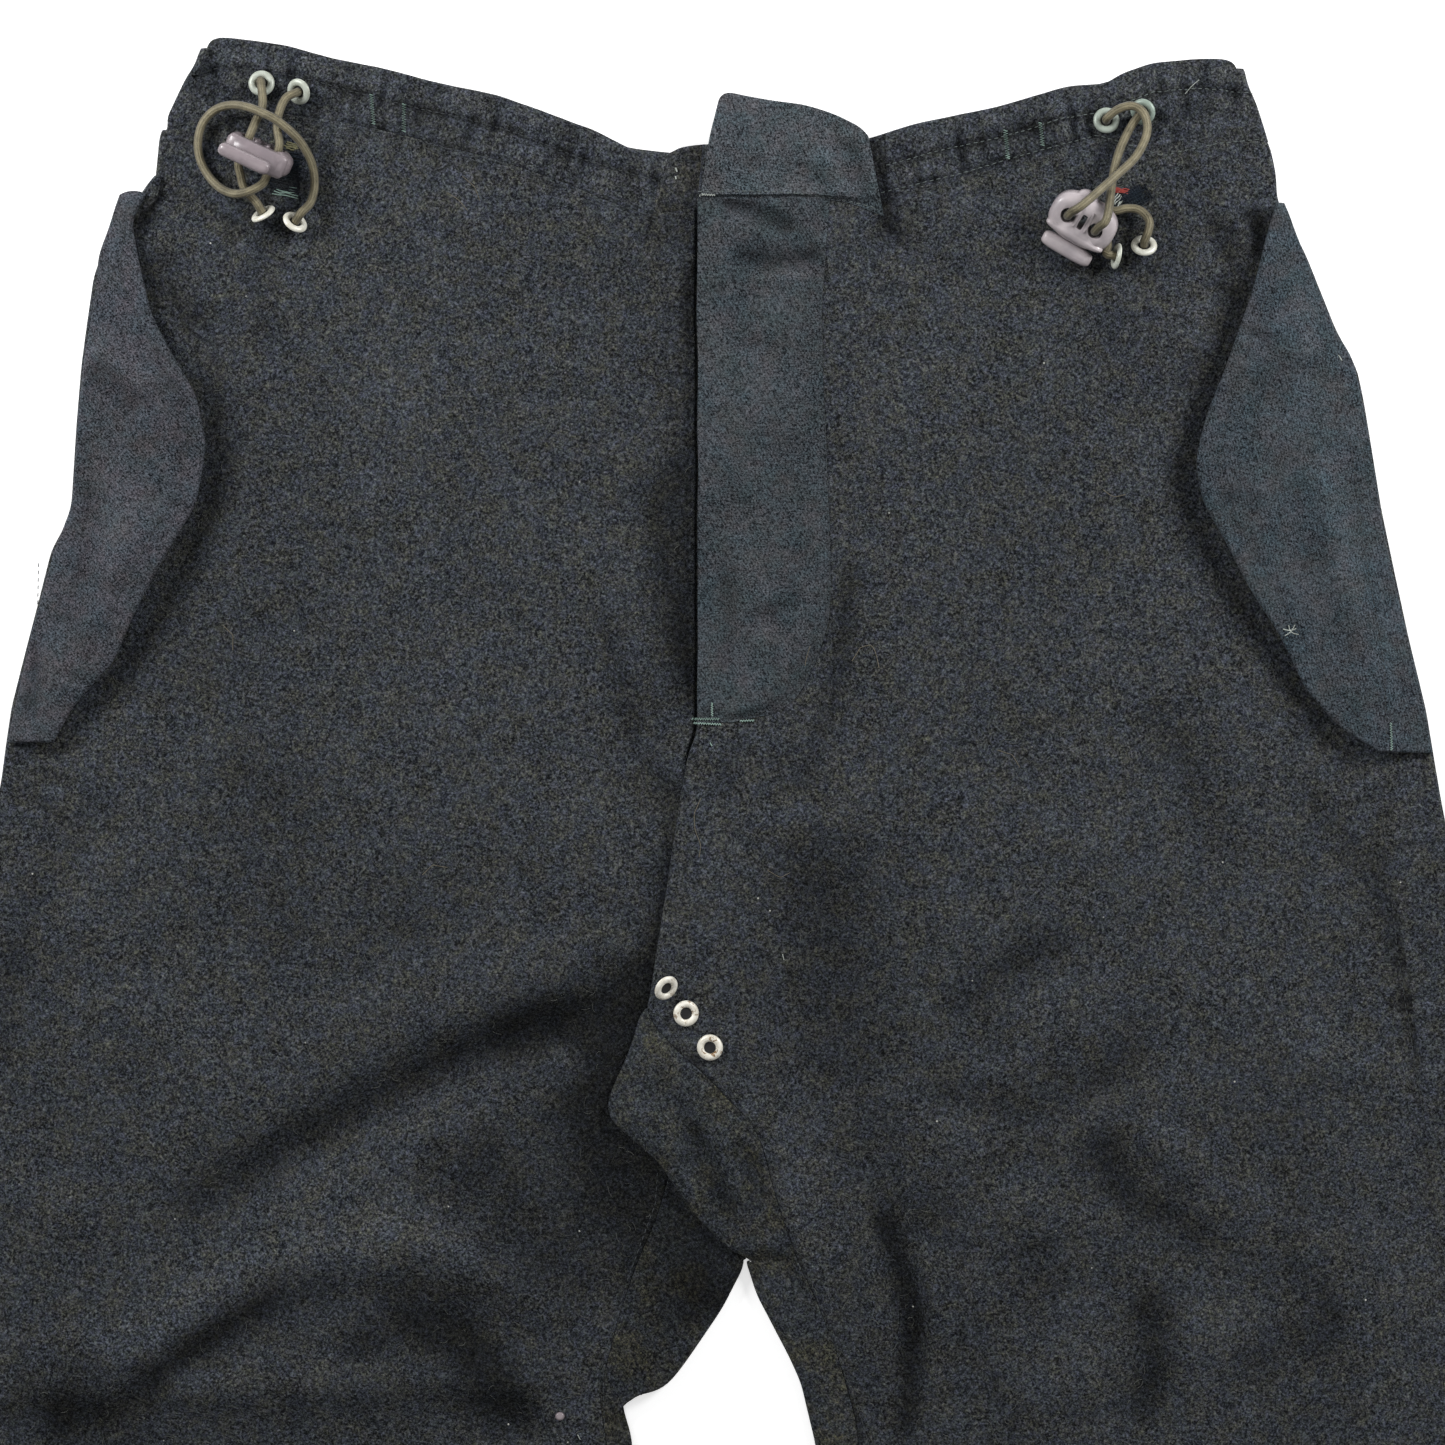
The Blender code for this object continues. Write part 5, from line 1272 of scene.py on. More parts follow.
sideLine = {   # outline of each side, (across, down)
    "right": [(206, 16), (208.4, 17.4), (210.8, 22), (211.4, 25.6), (214.2, 28.2), (216.8, 33.2),
              (220, 40.4), (223, 47.4),
              (225.6, 53), (226.4, 62), (227.6, 74), (228.2, 80), (236, 84), (246, 94), (252, 110),
              (255, 131), (257, 146),
              (259, 170), (261, 202), (264, 211), (269, 220), (274, 240), (280, 263), (285, 283),
              (287.5, 300), (289, 312),
              (293, 330), (297, 350), (306, 400), (318, 505), (324, 600), (328, 800), (331, 1034)],
    "left": [(200, 22), (206.6, 24.6), (209.4, 28), (210.2, 33.2), (213.8, 40.4), (217, 50), (219.8, 59.6),
             (221.8, 68.8),
             (222.4, 80), (226, 86), (234, 102), (240, 117), (246, 132), (251, 141), (254.5, 148),
             (257, 160), (260, 178),
             (264, 203), (269, 227), (275, 255), (282, 284), (288, 320), (294, 350), (303, 400), (318, 505),
             (324, 600),
             (328, 800), (331, 1034)],
}


def toSide(side, reach):   # moves a sheet's end to the garment's outline, less the roll at the fold
    def reshape(sides):
        turn = 0 if side == "right" else 2
        line = resample(sides[turn], np.linspace(0, 1, 40))
        across = np.interp(centreDown - line[:, 1] / mm, *np.array(sideLine[side]).T[::-1])
        line[:, 0] = (across - reach) * mm * (-1 if side == "right" else 1)
        after, before = (turn + 1) % 4, (turn - 1) % 4
        sides[turn] = line
        sides[after] = np.concatenate(([line[-1]], sides[after][1:]))
        sides[before] = np.concatenate((sides[before][:-1], [line[0]]))
        return sides
    return reshape


backs = {
    "right": {"joins": "left", "starts": 51.7,
              "under": [(-220, 51), (-328.4, 1003.7), (-63.3, 1003.7), (-0.15, 87.3)],
              "strip": [(-220, 51), (-328.4, 1003.7), (-324.7, 1003.7), (-217.6, 51)],
              "seams": [seam((-222, 80), (-242, 130), (-250, 202), (-268, 263), (-276, 308), groove=0,
                             pucker=0.35),
                        seam((-280, 322), (-296, 345), (-300, 400), (-314, 505), (-318, 600), groove=0,
                             pucker=0.5)]},
    "left": {"joins": "right", "starts": 56.2,
             "under": [(0.15, 78.8), (76, 1003.7), (328.6, 1003.7), (214, 53)],
             "strip": [(209, 53), (315.7, 1003.7), (328.6, 1003.7), (214, 53)],
             "seams": [seam((216, 80), (236, 132), (252, 203), (262, 284), (268, 320), groove=0,
                            pucker=0.35),
                       seam((268, 320), (273, 360), (278, 400), (290, 505), (300, 600), groove=0,
                            pucker=0.9, reach=9,
                            wave=12)]},
}


def makeBack(side, settings):
    way = 1 if side == "left" else -1
    node = "back_" + side
    radius, wall = 2.35, 2.0
    under, _ = fourSides(node, settings["under"], 0.95, -1, -1.0, 0.5)
    strip, _ = fourSides(node, settings["strip"], 0.95, 1, 3.5, 6.0)
    if way > 0:   # both sheets run from the inner edge of the panel to the side, then to the seam
        inner, outer, seamLine = under[0], under[2][::-1], strip[0]
    else:
        inner, outer, seamLine = under[2][::-1], under[0], strip[2][::-1]
    v = spread(lengthOf(outer), 2.2, wall / 2, 8.0, 0.56)
    inner, outer, seamLine = (resample(line, v) for line in (inner, outer, seamLine))
    for line in (outer, seamLine):   # their tops move down to the lower edge of the casing
        down = centreDown - line[:, 1] / mm
        near = np.maximum(1 - (down - down[0]) / 14, 0)
        line[:, 1] -= (settings["starts"] - down[0]) * near * mm
    traced = np.array(sideLine[side])
    down = centreDown - outer[:, 1] / mm
    outer[:, 0] = way * (np.interp(down, traced[:, 1], traced[:, 0]) - radius) * mm
    outer[:, 0] -= way * 0.5 * mm * np.maximum(1 - (down - down[0]) / 4, 0) ** 2
    inner, outer = relaxLine(inner, 4), relaxLine(outer, 2)
    joined = nearestOn(edges["front_" + side][settings["joins"]], seamLine)[1]
    joined[:, 0] -= way * 0.12 * mm
    seamLine = joined
    columns = [inner + (outer - inner) * share for share in np.linspace(0, 1, 22)[:-1]]
    for degrees in range(0, 181, 18):
        turn = math.radians(degrees)
        column = outer.copy()
        column[:, 0] += way * radius * mm * math.sin(turn)
        column[:, 2] = radius * mm * (1 - math.cos(turn))
        columns.append(column)
    first = len(columns)
    for share in np.concatenate((np.linspace(0.06, 0.94, 12), [0.97, 0.99, 1.0])):
        column = columns[first - 1] * (1 - share) + seamLine * share
        columns.append(column)
    grid = np.stack(columns, axis=1)
    x, y = acrossDown(grid[:, first:])
    rise = np.clip(0.3 * ripples(x, y, 41, 9, 40) + seamHeight(x, y, settings["seams"]), -0.6, 0.9) * mm
    rise[:, -3:] *= (0.7, 0.35, 0.0)
    rise[:, :5] *= np.linspace(0.2, 1.0, 5)
    grid[:, first:, 2] += rise
    inside = grid + normalsOf(grid) * way * wall * mm
    wearing = 0.5 * mm * smoothStep(ripples(*acrossDown(grid), 43, 30, 120) - 0.55)
    grid[:, 1:, 2] += np.where(grid[:, 1:, 2] < 0.01 * mm, wearing[:, 1:], 0.0)
    piece = closedSheet("cloth_" + node, grid, inside, finish["wool"])
    edges[node] = {"top": grid[0, first - 5:].copy()}
    finishSheet(piece, node, {})


for side, settings in backs.items():
    makeBack(side, settings)


# Waistband, fly, flaps, gusset and inner legs

def casingSides(side):   # its lower edge is the front's top edge; its ends follow the fly and outline
    def reshape(sides):
        joined = edges["front_" + side]["top"] - (0, 0.12 * mm, 0)
        if side == "left":
            corner = np.array([[215.8 * mm, place(0, 56.1).y, joined[-1, 2]]])
            sides[1] = np.concatenate((joined, corner))
            sides[2] = np.concatenate((corner, sides[2][1:]))
            sides[0] = np.concatenate((sides[0][:-1], [joined[0]]))
            return toSide("left", 3.4)(sides)
        end = resample(sides[2], np.linspace(0, 1, 30))
        end[:, 0] = np.interp(centreDown - end[:, 1] / mm, [62, 66, 74, 87],
                              [-21.4, -22.4, -26.2, -27.8]) * mm
        joined = joined[joined[:, 0] < end[0, 0] - 0.5 * mm]
        corner = np.array([[-221.0 * mm, place(0, 51.6).y, joined[0, 2]]])
        sides[1] = np.concatenate((corner, joined, [end[0]]))
        sides[0] = np.concatenate((sides[0][:-1], corner))
        sides[3] = np.concatenate(([end[-1]], sides[3][1:]))
        sides[2] = end
        return toSide("right", 3.4)(sides)
    return reshape


def underlapSides(sides):   # it reaches the casing's slanting end
    left = resample(sides[0], np.linspace(0, 1, 240))
    down = centreDown - left[:, 1] / mm
    left[:, 0] = np.interp(down, [62, 66, 74, 87, 100], [-21.2, -22.2, -26.0, -27.6, -21.0]) * mm
    return [left, np.concatenate(([left[-1]], sides[1][1:])), sides[2],
            np.concatenate((sides[3][:-1], [left[0]]))]


def underlapShape(grid, x, y):   # as high as the casing, then down under the fronts
    grid[..., 2] += 1.6 * mm * (1 - grown(y, 81.5, 2.2)) - 1.1 * mm * grown(y, 81.5, 2.2)


def tabShape(grid, x, y):   # comes down to the placket; its lower right corner lies flat
    grid[..., 2] -= 0.8 * mm * grown(y, 56, 20)
    grid[..., 2] += 0.9 * mm * np.exp(-((x - 57) / 5) ** 2) * (1 - grown(y, 72, 12))
    grid[..., 2] += 0.7 * mm * np.exp(-(((x - 3) / 5) ** 2 + ((y - 41) / 5) ** 2))


def tabSides(sides):   # its lower edge meets the placket
    left, bottom, right, top = (side.copy() for side in sides)
    bottom[:, 1] = np.where(bottom[:, 0] < 43.5 * mm, np.minimum(bottom[:, 1], place(0, 79.75).y),
                            bottom[:, 1])
    corner = np.array([place(*spot, top[-1, 2] / mm) for spot in ((4, 37.3), (1.8, 36.4), (-0.2, 37.2),
                                                                  (-1.3, 38.8), (-1.8, 40.8))])
    top = np.concatenate((top[top[:, 0] > 7 * mm], corner))
    left = np.concatenate((corner[-1:], left[left[:, 1] < place(0, 41.6).y]))
    left[-1], right[0] = bottom[0], bottom[-1]
    return [left, bottom, right, top]


def roundTop(rise):   # the fold at a flap's top bows upwards
    def reshape(sides):
        top = resample(sides[3], np.linspace(0, 1, 24))
        top[:, 1] += rise * mm * np.sin(np.linspace(0, math.pi, 24)) ** 0.7
        return [sides[0], sides[1], sides[2], top]
    return reshape


def flapRightShape(grid, x, y):   # the cloth rolls at the top corner
    grid[..., 2] += 2.2 * mm * np.exp(-(((x + 238) / 7) ** 2 + ((y - 84) / 7) ** 2))


def flapLeftShape(grid, x, y):
    grid[..., 2] += 2.0 * mm * np.exp(-(((x - 225) / 5) ** 2 + ((y - 87) / 6) ** 2))


flapCloth = {
    "slot": "twill_facing", "step": 1.8, "ripple": 0.5, "calm": 6, "press": 1.5, "creaseShading": 0.09,
    "seamShading": 0.22,
}
# each sheet's streaks are painted shade and light, as on the fronts
sheets = {
    "waistband_front_right": {
        "corners": [(-209, 17), (-224, 50), (-21.3, 86.8), (-21.3, 61.5)], "finish": "woolCasing",
        "thick": 3.0,
        "lean": 0.8, "step": 1.5, "ripple": 0.8, "calm": 4, "seed": 35, "round": 4, "soften": 22,
        "held": ("bottom",),
        "press": 1.7, "creaseShading": 0.14, "seamShading": 0.5,
        "rims": {"bottom": 0.1, "right": 0.5}, "reshape": casingSides("right"),
        "meets": [("bottom", "front_right", "top", 7), ("bottom", "back_right", "top", 5)],
        "creases": [crease(1.0, 4, (-196, 20), (-194, 28), (-196, 40)),
                    crease(-1.1, 3, (-180, 30), (-181, 40), (-178, 52)),
                    crease(1.2, 5, (-164, 20), (-163, 30), (-160, 44)),
                    crease(-1.0, 3.5, (-150, 24), (-149, 36), (-151, 48)),
                    crease(0.9, 4, (-138, 30), (-136, 40), (-138, 54)),
                    crease(-1.1, 3.5, (-122, 30), (-121, 42), (-123, 56)),
                    crease(0.9, 5, (-108, 36), (-106, 48), (-107, 60)),
                    crease(-0.9, 3.5, (-92, 40), (-91, 52), (-92, 66)),
                    crease(1.0, 5, (-76, 44), (-75, 58), (-78, 70)),
                    crease(-1.3, 4, (-62, 46), (-60, 60), (-62, 76)),
                    crease(1.0, 5, (-48, 54), (-46, 66), (-48, 80)),
                    crease(-1.0, 4, (-36, 58), (-35, 70), (-36, 84)),
                    crease(-1.1, 3, (-170, 26), (-171, 34), (-169, 42)),
                    crease(1.0, 3, (-144, 26), (-144, 38)),
                    crease(-1.0, 3, (-114, 34), (-115, 46)), crease(1.0, 3, (-84, 42), (-84, 56)),
                    crease(-1.2, 4, (-206, 24), (-204, 34), (-207, 44))],
        "seams": [seam((-211, 30), (-202, 27), (-173, 30), (-131, 41), (-89, 51), (-52, 65), (-24, 73),
                       groove=0.8, pucker=0.9, reach=8, wave=8.5),
                  seam((-219, 50), (-180, 45), (-131, 54), (-89, 65), (-52, 79), (-24, 88), groove=0.5,
                       pucker=0.8,
                       reach=7, wave=9.5)],
        "streaks": [(-0.3, 4, (-214, 34), (-180, 38), (-150, 46)),
                    (-0.3, 5, (-150, 50), (-120, 50), (-96, 56)),
                    (0.16, 5, (-206, 22), (-170, 25), (-120, 36), (-70, 50)),
                    (-0.3, 3, (-28, 66), (-26, 76), (-24, 84)),
                    (-0.25, 4, (-62, 56), (-60, 66), (-62, 78)),
                    (-0.25, 3.5, (-40, 60), (-38, 70), (-39, 82)),
                    (-0.34, 2.2, (-211, 30), (-173, 30), (-131, 41), (-89, 51), (-52, 65), (-24, 73)),
                    (-0.3, 2.4, (-219, 50), (-180, 45), (-131, 54), (-89, 65), (-52, 79), (-24, 88)),
                    (0.2, 9, (-98, 58), (-84, 60), (-70, 66))],
        "skirt": {"side": "left", "reach": 3.4, "middle": 2.5}, "rests": ["waistband_back", "back_right"]},
    "waistband_front_left": {
        "corners": [(-8, 58), (-8, 78), (218, 51), (208, 27)], "finish": "woolCasing", "thick": 3.0,
        "lean": 0.8, "step": 1.5, "ripple": 0.8, "calm": 4, "seed": 37, "round": 4, "soften": 22,
        "held": ("bottom",),
        "press": 1.7, "creaseShading": 0.14, "seamShading": 0.5,
        "rims": {"bottom": 0.1}, "reshape": casingSides("left"),
        "meets": [("bottom", "front_left", "top", 7), ("bottom", "back_left", "top", 5)],
        "creases": [crease(1.0, 4, (196, 24), (198, 34), (202, 46)),
                    crease(-1.2, 3, (186, 40), (185, 44), (186, 50)),
                    crease(-1.3, 3, (174.5, 44), (173, 52), (170.5, 60)),
                    crease(1.0, 4, (180, 26), (180, 38), (178, 52)),
                    crease(-1.0, 3.5, (192, 40), (193, 46), (192, 52)),
                    crease(0.9, 5, (162, 32), (163, 42), (161, 54)),
                    crease(-0.9, 4, (150, 36), (149, 48), (150, 58)),
                    crease(0.9, 5, (136, 40), (136, 50), (137, 60)),
                    crease(-1.0, 4, (124, 40), (123, 52), (124, 62)),
                    crease(0.9, 4, (110, 44), (111, 56), (110, 66)),
                    crease(-1.1, 3.5, (96, 48), (97, 60), (96, 70)),
                    crease(1.0, 5, (84, 52), (83, 62), (84, 74)),
                    crease(-0.9, 4, (72, 56), (72, 66), (73, 76)),
                    crease(-1.4, 3, (180, 68.5), (192, 67.6), (204, 66)),
                    crease(-1.2, 3, (118, 47), (119, 53)), crease(1.1, 3, (131, 44), (132, 54)),
                    crease(-1.1, 3, (203, 32), (204, 42), (205, 52)),
                    crease(-1.0, 3, (142, 42), (143, 52))],
        "seams": [seam((66, 66), (93, 58.6), (110, 55.4), (138, 47), (154, 44), (172, 37), (191, 35.4),
                       (212, 37),
                       groove=0.8, pucker=0.9, reach=8, wave=8.5, thread="threadGrey"),
                  seam((64, 77), (93, 70), (124, 61), (150, 54), (176, 62.4), (186, 60), (198, 57.4),
                       (214, 55.6),
                       groove=0.6, pucker=0.8, reach=7, wave=9, thread="threadGrey")],
        "streaks": [(-0.35, 4, (84, 62), (104, 56), (124, 52), (140, 46)),
                    (-0.4, 3, (178, 68.6), (192, 67.4), (204, 66)),
                    (-0.35, 3, (171, 40), (172, 50), (169, 62)), (-0.5, 3.5, (59, 56), (62, 66), (66, 80)),
                    (-0.3, 3, (186, 42), (185, 48)), (0.16, 5, (70, 52), (110, 44), (150, 38), (190, 28)),
                    (-0.34, 2.2, (66, 66), (93, 58.6), (110, 55.4), (138, 47), (154, 44)),
                    (-0.34, 2.2, (166, 38), (191, 35.4), (212, 37)),
                    (-0.34, 2.4, (64, 77), (93, 70), (124, 61), (144, 55)),
                    (-0.3, 2.4, (174, 63), (198, 57.4), (214, 55.6))],
        "skirt": {"side": "right", "reach": 3.4, "middle": 2.5}, "rests": ["waistband_back", "back_left"]},
    "fly_underlap": {
        "corners": [(-20.9, 57.5), (-20.7, 280), (30, 280), (34, 57.5)], "finish": "underlap",
        "slot": "brown_facing",
        "thick": 1.2, "step": 2.4, "ripple": 0.3, "calm": 4, "reshape": underlapSides,
        "shape": underlapShape,
        "held": ("left",), "rims": {"left": 0.3}, "meets": [("left", "waistband_front_right", "right", 5)],
        "rests": ["back_right", "back_left"], "soften": 4,
        "creases": [crease(1.0, 4, (-24, 66), (-20, 72), (-19, 80)),
                    crease(-0.9, 3, (-13, 62), (-14, 72), (-12, 80))],
        "seams": [seam((-20, 64.8), (-12, 64.6), (0, 64), groove=0.3, pucker=0.1)]},
    "fly_placket": {
        "corners": [(-10, 79.8), (-10, 289), (4, 289), (43, 79.8)], "finish": "twill",
        "slot": "twill_facing",
        "wide": 54, "step": 1.6, "ripple": 0.4, "calm": 5, "seed": 21, "thick": 1.5,
        "rests": ["front_left"],
        "rims": {"top": 0.04, "right": 0.08, "bottom": 0.08, "left": 0.7}, "held": ("left", "top"),
        "press": 1.4, "creaseShading": 0.09, "flush": ("top",),
        "thin": {"right": (0.3, 12), "bottom": (0.3, 12)},
        "lies": [("right", ["front_left"], 9, 0.42), ("bottom", ["front_left"], 9, 0.42)],
        "creases": [crease(-1.9, 3.2, (-3, 79), (10, 83), (20, 87), (30, 93), ends=0.12),
                    crease(1.2, 4.5, (0, 89), (14, 94), (28, 99)),
                    crease(-1.8, 3.4, (2, 102), (18, 105.5), (32, 105.5), (43, 101), ends=0.12),
                    crease(1.3, 4, (6, 111), (20, 112), (38, 109)),
                    crease(-1.0, 4, (-4, 134), (8, 140), (24, 138)),
                    crease(-0.9, 6, (6, 176), (22, 182), (36, 178)),
                    crease(-1.3, 4, (6, 250), (20, 247), (34, 238)),
                    crease(-1.0, 3.5, (0, 224), (3, 250), (1, 280)),
                    crease(0.8, 5, (10, 220), (13, 250), (20, 270))],
        "seams": [seam((41, 103), (39.5, 125), (42, 198), (43, 240), (40, 256), (33, 272), (24, 282),
                       (8, 287.5),
                       groove=0.3, pucker=0.3, reach=4, wave=7)],
        "streaks": [(-0.16, 3, (2, 220), (3, 250), (1, 284)), (-0.5, 4, (-2, 80), (14, 85), (30, 93)),
                    (-0.16, 8, (-4, 112), (6, 122), (2, 134)),
                    (-0.4, 4, (2, 102), (20, 105.5), (43, 101)), (-0.2, 8, (4, 98), (24, 100), (40, 96))]},
    "fly_tab": {
        "corners": [(0.5, 37.5), (-9, 77.5), (64.5, 86.5), (58, 55)], "finish": "twillTab",
        "slot": "twill_facing",
        "step": 1.6, "ripple": 0.35, "calm": 5, "seed": 23, "thick": 1.4,
        "rests": ["fly_placket", "front_left"],
        "rims": {"bottom": 0.04, "left": 0.6, "top": 0.7, "right": 0.5}, "reshape": tabSides,
        "shape": tabShape, "press": 1.5, "seamShading": 0.6,
        "streaks": [(-0.4, 5, (44, 84), (56, 85), (66, 87)), (-0.3, 4, (50, 56), (54, 68), (60, 80)),
                    (-0.14, 5, (20, 64), (34, 70), (44, 78)), (-0.2, 3, (4, 44), (8, 52), (5, 60))],
        "held": ("top",), "thin": {"bottom": (0.3, 9)}, "lies": [("bottom", ["front_left"], 12, 0.42)],
        "meets": [("bottom", "fly_placket", "top", 9)], "flush": ("bottom",),
        "creases": [crease(-1.3, 4, (49, 54), (52, 66), (56, 82)),
                    crease(0.9, 5, (38, 60), (42, 72), (46, 82)),
                    crease(-0.8, 6, (8, 50), (12, 60), (10, 72)),
                    crease(-1.0, 4, (22, 64), (34, 70), (46, 80))],
        "seams": [seam((-9, 77.2), (12, 77), (22, 77.4), (45, 79.4), (60, 83), groove=0.1, pucker=0.3,
                       reach=5,
                       thread="threadGrey")]},
    "pocket_flap_right": {
        "corners": [(-241, 78), (-286, 297), (-267, 297), (-230, 78)], "finish": "twillRight",
        **flapCloth, "wide": 52, "reshape": roundTop(1.5), "seed": 25,
        "rests": ["front_right", "back_right"],
        "shape": flapRightShape, "held": ("left",),
        "creases": [crease(2.2, 4.5, (-256, 134), (-248, 142), (-238, 152), (-222, 160)),
                    crease(-1.6, 5, (-254, 146), (-244, 154), (-230, 166)),
                    crease(-1.2, 5, (-218, 150), (-213, 170), (-214, 190)),
                    crease(1.2, 7, (-240, 180), (-238, 205), (-246, 240)),
                    crease(-1.2, 6, (-252, 190), (-254, 225), (-264, 262)),
                    crease(-1.2, 4, (-274, 262), (-277, 280), (-276, 292))],
        "seams": [seam((-238, 88), (-241, 110), (-232, 130), (-222, 148), (-214, 165), (-213, 180),
                       (-218, 200),
                       (-228, 216), (-240, 238), (-252, 262), (-266, 284), groove=0.35, pucker=0.6,
                       reach=4.5, wave=9),
                  seam((-274, 226), (-274.5, 250), (-274, 286), groove=0.4, pucker=0.25, reach=4)]},
    "pocket_flap_left": {
        "corners": [(221, 81), (262, 301), (284, 301), (224.5, 81)], "finish": "twillLeft",
        **flapCloth, "wide": 72, "seed": 27, "rests": ["front_left", "back_left"],
        "shape": flapLeftShape, "held": ("right",),
        "creases": [crease(-1.5, 4.5, (197, 200), (206, 202), (216, 205)),
                    crease(1.9, 8, (232, 176), (244, 215), (254, 260), (262, 284)),
                    crease(-1.5, 7, (222, 176), (232, 210), (240, 240)),
                    crease(-1.2, 6, (214, 130), (220, 150), (214, 170)),
                    crease(1.2, 6, (226, 110), (232, 130), (236, 150)),
                    crease(-1.2, 6, (240, 230), (246, 256), (258, 276))],
        "seams": [seam((222, 104), (213, 130), (203, 158), (198, 180), (199, 200), (208, 215), (219, 233),
                       (229, 252),
                       (240, 270), (256, 290), groove=0.35, pucker=0.6, reach=4.5, wave=9),
                  seam((251, 178), (256, 219), (262, 252), (264, 268), (265, 296), groove=0.35, pucker=0.35,
                       reach=4)]},
    "inseam_right": {
        "corners": [(-20.3, 466), (-64.9, 1003.7), (-62.3, 1003.7), (-3.2, 466)], "finish": "woolGusset",
        "wide": 20, "coarse": 8.0, "change": 0.25, "ripple": 0.3, "calm": 3, "seed": 31, "held": ("left",),
        "rims": {"left": 0.08}, "meets": [("left", "front_right", "right", 4)],
        "streaks": [(-0.8, 24, (-30, 462), (-22, 480), (-8, 504), (4, 530)),
                    (-0.2, 14, (-8, 504), (-30, 545), (-44, 590))],
        "seams": [seam((-26, 470), (-27, 482), (-38, 512), (-48, 545), (-47, 580), groove=0.2, pucker=0.6,
                       reach=5, wave=8)],
        "skirt": {"side": "right", "reach": 2.2, "middle": 2.4, "until": 505.5, "lies": 2.55},
        "rests": ["back_right"]},
    "inseam_left": {
        "corners": [(12, 505), (73, 1003.7), (77.3, 1003.7), (29.8, 505)], "finish": "woolGusset",
        "wide": 20, "coarse": 8.0, "change": 0.18, "ripple": 0.3, "calm": 3, "seed": 33, "held": ("right",),
        "rims": {"right": 0.08, "top": 0.08}, "meets": [("right", "front_left", "left", 4)],
        "skirt": {"side": "left", "reach": 2.2, "middle": 2.4}, "rests": ["back_left"]},
    "gusset_fold": {
        "corners": [(-32.4, 403), (7.4, 504.6), (29.5, 504.6), (-31.9, 403)], "finish": "woolGusset",
        "wide": 58,
        "step": 1.7, "ripple": 0.4, "calm": 4, "seed": 29, "rests": ["front_right"], "held": ("right",),
        "rims": {"right": 0.1, "bottom": 0.08, "top": 0.3},
        "meets": [("right", "front_left", "left", 5), ("bottom", "inseam_left", "top", 8)],
        "creases": [crease(-2.8, 4.0, (-18, 444), (-10, 457), (-2, 472), (6, 492)),
                    crease(-2.4, 4, (5, 454), (10, 466), (18, 482)),
                    crease(1.6, 4.5, (-4, 446), (4, 462), (12, 484)),
                    crease(-1.8, 5, (4, 420), (9, 434), (13, 448)),
                    crease(-1.3, 4, (-30, 428), (-20, 440), (-12, 448)),
                    crease(1.4, 5, (-36, 440), (-26, 452), (-14, 466)),
                    crease(1.2, 4, (-30, 414), (-26, 424), (-30, 436))],
        "seams": [seam((-28, 412), (-20, 423), (-10, 432), (2, 440), (10, 449), (14, 458), groove=0.0,
                       pucker=0.5,
                       reach=5, wave=8)],
        "streaks": [(-0.4, 5, (-15, 448), (-4, 470), (6, 494)),
                    (-0.35, 4.5, (5, 456), (11, 468), (18, 482)),
                    (-0.3, 5, (3, 418), (9, 434), (13, 450))]},
}
for name, settings in sheets.items():
    cloth(name, settings)


# Casing at the back, and the turned hems: plain tubes of cloth

cloth("waistband_back", {
    "corners": [(-209, 22), (-220, 50), (212, 52), (203, 26)], "finish": "woolCasing", "thick": 2.0,
    "step": 4.0,
    "ripple": 0.1, "calm": 5, "sway": 0.1, "seed": 51})


def hemRing(low, high, level, skin, share):   # one cross-section of a hem's outer or inner skin
    radius = 2.35 - skin * 0.8
    bottom, middle = skin, 2.35
    reach = high - low - 2 * radius
    turns = np.linspace(0.25, math.pi - 0.25, 9)
    ring = [(low + radius + reach * step, bottom) for step in np.linspace(0, 1, 20)]
    ring += [(high - radius + radius * math.sin(turn),
              middle - (middle - bottom) * math.cos(turn)) for turn in turns]
    for step in np.linspace(0, 1, 60):
        wave = 0.25 * float(ripples(np.array(step * 230.0), np.array(share * 30.0), 53, 12, 50))
        loft = 2.0 * math.sin(math.pi * step) ** 0.6 + wave
        ring.append((high - radius - reach * step, 4.7 - skin + max(loft, 0.0)))
    ring += [(low + radius - radius * math.sin(turn),
              middle + (middle - bottom) * math.cos(turn)) for turn in turns]
    return [(x * mm, level, z * mm) for x, z in ring]


def makeHem(side):   # a closed tube round the end of the leg, its cloth turned in
    node = "hem_" + side
    points = np.array([tuple(v.co) for v in nodes[node].data.vertices])
    ends = []
    for level in (points[:, 1].max(), points[:, 1].min()):
        here = points[np.abs(points[:, 1] - level) < 0.0002]
        ends.append((here[:, 0].min() / mm, here[:, 0].max() / mm, level))
    rows = []
    stations = np.linspace(0, 1, 17)
    for skin, order in ((0.0, stations), (2.0, stations[::-1])):
        for share in order:
            low, high, level = (a + (b - a) * share for a, b in zip(*ends))
            rows.append(hemRing(low + skin, high - skin, level, skin, share))
    count = len(rows[0])
    faces = []
    for r in range(len(rows)):
        after = (r + 1) % len(rows)
        for c in range(count):
            d = (c + 1) % count
            faces.append((r * count + c, after * count + c, after * count + d, r * count + d))
    piece = meshObject("cloth_" + node, [point for row in rows for point in row], faces, finish["wool"])
    turnOutwards(piece.data)
    finishSheet(piece, node, {})


for side in ("right", "left"):
    makeHem(side)


# Sewing: stitches along the seams, bartacks, loose threads and hairs

sewing = {
    "pitch": 2.9, "stitchLength": 2.1, "stitchWidth": 0.42, "stitchHeight": 0.30, "rise": 0.10,
    "tackRadius": 0.32, "hairRadius": 0.08,
}


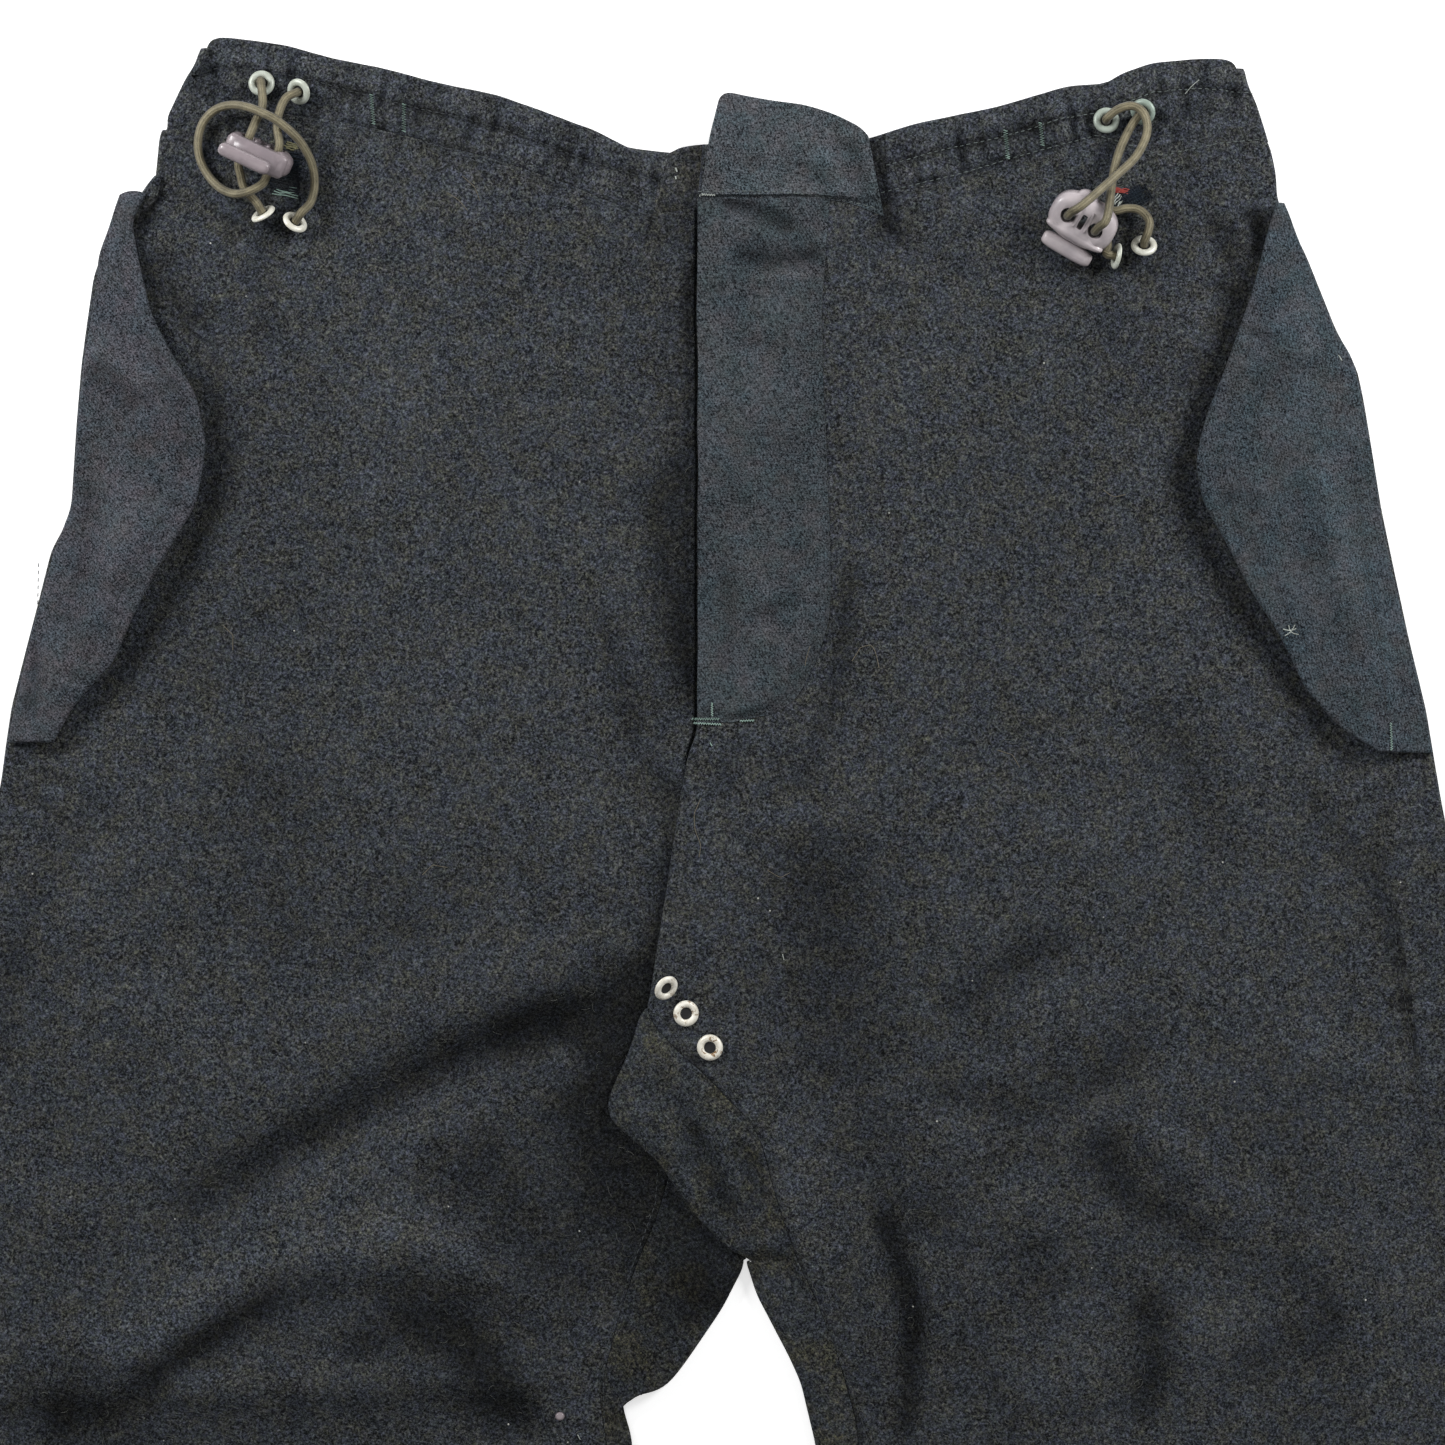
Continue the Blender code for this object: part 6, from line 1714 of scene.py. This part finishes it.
def newTree(name, inputs):
    tree = bpy.data.node_groups.new(name, "GeometryNodeTree")
    tree.interface.new_socket("Geometry", in_out="INPUT", socket_type="NodeSocketGeometry")
    sockets = {}
    for label, kind, value in inputs:
        socket = tree.interface.new_socket(label, in_out="INPUT", socket_type=kind)
        if value is not None:
            socket.default_value = value
        sockets[label] = socket.identifier
    tree.interface.new_socket("Geometry", in_out="OUTPUT", socket_type="NodeSocketGeometry")
    return tree, tree.nodes.new("NodeGroupInput"), tree.nodes.new("NodeGroupOutput"), sockets


def makeStitchTree():   # small rounded threads end to end along each edge of a mesh
    tree, given, out, sockets = newTree("stitchRow", [
        ("Pitch", "NodeSocketFloat", 0.003), ("Length", "NodeSocketFloat", 0.002),
        ("Width", "NodeSocketFloat", 0.0004),
        ("Height", "NodeSocketFloat", 0.0003), ("Seed", "NodeSocketInt", 1),
        ("Material", "NodeSocketMaterial", None)])
    curve = addNode(tree, "GeometryNodeMeshToCurve", {"Mesh": given.outputs["Geometry"]})
    points = addNode(tree, "GeometryNodeCurveToPoints",
                     {"Curve": curve.outputs[0], "Length": given.outputs["Pitch"]},
                     mode="LENGTH")
    along = addNode(tree, "FunctionNodeAlignRotationToVector", {"Vector": points.outputs["Tangent"]},
                    axis="X")
    sway = addNode(tree, "FunctionNodeRandomValue",
                   {"Min": (-0.05, -0.10, -0.12), "Max": (0.05, 0.10, 0.12),
                                                    "Seed": given.outputs["Seed"]},
                                                    data_type="FLOAT_VECTOR")
    turned = addNode(tree, "FunctionNodeRotateRotation",
                     {"Rotation": along.outputs[0], "Rotate By": sway.outputs[0]},
                     rotation_space="LOCAL")
    ball = addNode(tree, "GeometryNodeMeshUVSphere", {"Segments": 6, "Rings": 4, "Radius": 0.5})
    size = addNode(tree, "ShaderNodeCombineXYZ", {0: given.outputs["Length"], 1: given.outputs["Width"],
                                                  2: given.outputs["Height"]})
    placed = addNode(tree, "GeometryNodeInstanceOnPoints",
                     {"Points": points.outputs["Points"], "Instance": ball.outputs[0],
                                                            "Rotation": turned.outputs[0],
                                                            "Scale": size.outputs[0]})
    real = addNode(tree, "GeometryNodeRealizeInstances", {"Geometry": placed.outputs[0]})
    smooth = addNode(tree, "GeometryNodeSetShadeSmooth", {"Geometry": real.outputs[0]})
    painted = addNode(tree, "GeometryNodeSetMaterial",
                      {"Geometry": smooth.outputs[0], "Material": given.outputs["Material"]})
    tree.links.new(painted.outputs[0], out.inputs[0])
    return tree, sockets


def makeFuzzTree():   # loose fibres that lie on a cloth's upper face
    tree, given, out, sockets = newTree("looseFibres", [
        ("Fibre", "NodeSocketObject", None), ("Density", "NodeSocketFloat", 3000.0),
        ("Seed", "NodeSocketInt", 1),
        ("Material", "NodeSocketMaterial", None)])
    normal = tree.nodes.new("GeometryNodeInputNormal")
    apart = addNode(tree, "ShaderNodeSeparateXYZ", {0: normal.outputs[0]})
    upper = addNode(tree, "FunctionNodeCompare", {"A": apart.outputs[2], "B": 0.5},
                    operation="GREATER_THAN")
    spots = addNode(tree, "GeometryNodeDistributePointsOnFaces", {
        "Mesh": given.outputs["Geometry"], "Selection": upper.outputs[0],
        "Density": given.outputs["Density"],
        "Seed": given.outputs["Seed"]})
    spin = addNode(tree, "FunctionNodeRandomValue", {"Min": (-0.1, -0.1, 0.0), "Max": (0.1, 0.1, 6.28),
                                                    "Seed": given.outputs["Seed"]},
                                                    data_type="FLOAT_VECTOR")
    turned = addNode(tree, "FunctionNodeRotateRotation", {"Rotation": spots.outputs["Rotation"],
                                                         "Rotate By": spin.outputs[0]},
                                                         rotation_space="LOCAL")
    size = addNode(tree, "FunctionNodeRandomValue", {"Min": (0.35, 0.35, 0.6), "Max": (1.3, 1.6, 1.0),
                                                    "Seed": given.outputs["Seed"]},
                                                    data_type="FLOAT_VECTOR")
    fibre = addNode(tree, "GeometryNodeObjectInfo", {"Object": given.outputs["Fibre"]})
    placed = addNode(tree, "GeometryNodeInstanceOnPoints", {
        "Points": spots.outputs["Points"], "Instance": fibre.outputs["Geometry"],
        "Rotation": turned.outputs[0],
        "Scale": size.outputs[0]})
    real = addNode(tree, "GeometryNodeRealizeInstances", {"Geometry": placed.outputs[0]})
    painted = addNode(tree, "GeometryNodeSetMaterial",
                      {"Geometry": real.outputs[0], "Material": given.outputs["Material"]})
    tree.links.new(painted.outputs[0], out.inputs[0])
    return tree, sockets


def fromTree(name, source, tree, sockets, slot,
             **values):   # runs a tree on an object and keeps the plain mesh
    modifier = source.modifiers.new("tree", "NODES")
    modifier.node_group = tree
    for label, value in values.items():
        modifier[sockets[label]] = value
    made = bpy.data.meshes.new_from_object(source.evaluated_get(bpy.context.evaluated_depsgraph_get()))
    source.modifiers.remove(modifier)
    made.name = name
    thing = addObject(name, made)
    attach(thing, "root")
    print(f"{name}: {len(made.polygons)} faces")
    return thing


def onCloth(names, line, rise, spacing=1.0):   # a line of (across, down) points laid on the pieces named
    flat = resample(np.array([tuple(place(*point)) for point in line]), np.linspace(0, 1, 200))
    count = max(2, round(lengthOf(flat) / spacing))
    flat = resample(flat, np.linspace(0, 1, count + 1))[None]
    level = heightsUnder(flat, names)[0]
    line = flat[0]
    known = ~np.isnan(level)
    if not known.any():
        raise ValueError(f"no cloth under the line that starts at {line[0] / mm}")
    line[:, 2] = np.interp(np.arange(len(level)), np.nonzero(known)[0], level[known]) + rise * mm
    return line


def sewRows(name, rows, material):   # rows of stitches: each is a line already laid on its cloth
    vertices, joints = [], []
    for row in rows:
        start = len(vertices)
        vertices += row.tolist()
        joints += [(start + i, start + i + 1) for i in range(len(row) - 1)]
    mesh = bpy.data.meshes.new("rows_" + name)
    mesh.from_pydata(vertices, joints, [])
    guide = addObject("rows_" + name, mesh)
    thing = fromTree(name, guide, *stitchTree, "wool", Pitch=sewing["pitch"] * mm,
                     Length=sewing["stitchLength"] * mm,
                     Width=sewing["stitchWidth"] * mm, Height=sewing["stitchHeight"] * mm, Seed=5,
                     Material=finish[material])
    bpy.data.objects.remove(guide)
    return thing


def zigzag(line, width, count):   # a bartack's thread: tight crossings over a short line
    line = resample(line, np.linspace(0, 1, count))
    way = line[-1] - line[0]
    across = np.array((-way[1], way[0], 0)) / np.linalg.norm(way[:2])
    return line + across * (np.where(np.arange(count) % 2, 0.5, -0.5) * width * mm)[:, None]


stitchTree = makeStitchTree()
rows = {}
for name, settings in {**fronts, **sheets}.items():
    for sewn in settings.get("seams", []):
        if sewn["groove"] > 0:
            near = [name] + settings.get("rests", []) + [other for _, other, _,
                                                         _ in settings.get("meets", [])]
            rows.setdefault(sewn["thread"],
                            []).append(onCloth([n for n in near if n in pieces], sewn["line"],
                                               sewing["rise"]))
for material, lines in rows.items():
    sewRows("stitches_" + material, lines, material)

tacks = [   # from, to, width and thread
    ((-140.4, 38), (-139.4, 50), 1.3, "threadGreen"), ((-127.4, 41.6), (-127.4, 52.8), 1.4, "threadGreen"),
    ((113, 52.4), (114, 63.6), 1.5, "threadGreen"), ((127, 49.2), (128, 58.4), 1.4, "threadGreen"),
    ((-12.2, 287.6), (-1.4, 287.6), 0.7, "threadGreen"),
    ((-11.4, 289.2), (-0.6, 289.8), 0.6, "threadGreen"),
    ((-4.2, 281.2), (-4.2, 286.4), 0.5, "threadGreen"), ((7, 288.4), (12.6, 288.2), 0.5, "threadGreen"),
    ((266.6, 289.2), (266.9, 300), 0.7, "threadGreen"), ((-9, 78.4), (-3, 78.6), 0.5, "threadPale"),
]


def makeTacks():
    made = {}
    every = [name for name in pieces if not name.startswith(("hem", "back"))]
    for start, end, width, material in tacks:
        line = onCloth(every, [start, end], 0.35)
        vertices, faces = made.setdefault(material, ([], []))
        tube(zigzag(line, width, max(6, int(lengthOf(line) * 2.2))), sewing["tackRadius"] * mm, 4, vertices,
             faces)
    settleTubes("bartacks_", made)


makeTacks()

threads = [   # loose bits: material, radius and course
    ("hair", 0.15, (51.8, 264.4), (55.4, 258.8), (59.8, 258), (61.4, 261.6), (62.6, 267.2)),
    ("hair", 0.15, (-8.6, 319.2), (-11.4, 325.6), (-11, 332), (-8.6, 338), (-9.4, 342.8)),
    ("threadPale", 0.14, (185, 37.6), (187.6, 34.6), (190.6, 32)),
    ("hair", 0.12, (-110.2, 77.2), (-106, 79.6), (-101.8, 84.4)),
    ("hair", 0.13, (35, 258.4), (33.4, 263.6), (33, 266.4)),
    ("hair", 0.12, (-104, 70.6), (-99, 75), (-97, 80.4)), ("hair", 0.12, (18, 348), (23, 351), (27, 349)),
    ("threadPale", 0.3, (-18.8, 67.2), (-18.2, 68.8)), ("threadPale", 0.28, (-18.8, 70.6), (-18.6, 71.8)),
    ("threadPale", 0.22, (223.2, 251.8), (226, 252.6), (228.4, 251.6)),
    ("threadPale", 0.18, (224, 254.4), (226.4, 253), (228, 250)),
    ("threadPale", 0.18, (225.4, 250.2), (226.2, 253.2), (229.4, 254)),
    ("threadPale", 0.2, (246, 142.2), (247.4, 144.4)),
    ("threadGreen", 0.25, (-5, 297), (-4.2, 298.4)),
    ("threadPale", 0.2, (-172, 57.8), (-168.8, 59.2), (-166.4, 58.4)),
    ("hair", 0.14, (152, 196), (156, 199), (161, 198)),
    ("hair", 0.13, (-200, 250), (-196, 254), (-196, 260)),
    ("hair", 0.13, (110, 300), (116, 302), (119, 307)),
    ("hair", 0.13, (-120, 350), (-116, 346), (-110, 347)),
    ("threadPale", 0.16, (24, 381.6), (24.6, 384)), ("threadPale", 0.18, (-58, 574), (-57, 576)),
]


def makeThreads():
    made = {}
    every = [name for name in pieces if not name.startswith("hem")]
    for material, radius, *course in threads:
        line, _ = smoothRoute([Vector(point) for point in onCloth(every, course, radius, 2.0)], 0.0008)
        vertices, faces = made.setdefault(material, ([], []))
        tube(line, radius * mm, 4, vertices, faces)
    settleTubes("loose_", made)


makeThreads()


def makeFuzz():
    bow = [(-1.7, 0.25, 0.1), (-0.6, -0.1, 0.3), (0.6, -0.12, 0.3), (1.7, 0.3, 0.1)]
    vertices, faces = [], []
    tube(np.array(bow) * mm, sewing["hairRadius"] * mm, 3, vertices, faces)
    fibre = meshObject("fibre", vertices, faces, finish["hair"])
    turnOutwards(fibre.data)
    tree, sockets = makeFuzzTree()
    for node, density, seed in (("front_right", 9000.0, 3), ("front_left", 9000.0, 9),
                                ("gusset_fold", 9000.0, 5)):
        fromTree("fuzz_" + node, pieces[node], tree, sockets, "wool", Fibre=fibre, Density=density,
                 Seed=seed,
                 Material=finish["fuzz"])
    bpy.data.objects.remove(fibre)


makeFuzz()


# Hardware: eyelets, cord locks with their push buttons, the leg's stop and the frayed patches

ringProfile = [(2.4, -0.5), (2.4, 0.3), (2.55, 0.8), (2.9, 1.15), (3.45, 1.36), (4.15, 1.32), (4.75, 1.02),
               (5.15, 0.58),
               (5.25, 0.1), (5.1, -0.15), (4.5, -0.35), (3.3, -0.5)]   # radius and height in mm
ringLook = {   # rust spots and green tarnish
    "eyelet_crotch_1": (0.5, 0.0), "eyelet_crotch_2": (0.8, 0.0), "eyelet_crotch_3": (1.0, 0.0),
    "eyelet_left_1": (0.0, 0.75), "eyelet_left_2": (0.1, 0.9), "eyelet_left_3": (0.1, 0.5),
    "eyelet_left_4": (0.0, 0.25),
    "eyelet_right_1": (0.3, 0.6), "eyelet_right_2": (0.1, 0.6), "eyelet_right_3": (0.1, 0.15),
    "eyelet_right_4": (0.1, 0.15),
}


ringTurns = {"eyelet_crotch_1": (42, 322),
             "eyelet_crotch_2": (14, 350)}   # tilt and facing as the eye sees them


holeShadowLook = {"radius": 2.38, "levels": (0.08, 0.26), "sides": 16}   # a black disc inside each ring, painted shadow for the shaded cloth seen through it, in mm


def lathe(profile, count, turn, vertices, faces):   # turns a closed outline round the Z axis
    start, rows = len(vertices), len(profile)
    for step in range(count):
        angle = 2 * math.pi * step / count
        for radius, height in profile:
            vertices.append(tuple(turn @ (Vector((radius * math.cos(angle), radius * math.sin(angle),
                                                  height)) * mm)))
            here = start + step * rows + (len(vertices) - start - 1) % rows
            follow = start + step * rows + (here - start - step * rows + 1) % rows
            ahead = (step + 1) % count
            faces.append((here, follow, start + ahead * rows + (follow - start - step * rows),
                          start + ahead * rows + (here - start - step * rows)))


def makeEyelets():
    holes, holeShadowFaces = [], []
    for name, (stain, patina) in ringLook.items():
        vertices, faces = [], []
        turn = ringFrame(name)
        if name in ringTurns:
            turn = Matrix.Translation(turn.translation) @ tilted(*ringTurns[name])
        lathe(ringProfile, 40, turn, vertices, faces)
        thing = meshObject("ring_" + name, vertices, faces, finish["metal"])
        for label, amount in (("stain", stain), ("patina", patina)):
            layer = thing.data.attributes.new(label, "FLOAT", "POINT")
            layer.data.foreach_set("value", [amount] * len(vertices))
        settle(thing, "eyelet_metal", 60, name)
        # a black disc inside the ring: painted shadow
        start = len(holes)
        radius, sides = holeShadowLook["radius"], holeShadowLook["sides"]
        for level in holeShadowLook["levels"]:
            for i in range(sides):
                angle = 2 * math.pi * i / sides
                holes.append(tuple(turn @ (Vector((radius * math.cos(angle), radius * math.sin(angle),
                                                   level)) * mm)))
        for i in range(sides):
            follow = (i + 1) % sides
            holeShadowFaces.append((start + i, start + follow, start + sides + follow, start + sides + i))
        holeShadowFaces += [tuple(range(start + sides - 1, start - 1, -1)),
                      tuple(range(start + sides, start + 2 * sides))]
    settle(meshObject("eyelet_holes", holes, holeShadowFaces, finish["hole"]), "wool")


def plate(name, length, width, depth, edge, power=2.6, sides=48, at=(0, 0, 0)):   # rounded plate, in mm
    half, rings = depth / 2 - edge, []
    for degrees in (-90, -65, -40, -15, 15, 40, 65, 90):
        turn = math.radians(degrees)
        rings.append((edge * (1 - math.cos(turn)), math.copysign(half, degrees) + edge * math.sin(turn)))
    vertices, faces = [], []
    for inset, height in rings:
        for step in range(sides):
            angle = 2 * math.pi * step / sides
            x = math.copysign(abs(math.cos(angle)) ** (2 / power), math.cos(angle)) * (length / 2 - inset)
            y = math.copysign(abs(math.sin(angle)) ** (2 / power), math.sin(angle)) * (width / 2 - inset)
            vertices.append(((x + at[0]) * mm, (y + at[1]) * mm, (height + at[2]) * mm))
    for row in range(len(rings) - 1):
        for step in range(sides):
            follow = (step + 1) % sides
            faces.append((row * sides + step, row * sides + follow, (row + 1) * sides + follow,
                          (row + 1) * sides + step))
    faces += [tuple(range(sides))[::-1], tuple(range((len(rings) - 1) * sides, len(rings) * sides))]
    return meshObject(name, vertices, faces, finish["plasticRight"])


def carved(name, body, joined, cut):   # joins and cuts the body, and keeps it as one plain mesh
    for operation, tools in (("UNION", joined), ("DIFFERENCE", cut)):
        for tool in tools:
            step = body.modifiers.new(tool.name, "BOOLEAN")
            step.operation, step.object, step.solver = operation, tool, "EXACT"
    soft = body.modifiers.new("edges", "BEVEL")
    soft.width, soft.segments, soft.limit_method, soft.angle_limit = 0.35 * mm, 2, "ANGLE", math.radians(50)
    bpy.context.view_layer.update()
    mesh = bpy.data.meshes.new_from_object(body.evaluated_get(bpy.context.evaluated_depsgraph_get()))
    mesh.name = name
    for thing in (body, *joined, *cut):
        bpy.data.objects.remove(thing)
    return addObject(name, mesh)


def placeLock(thing, side, node):
    thing.data.transform(toggleFrame(side))
    # each lock takes its copy of the plastic, coloured lighter or darker as painted light and shade
    thing.data.materials[0] = finish["plastic" + side.title()]
    settle(thing, "cord_lock_plastic", 42, node)


def makeToggles():
    size, button = hardware["body"], hardware["button"]
    for side in ("right", "left"):
        body = plate("body", size["length"], size["width"], size["depth"], 3.4)
        joined = [plate("bump", 9, 7, 5.5, 2.2, 2.0, 24, (-3, size["width"] / 2 - 1.5, 0)),
                  plate("rim", size["length"] - 2.4, 5.0, size["depth"] + 0.5, 2.2, 2.4, 32,
                        (0, -size["width"] / 2 + 3.6, 0)),
                  plate("end", 10, 15, size["depth"] + 1.4, 4.6, 2.0, 32, (size["length"] / 2 - 5.2, 0, 0)),
                  plate("ribA", 1.7, 9.5, size["depth"] + 1.4, 0.7, 3.0, 16, (-2.5, 1.5, 0)),
                  plate("ribB", 1.7, 9.5, size["depth"] + 1.4, 0.7, 3.0, 16, (2.5, 1.5, 0))]
        cut = [plate("hole" + str(end), 2 * size["hole"] + 0.7, 2 * size["hole"] + 0.9, size["depth"] * 3,
                     0.1, 2.0, 24,
                     (end * half, 0, 0)) for end in (-1, 1)]
        cut.append(plate("slot", size["slot"][0] + 0.3, size["slot"][1] + 0.6, size["depth"] * 3, 0.1, 5.0,
                         16, (0, 0.4, 0)))
        cut.append(plate("groove", size["length"] * 2, 0.7, 30, 0.1, 8.0, 16,
                         (0, -size["width"] / 2 - 0.1, 0)))
        placeLock(carved("toggle_body_" + side, body, joined, cut), side, "toggle_" + side)
        across, high = button["shift"][side]
        level = -(size["width"] / 2 + button["width"] / 2 + button["gap"])
        push = plate("toggle_push_" + side, button["length"], button["width"], button["depth"], 2.3, 4.0,
                     40,
                     (across, level, high))
        placeLock(push, side, "toggle_button_" + side)


def makeStop():
    points = [v.co for v in nodes["leg_cord_stop"].data.vertices]
    centre = sum(points, Vector()) / len(points)
    thing = plate("leg_stop", 3.8, 3.4, 2.2, 0.9, 2.0, 24, tuple(centre / mm))
    settle(thing, "cord_lock_plastic", 42, "leg_cord_stop")


darns = [   # centre across and down, width, height, turn in degrees, strands, radius and material
    (-175.0, 68.4, 11.5, 15.0, 8, 17, 0.42, "patch"), (-174.6, 76.6, 9.0, 3.4, 10, 5, 0.22, "threadGreen"),
    (-172.4, 58.6, 4.2, 2.4, 20, 5, 0.3, "threadKhaki"), (164.6, 79.4, 8.8, 7.4, -30, 12, 0.4, "patch"),
    (159.2, 76.4, 5.6, 1.5, 6, 4, 0.26, "threadRed"), (158.6, 79.6, 4.6, 3.4, -50, 5, 0.22, "threadPale"),
    (167.6, 78.0, 6.0, 6.0, 60, 8, 0.2, "patch"),
]


def makeDarns():   # close rows of thick thread, uneven and frayed at their ends
    draw = random.Random(11)
    made = {}
    for across, down, width, height, degrees, strands, radius, material in darns:
        turn = math.radians(degrees)
        for number in range(strands):
            shift = (number / max(strands - 1, 1) - 0.5) * height
            left, right = -width / 2 - draw.uniform(-0.8, 1.2), width / 2 + draw.uniform(-0.8, 1.2)
            course = []
            for share in (0, 0.25, 0.5, 0.75, 1):
                x = left + (right - left) * share
                y = shift + draw.uniform(-0.35, 0.35)
                course.append((across + x * math.cos(turn) - y * math.sin(turn),
                               down + x * math.sin(turn) + y * math.cos(turn)))
            line = onCloth(["front_right", "front_left"], course, radius + draw.uniform(0, 0.4), 1.2)
            vertices, faces = made.setdefault(material, ([], []))
            tube(line, radius * mm, 5, vertices, faces)
    settleTubes("darn_", made)


makeEyelets()
makeToggles()
makeStop()
makeDarns()
print("hardware ready")
